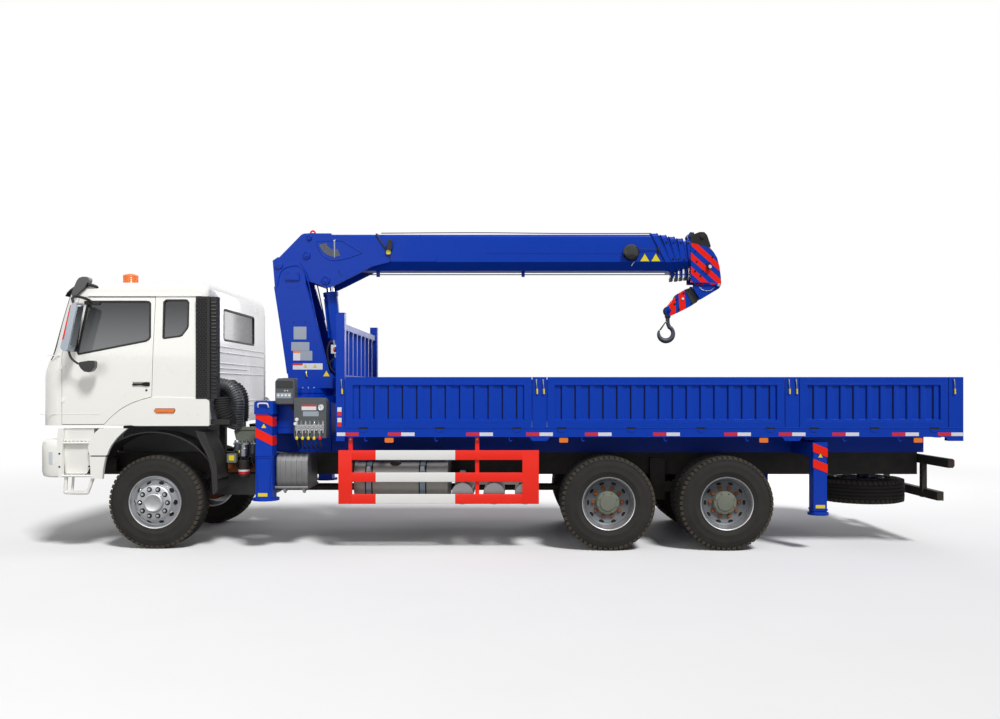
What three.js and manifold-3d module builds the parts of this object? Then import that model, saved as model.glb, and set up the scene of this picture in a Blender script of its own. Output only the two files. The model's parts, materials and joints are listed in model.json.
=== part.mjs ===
// Truck-mounted telescopic crane: a cab-over 6x4 lorry with a straight-boom crane between cab and load bed.
// Millimetres, +Z up. The lorry faces -Y, its left side is +X, and the ground is z = 0.
import * as THREE from 'three';
import { mergeVertices } from 'three/addons/utils/BufferGeometryUtils.js';
import Module from 'manifold-3d';

const wasm = await Module();
wasm.setup();

// ---------------------------------------------------------------- driving dimensions
const SEAT = 0.3; // gap kept between two pieces that rest on each other
const GAP = 8; // running gap round doors and boards

const FRONT_Y = -5290; // bumper and cab face
const REAR_Y = 5290; // rear of the load bed
const HALF_WIDTH = 1250; // load bed

// Wheels and axles
const TYRE_R = 540;
const TYRE_W = 300;
const FRONT_AXLE_Y = -3975;
const REAR_AXLE_1_Y = 1250;
const AXLE_SPACING = 1350;
const REAR_AXLE_2_Y = REAR_AXLE_1_Y + AXLE_SPACING;
const FRONT_WHEEL_X = 970;
const KINGPIN_X = 900;
const REAR_WHEEL_X = 925;
const TWIN_GAP = 40;
const HUB_BORE_R = 40.4;
const SPINDLE_R = 40;
const KNUCKLE_OPEN_Z = 65; // half height of the axle end held in the knuckle's yoke
const AXLE_Z = TYRE_R;
const SPRING_X = [450, 530];
const REAR_SPINDLE_R = 45;
const REAR_HUB_X = 600;

// Ladder frame
const RAIL_X = 430; // outer face of a frame rail
const RAIL_FLANGE = 80;
const RAIL_WALL = 10;
const RAIL_INNER_X = RAIL_X - RAIL_WALL;
const FRAME_BOTTOM = 800;
const FRAME_TOP = 1070;
const FRAME_FRONT_Y = -4950;
const FRAME_REAR_Y = REAR_Y - 150;

// Pieces hung on the frame
const ENGINE_Y = [-4700, -3650];
const GEARBOX_REAR_Y = -2860;
const TANK_X = [500, 1120];
const SPARE_Y = 4590;
const SPARE_Z = 580;

// Cab
const CAB_HALF_WIDTH = 1235;
const CAB_REAR_Y = -3340;
const CAB_BOTTOM = 1432;
const CAB_ROOF = 3085;
const CAB_WALL = 60;
const CAB_CORNER_R = 250;
const CAB_REAR_CORNER_R = 70;
const GLASS_T = 10;
const GLASS_INSET = 16;
const CAB_PIVOT_Y = -5050; // the cab tilts forwards on this pin
const CAB_PIVOT_Z = 1150;
const CAB_PIN_R = 22;
const CAB_MOUNT_X = [500, 540]; // the two tilt arms
const CAB_ARCH_Y = [-3460, -3390]; // the arch behind the engine that the cab rests on
const DOOR_FRONT_Y = -4992;
const DOOR_REAR_Y = -3930;
const DOOR_TOP = 2905;
const DOOR_BOTTOM = 1440;
const HINGE_X = CAB_HALF_WIDTH + 5;
const HINGE_Y = DOOR_FRONT_Y + GAP;
const HINGE_PIN_R = 6;
const KNUCKLE_R = 13;
const HINGES_Z = [[1700, 1750], [2080, 2130]];
const MIRROR_X = [CAB_HALF_WIDTH + 95, CAB_HALF_WIDTH + 265];
const BUMPER_Z = [834, 1267];

// Load bed
const BED_FRONT_Y = -1760;
const RAIL_BOTTOM = 1301;
const RAIL_TOP = 1415;
const BOARD_BOTTOM = RAIL_TOP + SEAT;
const BOARD_TOP = 1985;
const BOARD_T = 45;
const PANEL_DEPTH = 20; // how far a board's panel lies behind its frame
const PANEL_Z = [BOARD_BOTTOM + 80, BOARD_TOP - 92];
const PILLARS_Y = [[380, 543], [3262, 3420]];
const REAR_POST_Y = REAR_Y - 166;
const FLOOR_TOP = 1405;
const POST_X = 100; // width of pillars and posts across the bed
const HEADBOARD_Y = [-1858, BED_FRONT_Y];
const HEADBOARD_TOP = 2713;
const SILL_X = HALF_WIDTH - 90; // inner face of the rail along each side
const GUARD_X = [HALF_WIDTH - 65, HALF_WIDTH - 20];
const GUARD_Y = [-1835, 455];
const GUARD_RAILS_Z = [[1037, 1148], [786, 894], [535, 647]];

// Crane
const SLEW_Y = -2400;
const TURNTABLE_Z = 1800;
const TURNTABLE_R = 300;
const PIVOT_Y = -2768; // boom foot pin
const PIVOT_Z = 3398;
const PIN_R = 45;
const PIN_GAP = 0.1; // least gap between a pin's corners and the flats of its hole
const LUFF_PIN_Y = -2060; // foot of the luffing cylinder
const LUFF_PIN_Z = 1960;
const LUFF_EYE = [578, -183]; // the rod's eye, from the boom foot pin
const LUFF_BARREL_R = 85;
const LUFF_BORE_R = 60;
const LUFF_ROD_R = 50;
const LUFF_PIN_R = 35;
const LUFF_LUG_X = [60, 90];
const BOOM_HALF_W = 200;
const ROOT_PLATE_T = 26;
const COLUMN_X = [BOOM_HALF_W + ROOT_PLATE_T + 16, BOOM_HALF_W + ROOT_PLATE_T + 44];
const BOOM_TOP = 402;
const BOOM_SIDE_BOTTOM = 51;
const BOOM_BOTTOM = -48;
const BOOM_KEEL_HALF_W = 110;
const BOOM_WALL = 10;
const BOOM_STEP = 18; // wall and running gap between two boom sections
const BOOM_END_TOP = 4755;
const BOOM_END_BOTTOM = 4982;
const COLLAR_STEP_TOP = 105;
const COLLAR_STEP_BOTTOM = 60;
const SECTION_COUNT = 4; // sliding sections after the base
const HEAD_PLATE_T = 22;
const HEAD_INNER_X = BOOM_HALF_W - BOOM_STEP * SECTION_COUNT;
const HEAD_X = [HEAD_INNER_X, HEAD_INNER_X + HEAD_PLATE_T];
const STOW_PIVOT = [5531, -234];
const STOW_PIN_R = 20;
const STOW_X = [HEAD_X[0] - 32, HEAD_X[0] - 18]; // one side plate of the stowing arm
const STOW_END = [[5204, -262], [5296, -405]]; // the arm's face that the stowed hook block rests on
const HOOK_PIN = [4914, -550];
const HOOK_PIN_R = 24;

// Outriggers
const FRONT_TUBE_Y = [-2780, -2580]; // the left beam's tube; the right beam's lies behind it
const TUBE_PITCH = 210;
const TUBE_Z = [1347, 1656];
const TUBE_WALL = 12;
const TUBE_HALF_LENGTH = 1000;
const LEG_X = [1060, 1250];
const FRONT_LEG_Z = [600, 1712];
const REAR_BEAM_Y = [3589, 3742];
const REAR_LEG_X = [1080, 1233];
const REAR_LEG_Z = [434, 1240];
const LEG_WALL = 12;
const FOOT_T = 28;

// ---------------------------------------------------------------- solids from three.js geometry
function toSolid(geometry) {
  const bare = new THREE.BufferGeometry();
  bare.setAttribute('position', geometry.getAttribute('position').clone());
  if (geometry.index) {
    bare.setIndex(geometry.index.clone());
  }
  const merged = mergeVertices(bare, 1e-3);
  const points = merged.getAttribute('position').array;
  const faces = [];
  let volume = 0;
  const corner = (i) => new THREE.Vector3().fromArray(points, 3 * i);
  for (let i = 0; i < merged.index.count; i += 3) {
    const [a, b, c] = [0, 1, 2].map((k) => merged.index.getX(i + k));
    if (a === b || b === c || c === a) {
      continue;
    }
    faces.push([a, b, c]);
    volume += corner(a).dot(corner(b).cross(corner(c)));
  }
  const order = volume < 0 ? (f) => [f[0], f[2], f[1]] : (f) => f;
  return new wasm.Manifold(new wasm.Mesh({
    numProp: 3,
    vertProperties: new Float32Array(points),
    triVerts: new Uint32Array(faces.flatMap(order)),
  }));
}

function box([x0, x1], [y0, y1], [z0, z1]) {
  const geometry = new THREE.BoxGeometry(x1 - x0, y1 - y0, z1 - z0);
  return toSolid(geometry.translate((x0 + x1) / 2, (y0 + y1) / 2, (z0 + z1) / 2));
}

function rod(axis, radius, [from, to], [u, v], segments = 16) {
  const geometry = new THREE.CylinderGeometry(radius, radius, to - from, segments);
  const middle = (from + to) / 2;
  if (axis === 'x') {
    geometry.rotateZ(Math.PI / 2).translate(middle, u, v);
  } else if (axis === 'y') {
    geometry.translate(u, middle, v);
  } else {
    geometry.rotateX(Math.PI / 2).translate(u, v, middle);
  }
  return toSolid(geometry);
}

// A hole for a pin of the given radius: its facets' middles clear the pin's corners by PIN_GAP.
function pinHole(axis, radius, span, at, segments = 16) {
  return rod(axis, (radius + PIN_GAP) / Math.cos(Math.PI / segments), span, at, segments);
}

function outline(points) {
  return new THREE.Shape(points.map(([u, v]) => new THREE.Vector2(u, v)));
}

// An outline drawn in (y, z), (x, z) or (x, y) and pushed along the third axis.
function prism(plane, shape, [from, to], curveSegments = 6) {
  const drawn = Array.isArray(shape) ? outline(shape) : shape;
  const options = { depth: to - from, bevelEnabled: false, curveSegments };
  const geometry = new THREE.ExtrudeGeometry(drawn, options);
  const axes = {
    yz: [[0, 1, 0], [0, 0, 1], [1, 0, 0], [from, 0, 0]],
    xz: [[1, 0, 0], [0, 0, 1], [0, -1, 0], [0, to, 0]],
    xy: [[1, 0, 0], [0, 1, 0], [0, 0, 1], [0, 0, from]],
  }[plane];
  const [u, v, w, start] = axes.map((a) => new THREE.Vector3(...a));
  geometry.applyMatrix4(new THREE.Matrix4().makeBasis(u, v, w).setPosition(start));
  return toSolid(geometry);
}

// A closed profile of [radius, distance along the axis], turned about the x axis.
function turned(profile, side, segments = 24) {
  // The facets' middles lie on the true radius, so a wheel stands on a flat of its tread.
  const grow = 1 / Math.cos(Math.PI / segments);
  const points = profile.map(([r, a]) => new THREE.Vector2(r * grow, a));
  const geometry = new THREE.LatheGeometry(points, segments);
  return toSolid(geometry.rotateY(Math.PI / segments).rotateZ(-side * Math.PI / 2));
}

function join(...solids) {
  return solids.flat().reduce((sum, next) => sum.add(next));
}

function cut(solid, ...tools) {
  return tools.flat().reduce((left, tool) => left.subtract(tool), solid);
}

function mirrored(solid) {
  return solid.mirror([1, 0, 0]);
}

function bothSides(solid) {
  return join(solid, mirrored(solid));
}

// Moves each edge of a counter-clockwise outline inwards by t.
function inset(points, t) {
  const lines = points.map((p, i) => {
    const q = points[(i + 1) % points.length];
    const length = Math.hypot(q[0] - p[0], q[1] - p[1]);
    const d = [(q[0] - p[0]) / length, (q[1] - p[1]) / length];
    return { p: [p[0] - d[1] * t, p[1] + d[0] * t], d };
  });
  return lines.map((line, i) => {
    const before = lines[(i + lines.length - 1) % lines.length];
    const cross = before.d[0] * line.d[1] - before.d[1] * line.d[0];
    const k = ((line.p[0] - before.p[0]) * line.d[1] - (line.p[1] - before.p[1]) * line.d[0]) / cross;
    return [before.p[0] + k * before.d[0], before.p[1] + k * before.d[1]];
  });
}

// ---------------------------------------------------------------- scene graph
const group = new THREE.Group();

const paint = {
  blue: { color: 0x0a3fa8, roughness: 0.4, metalness: 0.1 },
  white: { color: 0xf2f1ea, roughness: 0.3, metalness: 0.1 },
  black: { color: 0x17181a, roughness: 0.7, metalness: 0.1 },
  tyre: { color: 0x2a2a2a, roughness: 0.9, metalness: 0 },
  red: { color: 0xe53320, roughness: 0.4, metalness: 0.1 },
  grey: { color: 0x555b5f, roughness: 0.6, metalness: 0.2 },
  steel: { color: 0xa8abad, roughness: 0.4, metalness: 0.8 },
  glass: { color: 0x20262b, roughness: 0.1, metalness: 0 },
};

function addPart(parent, name, solid, finish, at = [0, 0, 0]) {
  const { vertProperties, triVerts } = solid.getMesh();
  const geometry = new THREE.BufferGeometry();
  geometry.setAttribute('position', new THREE.BufferAttribute(new Float32Array(vertProperties), 3));
  geometry.setIndex(new THREE.BufferAttribute(new Uint32Array(triVerts), 1));
  const mesh = new THREE.Mesh(geometry, new THREE.MeshStandardMaterial(paint[finish]));
  mesh.name = name;
  mesh.position.set(...at);
  parent.add(mesh);
  return mesh;
}

function addGroup(parent, at) {
  const child = new THREE.Group();
  child.position.set(...at);
  parent.add(child);
  return child;
}

// ---------------------------------------------------------------- chassis
function chassisFrame() {
  const channel = cut(
    box([RAIL_X - RAIL_FLANGE, RAIL_X], [FRAME_FRONT_Y, FRAME_REAR_Y], [FRAME_BOTTOM, FRAME_TOP]),
    box(
      [0, RAIL_INNER_X],
      [FRAME_FRONT_Y - 1, FRAME_REAR_Y + 1],
      [FRAME_BOTTOM + RAIL_WALL, FRAME_TOP - RAIL_WALL],
    ),
  );
  const crossAt = [
    FRAME_FRONT_Y + 60, SLEW_Y - 400, SLEW_Y + 500, -600, 300, 1925, 3300, 4200, FRAME_REAR_Y - 60,
  ];
  const crossX = [-RAIL_INNER_X - 1, RAIL_INNER_X + 1];
  const crossbars = crossAt.map((y) => box(crossX, [y - 40, y + 40], [FRAME_BOTTOM + 40, FRAME_TOP - 40]));
  // The cab rests on a rear arch and turns on a pin held ahead of the rails.
  const arch = join(
    box([-RAIL_INNER_X, RAIL_INNER_X], CAB_ARCH_Y, [CAB_BOTTOM - 60, CAB_BOTTOM - SEAT]),
    bothSides(box([RAIL_INNER_X - 70, RAIL_X], CAB_ARCH_Y, [FRAME_TOP - 1, CAB_BOTTOM - SEAT])),
  );
  const pin = rod('x', CAB_PIN_R, [-CAB_MOUNT_X[1] - 20, CAB_MOUNT_X[1] + 20], [CAB_PIVOT_Y, CAB_PIVOT_Z]);
  const horn = bothSides(prism('yz', [
    [CAB_PIVOT_Y - 30, CAB_PIVOT_Z + 30], [CAB_PIVOT_Y - 30, 1040], [FRAME_FRONT_Y - 60, FRAME_BOTTOM + 60],
    [FRAME_FRONT_Y + 80, FRAME_BOTTOM + 60], [FRAME_FRONT_Y + 80, FRAME_TOP],
    [CAB_PIVOT_Y + 30, CAB_PIVOT_Z + 30],
  ], [RAIL_INNER_X - 20, RAIL_INNER_X + 1]));
  return join(bothSides(channel), crossbars, arch, pin, horn);
}

function leafPack(middleY, halfLength, z, rise, height) {
  // A flat leaf pack, thick in the middle, its two ends turned up to the hangers.
  const points = [
    [-halfLength, rise], [-halfLength * 0.5, rise * 0.25], [-120, -height / 2], [120, -height / 2],
    [halfLength * 0.5, rise * 0.25], [halfLength, rise], [halfLength, rise + 30],
    [halfLength * 0.5, rise * 0.25 + 50], [120, height / 2], [-120, height / 2],
    [-halfLength * 0.5, rise * 0.25 + 50], [-halfLength, rise + 30],
  ];
  return prism('yz', points.map(([y, dz]) => [middleY + y, z + dz]), SPRING_X);
}

function hanger(y, z) {
  // A bracket from a leaf pack's end to the frame rail's outer face.
  return box([RAIL_X + SEAT, SPRING_X[1]], [y - 35, y + 35], [z, FRAME_TOP - 60]);
}

function frontAxle() {
  const beam = box([-KINGPIN_X + 80, KINGPIN_X - 80], [-50, 50], [AXLE_Z - 90, AXLE_Z + 10]);
  const end = join(
    rod('z', 50, [AXLE_Z - KNUCKLE_OPEN_Z + SEAT, AXLE_Z + KNUCKLE_OPEN_Z - SEAT], [KINGPIN_X, 0]),
    box([KINGPIN_X - 110, KINGPIN_X], [-40, 40], [AXLE_Z - 60, AXLE_Z + 55]),
  );
  const pad = box([SPRING_X[0], SPRING_X[1]], [-80, 80], [AXLE_Z - 95, AXLE_Z + 70]);
  const hangers = [-745, 745].map((y) => hanger(y, AXLE_Z + 290));
  const spring = join(leafPack(0, 760, AXLE_Z + 110, 190, 90), hangers);
  return join(beam, bothSides(join(end, pad, spring))).translate([0, FRONT_AXLE_Y, 0]);
}

function rearAxles() {
  const middle = (REAR_AXLE_1_Y + REAR_AXLE_2_Y) / 2;
  const axle = (y) => join(
    rod('x', 75, [-REAR_HUB_X + 40, REAR_HUB_X - 40], [y, AXLE_Z]),
    rod('x', REAR_SPINDLE_R, [-REAR_HUB_X - 95, REAR_HUB_X + 95], [y, AXLE_Z]),
    rod('y', 210, [y - 130, y + 130], [0, AXLE_Z]),
    rod('y', 90, [y - 260, y + 260], [0, AXLE_Z + 60]),
  );
  const spring = join(
    leafPack(middle, AXLE_SPACING / 2 + 60, AXLE_Z + 120, -40, 130),
    box(SPRING_X, [middle - 90, middle + 90], [AXLE_Z - 40, AXLE_Z + 200]),
    box([RAIL_X + SEAT, SPRING_X[1]], [middle - 90, middle + 90], [AXLE_Z - 40, FRAME_TOP - 60]),
    [REAR_AXLE_1_Y, REAR_AXLE_2_Y].map((y) => box(SPRING_X, [y - 60, y + 60], [AXLE_Z - 60, AXLE_Z + 110])),
  );
  const trunnion = rod('x', 60, [-SPRING_X[1], SPRING_X[1]], [middle, AXLE_Z + 30]);
  const shafts = rod('y', 45, [GEARBOX_REAR_Y + SEAT, REAR_AXLE_2_Y], [0, AXLE_Z + 60]);
  return join(axle(REAR_AXLE_1_Y), axle(REAR_AXLE_2_Y), bothSides(spring), trunnion, shafts);
}

function engine() {
  const mountZ = [FRAME_BOTTOM + 30, FRAME_TOP - 30];
  return join(
    box([-300, 300], ENGINE_Y, [AXLE_Z + 140, 1390]),
    box([-210, 210], [ENGINE_Y[1] - 1, GEARBOX_REAR_Y], [AXLE_Z - 20, 1040]),
    bothSides(box([209, RAIL_X - RAIL_FLANGE + RAIL_WALL], [-3400, -3300], mountZ)),
    bothSides(box([299, RAIL_INNER_X - SEAT], [-4100, -4000], mountZ)),
  );
}

// ---------------------------------------------------------------- equipment on the frame
function sideGuard() {
  const rails = GUARD_RAILS_Z.map((z) => box(GUARD_X, GUARD_Y, z));
  const height = [GUARD_RAILS_Z[2][0], GUARD_RAILS_Z[0][1]];
  const uprights = [GUARD_Y[0], -470, GUARD_Y[1] - 130].map((y) => box(GUARD_X, [y, y + 130], height));
  const hangers = [-1720, -560].map((y) => box(GUARD_X, [y, y + 60], [height[1] - 1, RAIL_BOTTOM - SEAT]));
  return join(rails, uprights, hangers);
}

function roundedRect([u0, u1], [v0, v1], r) {
  const shape = new THREE.Shape();
  shape.moveTo(u0 + r, v0);
  shape.lineTo(u1 - r, v0);
  shape.absarc(u1 - r, v0 + r, r, -Math.PI / 2, 0);
  shape.lineTo(u1, v1 - r);
  shape.absarc(u1 - r, v1 - r, r, 0, Math.PI / 2);
  shape.lineTo(u0 + r, v1);
  shape.absarc(u0 + r, v1 - r, r, Math.PI / 2, Math.PI);
  shape.lineTo(u0, v0 + r);
  shape.absarc(u0 + r, v0 + r, r, Math.PI, 1.5 * Math.PI);
  return shape;
}

function fuelTank() {
  const body = prism('xz', roundedRect(TANK_X, [560, 1010], 90), [-1677, -594], 5);
  const brackets = [-1500, -830].map((y) => box([RAIL_X + SEAT, 560], [y, y + 70], [840, 1000]));
  return join(body, brackets);
}

function airTanks() {
  const tanks = [-366, 0, 366].map((y) => rod('x', 125, [560, 1120], [y - 60, 640], 20));
  const plate = box([620, 700], [-540, 420], [700, 790]);
  const arms = [-480, 300].map((y) => box([RAIL_X + SEAT, 700], [y, y + 70], [770, 870]));
  return join(tanks, plate, arms);
}

function batteryBox() {
  const body = prism('xz', roundedRect([500, 1120], [600, 1010], 40), [-1600, -650], 3);
  const brackets = [-1450, -850].map((y) => box([RAIL_X + SEAT, 560], [y, y + 70], [840, 1000]));
  return mirrored(join(body, brackets));
}

function silencer() {
  const body = prism('xz', roundedRect([640, 1170], [697, 1105], 60), [-2558, -2185], 4);
  const pipe = rod('y', 60, [-3400, -2500], [700, 900], 16);
  const bracket = box([RAIL_X + SEAT, 660], [-2420, -2330], [830, 1000]);
  return join(body, pipe, bracket);
}

function cabPlan(t) {
  // Plan outline of the cab and bumper: round front corners, tighter rear ones.
  const r = CAB_CORNER_R - t;
  const s = CAB_REAR_CORNER_R;
  const x = CAB_HALF_WIDTH - t;
  const shape = new THREE.Shape();
  shape.moveTo(-x + r, FRONT_Y + t);
  shape.lineTo(x - r, FRONT_Y + t);
  shape.absarc(x - r, FRONT_Y + t + r, r, -Math.PI / 2, 0);
  shape.lineTo(x, CAB_REAR_Y - t - s);
  shape.absarc(x - s, CAB_REAR_Y - t - s, s, 0, Math.PI / 2);
  shape.lineTo(-x + s, CAB_REAR_Y - t);
  shape.absarc(-x + s, CAB_REAR_Y - t - s, s, Math.PI / 2, Math.PI);
  shape.lineTo(-x, FRONT_Y + t + r);
  shape.absarc(-x + r, FRONT_Y + t + r, r, Math.PI, 1.5 * Math.PI);
  return shape;
}

function frontBumper() {
  const hollow = prism('xy', cabPlan(70), [BUMPER_Z[0] - 1, BUMPER_Z[1] + 1], 6);
  const ahead = box([-1300, 1300], [FRONT_Y - 10, -4990], BUMPER_Z);
  const bar = cut(prism('xy', cabPlan(0), BUMPER_Z, 6), hollow).intersect(ahead);
  // The side panel, with its rear edge following the wheel arch, and the two steps.
  const side = prism('yz', [
    [-5000, 834], [-4640, 811], [-4525, 811], [-4505, 1000], [-4455, 1160], [-4360, 1300], [-4240, 1400],
    [-5000, 1400],
  ], [CAB_HALF_WIDTH - 45, CAB_HALF_WIDTH]);
  const stepX = [960, CAB_HALF_WIDTH - 2];
  const steps = [[640, 680], [834, 874], [1120, 1150]].map((z) => box(stepX, [-5000, -4640], z));
  const strut = [-5000, -4680].map((y) => box([1100, CAB_HALF_WIDTH - 10], [y, y + 40], [640, 860]));
  const backing = box([940, 980], [-5000, -4600], [640, 1400]);
  const tie = box([RAIL_X + SEAT, 960], [-4930, -4850], [880, 980]);
  const horn = box([RAIL_X - 70, RAIL_X - 35], [FRONT_Y + 60, FRAME_FRONT_Y - SEAT], [870, 1040]);
  return join(bar, bothSides(join(side, steps, strut, backing, tie, horn)));
}

function spareWheel() {
  const tyre = [
    [0, -20], [200, -20], [270, -120], [300, -150], [480, -150], [530, -125], [540, -90],
    [540, 90], [530, 125], [480, 150], [300, 150], [270, 120], [270, 40], [0, 40],
  ];
  const geometry = new THREE.LatheGeometry(tyre.map(([r, a]) => new THREE.Vector2(r, a)), 24);
  const wheel = toSolid(geometry.rotateX(Math.PI / 2)).translate([0, SPARE_Y, SPARE_Z]);
  const carrierZ = [FRAME_BOTTOM - 30, FRAME_BOTTOM - SEAT];
  const carrier = box([-RAIL_X, RAIL_X], [SPARE_Y - 40, SPARE_Y + 40], carrierZ);
  return join(wheel, rod('z', 30, [SPARE_Z + 20, FRAME_BOTTOM - 10], [0, SPARE_Y]), carrier);
}

function rearBumper() {
  const y = FRAME_REAR_Y + SEAT;
  const post = box([490, 560], [y, y + 60], [530, 1040]);
  const arm = box([RAIL_X - RAIL_FLANGE, 560], [y, y + 20], [FRAME_BOTTOM + 40, FRAME_TOP - 40]);
  const bar = box([-900, 900], [y + 20, y + 100], [530, 640]);
  const lamps = box([-1180, 1180], [y + 10, y + 80], [940, 1050]);
  return join(bar, lamps, bothSides(join(post, arm)));
}

// ---------------------------------------------------------------- load bed
function bedDeck() {
  const across = [-SILL_X - 1, SILL_X + 1];
  const floor = box(across, [BED_FRONT_Y + SEAT, REAR_Y - BOARD_T], [FLOOR_TOP - 20, FLOOR_TOP]);
  const rail = box([SILL_X, HALF_WIDTH], [BED_FRONT_Y + SEAT, REAR_Y], [RAIL_BOTTOM, RAIL_TOP]);
  const sill = box(across, [REAR_Y - 90, REAR_Y], [RAIL_BOTTOM, RAIL_TOP]);
  const crossY = [];
  for (let y = BED_FRONT_Y + 60; y < REAR_Y - 150; y += 480) {
    crossY.push(y);
  }
  const crossZ = [RAIL_BOTTOM - 11, FLOOR_TOP - 19];
  const crossbars = [...crossY, REAR_Y - 125].map((y) => box(across, [y, y + 60], crossZ));
  const runner = cut(
    box([RAIL_X - 70, RAIL_X], [SLEW_Y + 330, REAR_Y - 70], [FRAME_TOP + SEAT, RAIL_BOTTOM - 10]),
    box([0, 600], [REAR_BEAM_Y[0] - 1, REAR_BEAM_Y[1] + 1], [FRAME_TOP, 1250]),
  );
  const pillars = [...PILLARS_Y, [REAR_POST_Y, REAR_Y]].map((y) => (
    box([HALF_WIDTH - POST_X, HALF_WIDTH], y, [RAIL_BOTTOM - 45, BOARD_TOP])));
  return join(floor, sill, crossbars, bothSides(join(rail, runner, pillars)));
}

function headboard() {
  const y = HEADBOARD_Y;
  const post = box([HALF_WIDTH - POST_X, HALF_WIDTH], y, [RAIL_BOTTOM - 45, HEADBOARD_TOP]);
  const across = [-HALF_WIDTH + 1, HALF_WIDTH - 1];
  const railsZ = [[RAIL_BOTTOM, RAIL_TOP], [1940, 2010], [2530, 2600]];
  const rails = railsZ.map((z) => box(across, [y[0] + 20, y[1] - 20], z));
  const panel = box(across, [y[0] + 40, y[1] - 40], [RAIL_TOP - 1, 1941]);
  const bars = [];
  for (let i = 1; i <= 7; i += 1) {
    const x = -HALF_WIDTH + POST_X + (i * 2 * (HALF_WIDTH - POST_X)) / 8;
    bars.push(box([x - 25, x + 25], [y[0] + 25, y[1] - 25], [2009, 2531]));
  }
  return join(bothSides(post), rails, panel, bars);
}

function board([y0, y1]) {
  return cut(
    box([HALF_WIDTH - BOARD_T, HALF_WIDTH], [y0 + GAP, y1 - GAP], [BOARD_BOTTOM, BOARD_TOP]),
    box([HALF_WIDTH - PANEL_DEPTH, HALF_WIDTH + 1], [y0 + GAP + 85, y1 - GAP - 85], PANEL_Z),
  );
}

function tailgate() {
  const x = HALF_WIDTH - POST_X - GAP;
  return cut(
    box([-x, x], [REAR_Y - BOARD_T, REAR_Y], [BOARD_BOTTOM, BOARD_TOP]),
    box([-x + 85, x - 85], [REAR_Y - PANEL_DEPTH, REAR_Y + 1], PANEL_Z),
  );
}

// ---------------------------------------------------------------- cab
const cabSide = [
  [FRONT_Y, CAB_BOTTOM], [CAB_REAR_Y, CAB_BOTTOM], [CAB_REAR_Y, CAB_ROOF - 85], [CAB_REAR_Y - 80, CAB_ROOF],
  [FRONT_Y + 440, CAB_ROOF], [FRONT_Y + 305, CAB_ROOF - 45], [FRONT_Y + 100, 2220], [FRONT_Y, 2010],
];
const cabFront = [
  [-CAB_HALF_WIDTH, CAB_BOTTOM], [CAB_HALF_WIDTH, CAB_BOTTOM], [CAB_HALF_WIDTH, 2250],
  [CAB_HALF_WIDTH - 45, CAB_ROOF - 135], [CAB_HALF_WIDTH - 130, CAB_ROOF], [-CAB_HALF_WIDTH + 130, CAB_ROOF],
  [-CAB_HALF_WIDTH + 45, CAB_ROOF - 135], [-CAB_HALF_WIDTH, 2250],
];

function cabBody(t) {
  return prism('yz', inset(cabSide, t), [-1300, 1300])
    .intersect(prism('xz', inset(cabFront, t), [FRONT_Y - 10, CAB_REAR_Y + 10]))
    .intersect(prism('xy', cabPlan(t), [CAB_BOTTOM - 10, CAB_ROOF + 10], 6));
}

const cabSkin = cut(cabBody(0), cabBody(CAB_WALL));
const glassLayer = cut(cabBody(GLASS_INSET), cabBody(GLASS_INSET + GLASS_T));

// The door's lower rear edge follows the crease above the wheel arch.
const doorOutline = [
  [DOOR_FRONT_Y, DOOR_BOTTOM], [-4550, DOOR_BOTTOM], [-4440, 1520], [-4330, 1610], [-4200, 1690],
  [-4060, 1745], [DOOR_REAR_Y - 30, 1772], [DOOR_REAR_Y, DOOR_TOP], [DOOR_FRONT_Y + 185, DOOR_TOP],
  [DOOR_FRONT_Y, 2240],
];
const doorWindow = [[-4808, 2231], [-4017, 2389], [-3981, 2854], [-4703, 2854]];
const quarterWindow = [[-3842, 2420], [-3640, 2450], [-3550, 2560], [-3550, 2871], [-3842, 2871]];
const windscreenOutline = [[-1090, 2290], [1090, 2290], [1040, 2985], [-1040, 2985]];
const rearWindowOutline = [[-630, 2436], [630, 2436], [630, 2820], [-630, 2820]];
const LEFT = [1110, 1400]; // reaches through the left wall
const LEAF = [LEFT[0] + GAP, LEFT[1]];

function pane(through) {
  return glassLayer.intersect(through);
}

function hingeRecess() {
  return join(HINGES_Z.map(([z0, z1]) => (
    rod('z', KNUCKLE_R + 7, [z0 - 16, z1 + 16], [HINGE_X, HINGE_Y], 12))));
}

function hingePins() {
  const pins = HINGES_Z.map(([z0, z1]) => rod('z', HINGE_PIN_R, [z0 - 14, z1 + 14], [HINGE_X, HINGE_Y], 12));
  const arms = HINGES_Z.flatMap(([z0, z1]) => [[z0 - 14, z0 - SEAT], [z1 + SEAT, z1 + 14]]).map((z) => (
    box([CAB_HALF_WIDTH - 10, HINGE_X + 8], [HINGE_Y - 40, HINGE_Y + 7], z)));
  return join(pins, arms);
}

function hingeKnuckles() {
  const knuckles = HINGES_Z.map((z) => join(
    rod('z', KNUCKLE_R, z, [HINGE_X, HINGE_Y], 12),
    box([CAB_HALF_WIDTH - 10, HINGE_X + 8], [HINGE_Y, HINGE_Y + 40], z),
  ));
  const reach = [HINGES_Z[0][0] - 1, HINGES_Z[1][1] + 1];
  return cut(join(knuckles), pinHole('z', HINGE_PIN_R, reach, [HINGE_X, HINGE_Y], 12));
}

// Two arms under the floor turn on the frame's tilt pin.
function tiltArms() {
  const arm = prism('yz', [
    [CAB_PIVOT_Y - 45, CAB_PIVOT_Z - 45], [CAB_PIVOT_Y + 45, CAB_PIVOT_Z - 45],
    [CAB_PIVOT_Y + 90, CAB_BOTTOM + 1], [CAB_PIVOT_Y + 5, CAB_BOTTOM + 1],
  ], CAB_MOUNT_X);
  return bothSides(cut(arm, pinHole('x', CAB_PIN_R, [400, 600], [CAB_PIVOT_Y, CAB_PIVOT_Z])));
}

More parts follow.
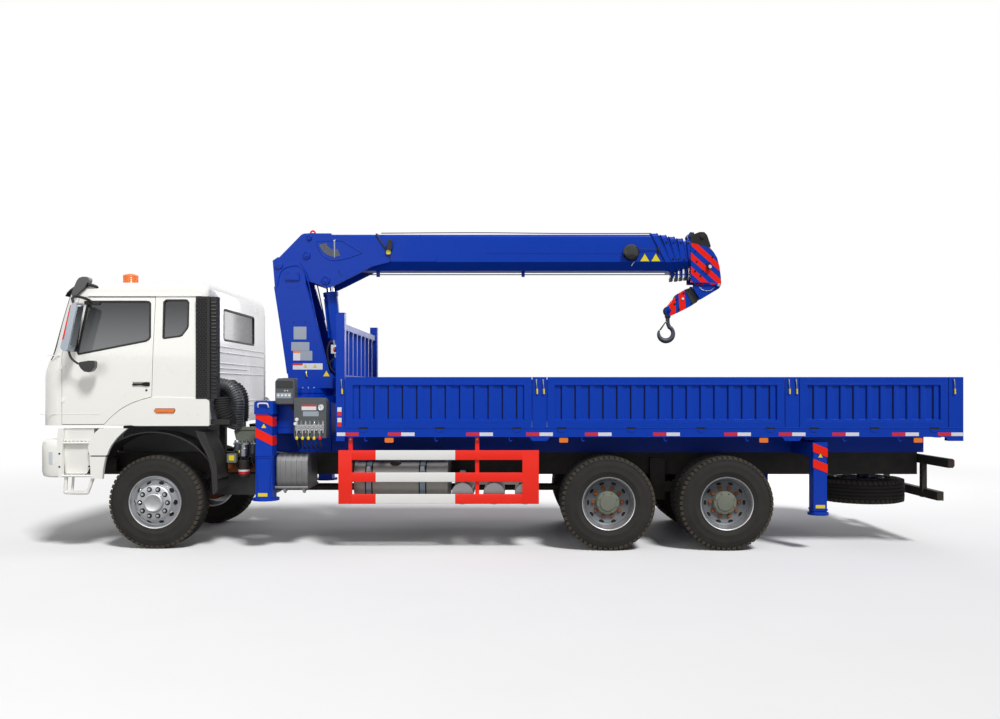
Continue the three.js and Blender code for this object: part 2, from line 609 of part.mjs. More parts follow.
function cabShell() {
  const openings = [
    bothSides(prism('yz', doorOutline, LEFT)),
    bothSides(prism('yz', quarterWindow, LEFT)),
    prism('xz', windscreenOutline, [FRONT_Y - 10, FRONT_Y + 560]),
    prism('xz', rearWindowOutline, [CAB_REAR_Y - 150, CAB_REAR_Y + 10]),
  ];
  // The fixed quarter windows are set in the shell: their panes are part of it.
  const skin = cut(cabSkin, openings, bothSides(hingeRecess()));
  return join(skin, bothSides(join(pane(prism('yz', quarterWindow, LEFT)), hingePins())), tiltArms());
}

function windscreen() {
  return pane(prism('xz', inset(windscreenOutline, SEAT), [FRONT_Y - 10, FRONT_Y + 560]));
}

function rearWindow() {
  return pane(prism('xz', inset(rearWindowOutline, SEAT), [CAB_REAR_Y - 150, CAB_REAR_Y + 10]));
}

function door() {
  const blank = cabSkin.intersect(prism('yz', inset(doorOutline, GAP), LEAF));
  // The leaf keeps no part of the cab's floor, so its foot swings clear of the sill.
  const floor = box(
    [0, CAB_HALF_WIDTH - CAB_WALL],
    [DOOR_FRONT_Y, DOOR_REAR_Y],
    [CAB_BOTTOM, CAB_BOTTOM + CAB_WALL],
  );
  const leaf = cut(blank, prism('yz', doorWindow, LEFT), hingeRecess(), floor);
  const housing = box(MIRROR_X, [-4852, -4740], [2270, 2820]);
  const armX = [CAB_HALF_WIDTH + 5, MIRROR_X[0] + 20];
  const arms = [box(armX, [-4840, -4815], [2300, 2335]), box(armX, [-4820, -4790], [2740, 2775])];
  const armPlate = box([CAB_HALF_WIDTH - 40, CAB_HALF_WIDTH + 30], [-4880, -4812], [2190, 2335]);
  const upperPlate = box([CAB_HALF_WIDTH - 60, CAB_HALF_WIDTH + 10], [-4820, -4770], [2700, 2775]);
  return join(leaf, housing, arms, armPlate, upperPlate, hingeKnuckles());
}

function doorGlass() {
  return pane(prism('yz', inset(doorWindow, SEAT), LEFT));
}

function cabInterior() {
  const floorZ = CAB_BOTTOM + CAB_WALL + SEAT;
  const floor = box([-1080, 1080], [-5080, -3500], [floorZ, floorZ + 20]);
  const tunnel = box([-330, 330], [-4700, -3500], [floorZ + 19, floorZ + 160]);
  const dash = prism('yz', [
    [-5120, 2120], [-5080, 1700], [-4980, 1600], [-4980, floorZ + 10], [-4900, floorZ + 10], [-4880, 1650],
    [-4780, 1800], [-4790, 2090], [-4950, 2180],
  ], [-1050, 1050]);
  const seat = (x) => join(
    box([x - 260, x + 260], [-4350, -3820], [floorZ + 19, 1900]),
    prism('yz', [[-3900, 1880], [-3800, 1880], [-3660, 2560], [-3760, 2580]], [x - 250, x + 250]),
    box([x - 140, x + 140], [-3800, -3680], [2500, 2740]),
  );
  const ring = new THREE.TorusGeometry(215, 20, 8, 24);
  const spokes = box([-210, 210], [-25, 25], [-12, 12]);
  const wheel = join(toSolid(ring), spokes, rod('z', 60, [-30, 12], [0, 0], 16));
  const steering = join(wheel, rod('z', 30, [-330, 0], [0, 0], 12)).rotate([-35, 0, 0]);
  return join(floor, tunnel, dash, seat(620), seat(-620), steering.translate([620, -4650, 2200]));
}

function airIntake() {
  return join(
    box([930, 1225], [CAB_REAR_Y + SEAT, CAB_REAR_Y + 180], [1731, 2900]),
    box([960, 1160], [CAB_REAR_Y + 100, CAB_REAR_Y + 260], [1500, 1760]),
  );
}

function sunVisor() {
  return prism('yz', [
    [FRONT_Y + 140, CAB_ROOF - 155], [FRONT_Y + 155, CAB_ROOF - 160], [FRONT_Y + 280, CAB_ROOF - 47],
    [FRONT_Y + 439, CAB_ROOF + SEAT], [FRONT_Y + 460, CAB_ROOF + SEAT], [FRONT_Y + 460, CAB_ROOF + 25],
    [FRONT_Y + 280, CAB_ROOF - 20],
  ], [-1060, 1060]);
}

// ---------------------------------------------------------------- knuckles and wheels
function knuckle(side) {
  const yoke = cut(
    box([-55, 100], [-55, 55], [-125, 125]),
    box([-60, 64], [-90, 90], [-KNUCKLE_OPEN_Z, KNUCKLE_OPEN_Z]),
  );
  const left = join(yoke, rod('x', SPINDLE_R, [99, 185], [0, 0]));
  return side > 0 ? left : mirrored(left);
}

const shoulder = (edge, sign) => [[490, edge], [TYRE_R, edge - 45 * sign]];

function frontWheel(side) {
  const half = TYRE_W / 2;
  const profile = [
    [0, 130], [HUB_BORE_R, 130], [HUB_BORE_R, 34], [190, 34], [190, -40], [208, -40], [208, 45], [262, 55],
    [262, -half + 10], [300, -half], ...shoulder(-half, -1), ...shoulder(half, 1).reverse(),
    [300, half], [275, half - 20], [275, 95], [137, 85], [137, 150], [100, 240], [0, 250],
  ];
  return turned(profile, side);
}

function rearWheel(side) {
  const near = TWIN_GAP / 2;
  const far = near + TYRE_W;
  const bore = REAR_SPINDLE_R + 0.4;
  const inboard = REAR_HUB_X - REAR_WHEEL_X;
  const profile = [
    [0, inboard + 110], [bore, inboard + 110], [bore, inboard], [215, inboard], [215, inboard + 80],
    [265, inboard + 90], [290, -far], ...shoulder(-far, -1), ...shoulder(-near, 1).reverse(),
    [300, -near], [300, near], ...shoulder(near, -1), ...shoulder(far, 1).reverse(),
    [300, far], [272, far - 20], [272, 185], [137, 165], [137, 235], [0, 258],
  ];
  return turned(profile, side);
}

// ---------------------------------------------------------------- outriggers
const legMiddle = (LEG_X[0] + LEG_X[1]) / 2;

function craneBase() {
  const tube = (i) => box(
    [-TUBE_HALF_LENGTH, TUBE_HALF_LENGTH],
    [FRONT_TUBE_Y[0] + i * TUBE_PITCH, FRONT_TUBE_Y[1] + i * TUBE_PITCH],
    TUBE_Z,
  );
  const bore = (i) => box(
    [-TUBE_HALF_LENGTH - 1, TUBE_HALF_LENGTH + 1],
    [FRONT_TUBE_Y[0] + i * TUBE_PITCH + TUBE_WALL, FRONT_TUBE_Y[1] + i * TUBE_PITCH - TUBE_WALL],
    [TUBE_Z[0] + TUBE_WALL, TUBE_Z[1] - TUBE_WALL],
  );
  const pedestalY = [FRONT_TUBE_Y[0] - 5, SLEW_Y + 320];
  const pedestal = box([-RAIL_X, RAIL_X], pedestalY, [FRAME_TOP + SEAT, TUBE_Z[1] + 20]);
  const top = rod('z', TURNTABLE_R + 40, [TUBE_Z[1], TURNTABLE_Z - 40], [0, SLEW_Y], 24);
  const bearing = rod('z', TURNTABLE_R - 10, [TURNTABLE_Z - 41, TURNTABLE_Z], [0, SLEW_Y], 24);
  return cut(join(tube(0), tube(1), pedestal, top, bearing), bore(0), bore(1));
}

// Drawn for the left side about x = 0 and the tube's middle; the beam slides out towards +X.
function outriggerBeam() {
  const halfY = (FRONT_TUBE_Y[1] - FRONT_TUBE_Y[0]) / 2 - TUBE_WALL - 5;
  const z = [TUBE_Z[0] + TUBE_WALL + SEAT, TUBE_Z[1] - TUBE_WALL - 8];
  const beam = cut(
    box([-900, LEG_X[0] + 1], [-halfY, halfY], z),
    box([-901, LEG_X[0] - 20], [-halfY + 10, halfY - 10], [z[0] + 10, z[1] - 10]),
  );
  const leg = cut(
    box(LEG_X, [-95, 95], FRONT_LEG_Z),
    box(
      [LEG_X[0] + LEG_WALL, LEG_X[1] - LEG_WALL],
      [-95 + LEG_WALL, 95 - LEG_WALL],
      [FRONT_LEG_Z[0] - 1, FRONT_LEG_Z[1] - LEG_WALL],
    ),
  );
  return join(beam, leg);
}

function jack(footR, [bottom, top], ramR) {
  // A ram with a round foot below it; the ram's head rests under the leg's top plate.
  return join(
    rod('z', footR, [bottom - FOOT_T - SEAT, bottom - SEAT], [0, 0], 20),
    rod('z', ramR, [bottom - FOOT_T, top - LEG_WALL - SEAT], [0, 0], 20),
  );
}

function rearOutriggers() {
  const beam = cut(
    box([-REAR_LEG_X[0] - 1, REAR_LEG_X[0] + 1], REAR_BEAM_Y, [FRAME_TOP + SEAT, 1235]),
    box(
      [-REAR_LEG_X[0] + 20, REAR_LEG_X[0] - 20],
      [REAR_BEAM_Y[0] + 10, REAR_BEAM_Y[1] - 10],
      [FRAME_TOP + 10, 1225],
    ),
    box([-100, 100], [REAR_BEAM_Y[0] - 1, REAR_BEAM_Y[0] + 20], [FRAME_TOP + 40, 1190]),
  );
  const leg = cut(
    box(REAR_LEG_X, REAR_BEAM_Y, REAR_LEG_Z),
    box(
      [REAR_LEG_X[0] + LEG_WALL, REAR_LEG_X[1] - LEG_WALL],
      [REAR_BEAM_Y[0] + LEG_WALL, REAR_BEAM_Y[1] - LEG_WALL],
      [REAR_LEG_Z[0] - 1, REAR_LEG_Z[1] - LEG_WALL],
    ),
  );
  return join(beam, bothSides(leg));
}

function controlStation() {
  const cabinet = prism('yz', [
    [-2349, 1280], [-1978, 1280], [-1978, 1700], [-2010, 1754], [-2349, 1754],
  ], [1010, 1200]);
  const display = prism('yz', [
    [-2575, 1673], [-2352, 1673], [-2352, 1973], [-2530, 1973], [-2575, 1930],
  ], [1010, 1180]);
  const shelf = box([1010, 1040], [-2575, -1978], [1660, 1700]);
  const bracket = box([RAIL_X + SEAT, 1011], [-2340, -2140], [1380, 1430]);
  const levers = rod('y', 16, [-2330, -2000], [1215, 1320], 10);
  const knobs = [-2310, -2244, -2178, -2112, -2046].map((y) => box([1190, 1230], [y, y + 20], [1300, 1340]));
  return join(cabinet, display, shelf, bracket, levers, knobs);
}

// ---------------------------------------------------------------- crane column and luffing cylinder
const columnOutline = [
  [-2657, 2025], [-2137, 2050], [-2313, 2767], [-2432, 3167], [-2449, 3311], [-2510, 3420], [-2624, 3471],
  [-2780, 3500], [-2847, 3455], [-2820, 3130],
];

function craneColumn() {
  const plate = prism('yz', columnOutline, COLUMN_X);
  const front = prism('yz', [
    [-2657, 2025], [-2617, 2025], [-2780, 3130], [-2800, 3290], [-2836, 3290], [-2820, 3130],
  ], [-COLUMN_X[0] - 1, COLUMN_X[0] + 1]);
  const disc = rod('z', TURNTABLE_R, [TURNTABLE_Z + SEAT, TURNTABLE_Z + 60], [0, SLEW_Y], 24);
  const foot = prism('yz', [
    [-2640, 1859], [-2100, 1859], [-2100, 1990], [-2137, 2051], [-2657, 2026],
  ], [-COLUMN_X[1], COLUMN_X[1]]);
  const lug = prism('yz', [
    [-2130, 1860], [-2020, 1860], [-1985, 1925], [-1985, 1975], [-2020, 2015], [-2100, 2015], [-2130, 1990],
  ], LUFF_LUG_X);
  const slot = box([-95, 95], [-2205, -2090], [1870, 2100]);
  const lowerPin = rod('x', LUFF_PIN_R, [-LUFF_LUG_X[1], LUFF_LUG_X[1]], [LUFF_PIN_Y, LUFF_PIN_Z]);
  const footPin = rod('x', PIN_R, [-COLUMN_X[1] - 20, COLUMN_X[1] + 20], [PIVOT_Y, PIVOT_Z]);
  return join(bothSides(join(plate, lug)), front, disc, cut(foot, slot), lowerPin, footPin);
}

const luffLength = Math.hypot(PIVOT_Y + LUFF_EYE[0] - LUFF_PIN_Y, PIVOT_Z + LUFF_EYE[1] - LUFF_PIN_Z);
const luffTilt = Math.atan2(LUFF_PIN_Y - (PIVOT_Y + LUFF_EYE[0]), PIVOT_Z + LUFF_EYE[1] - LUFF_PIN_Z);

function luffBarrel() {
  const barrel = join(
    rod('z', LUFF_BARREL_R, [100, luffLength - 130], [0, 0]),
    rod('z', LUFF_BARREL_R + 12, [luffLength - 170, luffLength - 130], [0, 0]),
    rod('x', 70, [-54, 54], [0, 0]),
    box([-45, 45], [-60, 60], [0, 105]),
  );
  return cut(
    barrel,
    rod('z', LUFF_BORE_R, [130, luffLength - 190], [0, 0]),
    rod('z', LUFF_ROD_R + SEAT, [luffLength - 191, luffLength - 120], [0, 0]),
    pinHole('x', LUFF_PIN_R, [-60, 60], [0, 0]),
  );
}

function luffRod() {
  return cut(
    join(
      rod('z', LUFF_BORE_R - SEAT, [131, 190], [0, 0]),
      rod('z', LUFF_ROD_R, [189, luffLength - 50], [0, 0]),
      rod('x', 70, [-50, 50], [0, luffLength], 20),
    ),
    rod('x', 36, [-60, 60], [0, luffLength], 16),
  );
}

// ---------------------------------------------------------------- boom, drawn from the foot pin along +Y
function boomProfile(t) {
  // The section's outline in (x, z): a box whose lower sides are drawn in to a narrower keel.
  const slopeLength = Math.hypot(BOOM_HALF_W - BOOM_KEEL_HALF_W, BOOM_SIDE_BOTTOM - BOOM_BOTTOM);
  const nx = (BOOM_SIDE_BOTTOM - BOOM_BOTTOM) / slopeLength;
  const nz = (BOOM_HALF_W - BOOM_KEEL_HALF_W) / slopeLength;
  const c = nx * BOOM_HALF_W - nz * BOOM_SIDE_BOTTOM - t;
  const w = BOOM_HALF_W - t;
  const top = BOOM_TOP - t;
  const bottom = BOOM_BOTTOM + t;
  const side = (nx * w - c) / nz;
  const keel = (c + nz * bottom) / nx;
  return [
    [-keel, bottom], [keel, bottom], [w, side], [w, top - 18], [w - 18, top], [-w + 18, top], [-w, top - 18],
    [-w, side],
  ];
}

function boomEnd(k, offset = 0) {
  // Top and bottom of the slanting end face of section k, 0 being the base.
  return [BOOM_END_TOP + k * COLLAR_STEP_TOP + offset, BOOM_END_BOTTOM + k * COLLAR_STEP_BOTTOM + offset];
}

function boomTube(t, start, [endTop, endBottom]) {
  const slope = (endBottom - endTop) / (BOOM_TOP - BOOM_BOTTOM);
  const reach = 60;
  const keep = prism('yz', [
    [start, BOOM_BOTTOM - reach], [endBottom + slope * reach, BOOM_BOTTOM - reach],
    [endTop - slope * reach, BOOM_TOP + reach], [start, BOOM_TOP + reach],
  ], [-BOOM_HALF_W - 50, BOOM_HALF_W + 50]);
  return prism('xz', boomProfile(t), [start - 10, endBottom + 200]).intersect(keep);
}

function boomBase() {
  const start = 620;
  const tube = cut(boomTube(0, start, boomEnd(0)), boomTube(BOOM_WALL, start - 1, boomEnd(0, 50)));
  const rootOutline = [
    [-80, -40], [-40, -88], [60, -95], [480, -235], [592, -275], [640, -272], [736, -223], [1058, -62],
    [1378, 43], [1378, 90], [640, 395], [416, 414], [269, 396], [-10, 110], [-80, 40],
  ];
  const plates = bothSides(cut(
    prism('yz', rootOutline, [BOOM_HALF_W - 1, BOOM_HALF_W + ROOT_PLATE_T]),
    pinHole('x', PIN_R, [0, 400], [0, 0]),
  ));
  const skin = prism('yz', [
    [-10, 110], [20, 104], [280, 374], [416, 392], [621, 392], [621, 412], [416, 414], [269, 396],
  ], [-BOOM_HALF_W, BOOM_HALF_W]);
  const drum = rod('x', 90, [-BOOM_HALF_W, BOOM_HALF_W], [330, 170]);
  return join(tube, plates, skin, drum);
}

function boomSection(k) {
  const t = BOOM_STEP * k;
  const start = 640 + 30 * k;
  const tube = cut(boomTube(t, start, boomEnd(k)), boomTube(t + BOOM_WALL, start - 1, boomEnd(k, 60)));
  const collar = cut(
    boomTube(t - 13, 4500, boomEnd(k)),
    boomTube(t - 30, 4400, boomEnd(k - 1, 12)),
    boomTube(t + BOOM_WALL, 4400, boomEnd(k, 60)),
  );
  // Wear pads above and below the RAIL_INNER_X end run in the section before.
  const padT = BOOM_STEP - BOOM_WALL - SEAT;
  const padsZ = [[BOOM_BOTTOM + t - padT, BOOM_BOTTOM + t + 2], [BOOM_TOP - t - 2, BOOM_TOP - t + padT]];
  const pads = padsZ.map((z) => box([-60, 60], [start + 5, start + 85], z));
  const guideEnd = boomEnd(k)[1];
  const guide = box([-45, 45], [guideEnd - 42, guideEnd - 4], [-200 + 4 * k, BOOM_BOTTOM + t + 4]);
  return join(tube, collar, guide, pads);
}

function boomHead() {
  const plateOutline = [
    [5178, -200], [5480, -205], [5500, -262], [5545, -262], [5562, -200], [5511, 110], [5420, 250],
    [5390, 440], [5250, 440], [5230, 303], [5178, 300],
  ];
  const stowHole = pinHole('x', STOW_PIN_R, [HEAD_X[0] - 20, HEAD_X[1] + 20], STOW_PIVOT);
  const plates = bothSides(cut(prism('yz', plateOutline, HEAD_X), stowHole));
  const between = [-HEAD_X[0] - 1, HEAD_X[0] + 1];
  const sheaves = [[5325, 400, 82], [5400, 40, 95]].map(([y, z, r]) => rod('x', r, between, [y, z], 20));
  const brow = box(between, [5230, 5262], [250, 330]);
  return join(plates, sheaves, brow);
}

function stowArm() {
  const side = prism('yz', [
    [5506, -226], [5558, -250], [5540, -270], [5310, -412], STOW_END[1], STOW_END[0], [5212, -226],
  ], STOW_X);
  const between = [-STOW_X[0] - 1, STOW_X[0] + 1];
  const web = prism('yz', [[5540, -262], [5532, -275], [5310, -412], [5318, -390]], between);
  const [top, bottom] = STOW_END;
  const end = prism('yz', [top, bottom, [bottom[0] + 12, bottom[1]], [top[0] + 12, top[1]]], between);
  const pin = rod('x', STOW_PIN_R, [-HEAD_X[1] - 10, HEAD_X[1] + 10], STOW_PIVOT);
  return join(bothSides(side), web, end, pin);
}

function hookBlock() {
  const plates = prism('yz', [
    [4878, -520], [5080, -300], [5172, -264], [STOW_END[0][0] - SEAT, STOW_END[0][1] - 4],
    [STOW_END[1][0] - 3, STOW_END[1][1] + 4], [5270, -440], [4960, -606], [4905, -612], [4868, -570],
  ], [-75, 75]);
  const slot = box([-35, 35], [4800, 5075], [-700, -450]);
  const pin = rod('x', HOOK_PIN_R, [-90, 90], HOOK_PIN);
  return join(cut(plates, slot), pin);
}

function hook() {
  const [py, pz] = HOOK_PIN;
  const c = [py - 27, pz - 287];
  const shape = new THREE.Shape();
  shape.moveTo(c[0] + 20, pz - 60);
  shape.lineTo(c[0] + 20, c[1] + 118);
  shape.absarc(c[0], c[1], 120, 1.35, -Math.PI - 0.25, true);
  shape.lineTo(c[0] - 72, c[1] + 30);
  shape.absarc(c[0] + 4, c[1], 68, -Math.PI - 0.35, 1.15, false);
  shape.lineTo(c[0] - 14, c[1] + 130);
  shape.lineTo(c[0] - 14, pz - 60);
  const bend = prism('yz', shape, [-28, 28], 12);
  const shank = join(
    rod('z', 27, [pz - 160, pz - 30], [0, py - 5], 16),
    rod('x', 48, [-26, 26], [py, pz], 20),
  );
  const neck = box([-26, 26], [c[0] - 20, py + 24], [c[1] + 100, pz - 150]);
  return cut(join(bend, shank, neck), pinHole('x', HOOK_PIN_R, [-60, 60], HOOK_PIN));
}

// ---------------------------------------------------------------- assembly
addPart(group, 'chassis_frame', chassisFrame(), 'black');
addPart(group, 'front_axle', frontAxle(), 'black');
addPart(group, 'rear_axles', rearAxles(), 'black');
addPart(group, 'engine', engine(), 'grey');
addPart(group, 'fuel_tank', fuelTank(), 'steel');
addPart(group, 'air_tanks', airTanks(), 'grey');
addPart(group, 'battery_box', batteryBox(), 'black');
addPart(group, 'silencer', silencer(), 'steel');
addPart(group, 'side_guard_left', sideGuard(), 'red');
addPart(group, 'side_guard_right', mirrored(sideGuard()), 'red');
addPart(group, 'front_bumper', frontBumper(), 'white');
addPart(group, 'spare_wheel', spareWheel(), 'tyre');
addPart(group, 'rear_bumper', rearBumper(), 'black');
addPart(group, 'bed_deck', bedDeck(), 'blue');
addPart(group, 'headboard', headboard(), 'blue');
addPart(group, 'crane_base', craneBase(), 'blue');
addPart(group, 'rear_outriggers', rearOutriggers(), 'blue');
addPart(group, 'control_station', controlStation(), 'grey');

const boardSpans = {
  front: [BED_FRONT_Y, PILLARS_Y[0][0]],
  middle: [PILLARS_Y[0][1], PILLARS_Y[1][0]],
  rear: [PILLARS_Y[1][1], REAR_POST_Y],
};
for (const [place, span] of Object.entries(boardSpans)) {
  addPart(group, `${place}_side_board_left`, board(span), 'blue');
  addPart(group, `${place}_side_board_right`, mirrored(board(span)), 'blue');
}
addPart(group, 'tailgate', tailgate(), 'blue');

const cab = addGroup(group, [0, 0, 0]);
addPart(cab, 'cab_shell', cabShell(), 'white');
addPart(cab, 'windscreen', windscreen(), 'glass');
addPart(cab, 'rear_window', rearWindow(), 'glass');
addPart(cab, 'cab_interior', cabInterior(), 'grey');
addPart(cab, 'air_intake', airIntake(), 'black');
addPart(cab, 'sun_visor', sunVisor(), 'black');
addPart(cab, 'door_left', door(), 'white');
addPart(cab, 'door_glass_left', doorGlass(), 'glass');
addPart(cab, 'door_right', mirrored(door()), 'white');
addPart(cab, 'door_glass_right', mirrored(doorGlass()), 'glass');

for (const [side, name] of [[1, 'left'], [-1, 'right']]) {
  const steer = addGroup(group, [side * KINGPIN_X, FRONT_AXLE_Y, AXLE_Z]);
  addPart(steer, `knuckle_${name}`, knuckle(side), 'black');
  const wheelAt = [side * (FRONT_WHEEL_X - KINGPIN_X), 0, 0];
  addPart(steer, `front_wheel_${name}`, frontWheel(side), 'tyre', wheelAt);
  for (const [axle, y] of [['first', REAR_AXLE_1_Y], ['second', REAR_AXLE_2_Y]]) {
    addPart(group, `${axle}_rear_wheel_${name}`, rearWheel(side), 'tyre', [side * REAR_WHEEL_X, y, AXLE_Z]);
  }
}

const tubeMiddle = (FRONT_TUBE_Y[0] + FRONT_TUBE_Y[1]) / 2;
for (const [side, name, i] of [[1, 'left', 0], [-1, 'right', 1]]) {
  const beam = addGroup(group, [0, tubeMiddle + i * TUBE_PITCH, 0]);
  const solid = side > 0 ? outriggerBeam() : mirrored(outriggerBeam());
  addPart(beam, `outrigger_beam_${name}`, solid, 'blue');
  addPart(beam, `front_jack_${name}`, jack(150, FRONT_LEG_Z, 75), 'blue', [side * legMiddle, 0, 0]);
  const rearMiddle = [side * (REAR_LEG_X[0] + REAR_LEG_X[1]) / 2, (REAR_BEAM_Y[0] + REAR_BEAM_Y[1]) / 2, 0];
  addPart(group, `rear_jack_${name}`, jack(117, REAR_LEG_Z, 55), 'blue', rearMiddle);
}

addPart(group, 'crane_column', craneColumn(), 'blue');
const luff = addGroup(group, [0, LUFF_PIN_Y, LUFF_PIN_Z]);
luff.rotation.x = luffTilt;
addPart(luff, 'luff_cylinder', luffBarrel(), 'blue');
addPart(luff, 'luff_rod', luffRod(), 'steel');

const boom = addGroup(group, [0, PIVOT_Y, PIVOT_Z]);
addPart(boom, 'boom_base', boomBase(), 'blue');
for (let k = 1; k <= SECTION_COUNT; k += 1) {
  const section = k < SECTION_COUNT ? boomSection(k) : join(boomSection(k), boomHead());
  addPart(boom, `boom_section_${k + 1}`, section, 'blue');
}
addPart(boom, 'stow_arm', stowArm(), 'blue');
addPart(boom, 'hook_block', hookBlock(), 'red');
addPart(boom, 'hook', hook(), 'steel');

export default group;
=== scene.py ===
"""A lorry with a straight-boom crane between cab and load bed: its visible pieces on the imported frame."""

import json
import math

import bmesh
import bpy
from mathutils import Matrix, Vector


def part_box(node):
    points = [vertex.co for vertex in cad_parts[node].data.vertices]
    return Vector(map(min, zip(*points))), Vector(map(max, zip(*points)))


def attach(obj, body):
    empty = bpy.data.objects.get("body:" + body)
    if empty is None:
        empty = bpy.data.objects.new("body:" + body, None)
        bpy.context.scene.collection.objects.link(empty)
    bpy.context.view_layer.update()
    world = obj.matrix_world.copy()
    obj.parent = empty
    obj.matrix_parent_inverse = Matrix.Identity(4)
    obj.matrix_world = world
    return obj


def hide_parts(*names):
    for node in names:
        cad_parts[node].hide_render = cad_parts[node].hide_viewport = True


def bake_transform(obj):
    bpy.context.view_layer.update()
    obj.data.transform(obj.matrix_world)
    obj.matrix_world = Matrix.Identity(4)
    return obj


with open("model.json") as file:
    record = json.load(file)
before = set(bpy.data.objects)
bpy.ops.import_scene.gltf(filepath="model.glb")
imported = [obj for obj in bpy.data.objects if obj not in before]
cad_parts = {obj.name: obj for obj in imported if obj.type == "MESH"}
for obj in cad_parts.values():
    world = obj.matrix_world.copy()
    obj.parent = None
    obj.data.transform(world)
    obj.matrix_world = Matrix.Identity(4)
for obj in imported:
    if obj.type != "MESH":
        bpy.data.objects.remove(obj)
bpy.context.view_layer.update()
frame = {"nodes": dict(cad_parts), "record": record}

bl_info = {
    "name": "Crane lorry",
    "version": (1, 0, 0),
    "blender": (4, 5, 0),
    "location": "3D View > Sidebar > Crane lorry",
    "description": "Builds the visible pieces of a lorry with a telescopic crane round its packed frame",
    "category": "Add Mesh",
}

MM = 0.001
SIDES = ((1, "left"), (-1, "right"))
MIRRORED = {1: Matrix.Identity(4), -1: Matrix.Scale(-1, 4, (1, 0, 0))}
ACROSS, ALONG, UP = (1, 0, 0), (0, 1, 0), (0, 0, 1)


# ---------------------------------------------------------------------------------------- sizes and colours
def linear(code):
    """An sRGB hex colour as linear red, green and blue."""
    parts = [int(code[i:i + 2], 16) / 255 for i in (0, 2, 4)]
    return tuple(c / 12.92 if c <= 0.04045 else ((c + 0.055) / 1.055) ** 2.4 for c in parts)


def span(node):
    """A frame node's lowest and highest corners at rest, in millimetres."""
    low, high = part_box(node)
    return Vector(low) / MM, Vector(high) / MM


WHEEL_LOW, WHEEL_HIGH = span("front_wheel_left")


def colour_property(name, code, description):
    """A colour on the panel, named by its hex code."""
    return bpy.props.FloatVectorProperty(
        name=name, description=description, subtype="COLOR", size=3, min=0, max=1, default=linear(code)
    )


def length_property(name, millimetres, description):
    """A length on the panel, given in millimetres."""
    return bpy.props.FloatProperty(
        name=name, description=description, min=0, default=millimetres * MM, subtype="DISTANCE",
        unit="LENGTH",
    )


class CranePaints(bpy.types.PropertyGroup):
    crane_blue: colour_property("Crane blue", "003CB4", "Enamel of the crane and the load bed")
    cab_white: colour_property("Cab white", "FAF9F3", "Enamel of the cab and the bumper")
    signal_red: colour_property("Signal red", "FF2410", "Enamel of the guard rails and warning bands")
    band_white: colour_property("Band white", "F1F1EE", "Enamel of the white bands on the guard rails")
    frame_black: colour_property("Frame black", "16171A", "Coating of frame, axles and brackets")
    marker_orange: colour_property("Marker orange", "F57A12", "Lenses of the side markers and the beacon")


class CraneSizes(bpy.types.PropertyGroup):
    tyre_radius: length_property("Tyre radius", (WHEEL_HIGH.z - WHEEL_LOW.z) / 2,
                                 "Outer radius of every tyre")
    tread_depth: length_property("Tread depth", 13, "Depth of the grooves between the tread blocks")
    rib_pitch: length_property("Rib pitch", 159, "Distance from rib to rib on the load bed's boards")
    rib_depth: length_property("Rib depth", 14, "How far a board's ribs stand out")
    edge_round: length_property("Edge round", 3, "Rounding of the edges of welded plate")
    rope_diameter: length_property("Rope diameter", 12, "Diameter of the hoist rope")
    tread_blocks: bpy.props.IntProperty(
        name="Tread blocks", description="Blocks round each shoulder of a tyre", min=12, max=90, default=54
    )


# ------------------------------------------------------------------------------------------------- finishes
def add_node(tree, kind, inputs=None, **settings):
    """Adds a node with its settings, and sets or links its inputs."""
    made = tree.nodes.new(kind)
    for key, value in settings.items():
        setattr(made, key, value)
    for key, value in (inputs or {}).items():
        if isinstance(value, bpy.types.NodeSocket):
            tree.links.new(value, made.inputs[key])
        else:
            made.inputs[key].default_value = value
    return made


def per_mm(size):
    """A texture scale whose features are about this many millimetres across."""
    return 1 / (size * MM)


def tone(colour, share):
    """A colour made lighter or darker."""
    return tuple(min(1.0, c * share) for c in colour[:3]) + (1.0,)


def stripe_mask(tree, place, direction, pitch, width, start):
    """1 on bands of the given width, one every pitch millimetres along a direction, the first at start."""
    along = add_node(
        tree, "ShaderNodeVectorMath", {0: place, 1: Vector(direction).normalized()}, operation="DOT_PRODUCT"
    )
    shifted = add_node(tree, "ShaderNodeMath", {0: along.outputs["Value"], 1: -start * MM}, operation="ADD")
    turn = add_node(tree, "ShaderNodeMath", {0: shifted.outputs[0], 1: pitch * MM},
                    operation="FLOORED_MODULO")
    return add_node(tree, "ShaderNodeMath", {0: turn.outputs[0], 1: width * MM},
                    operation="LESS_THAN").outputs[0]


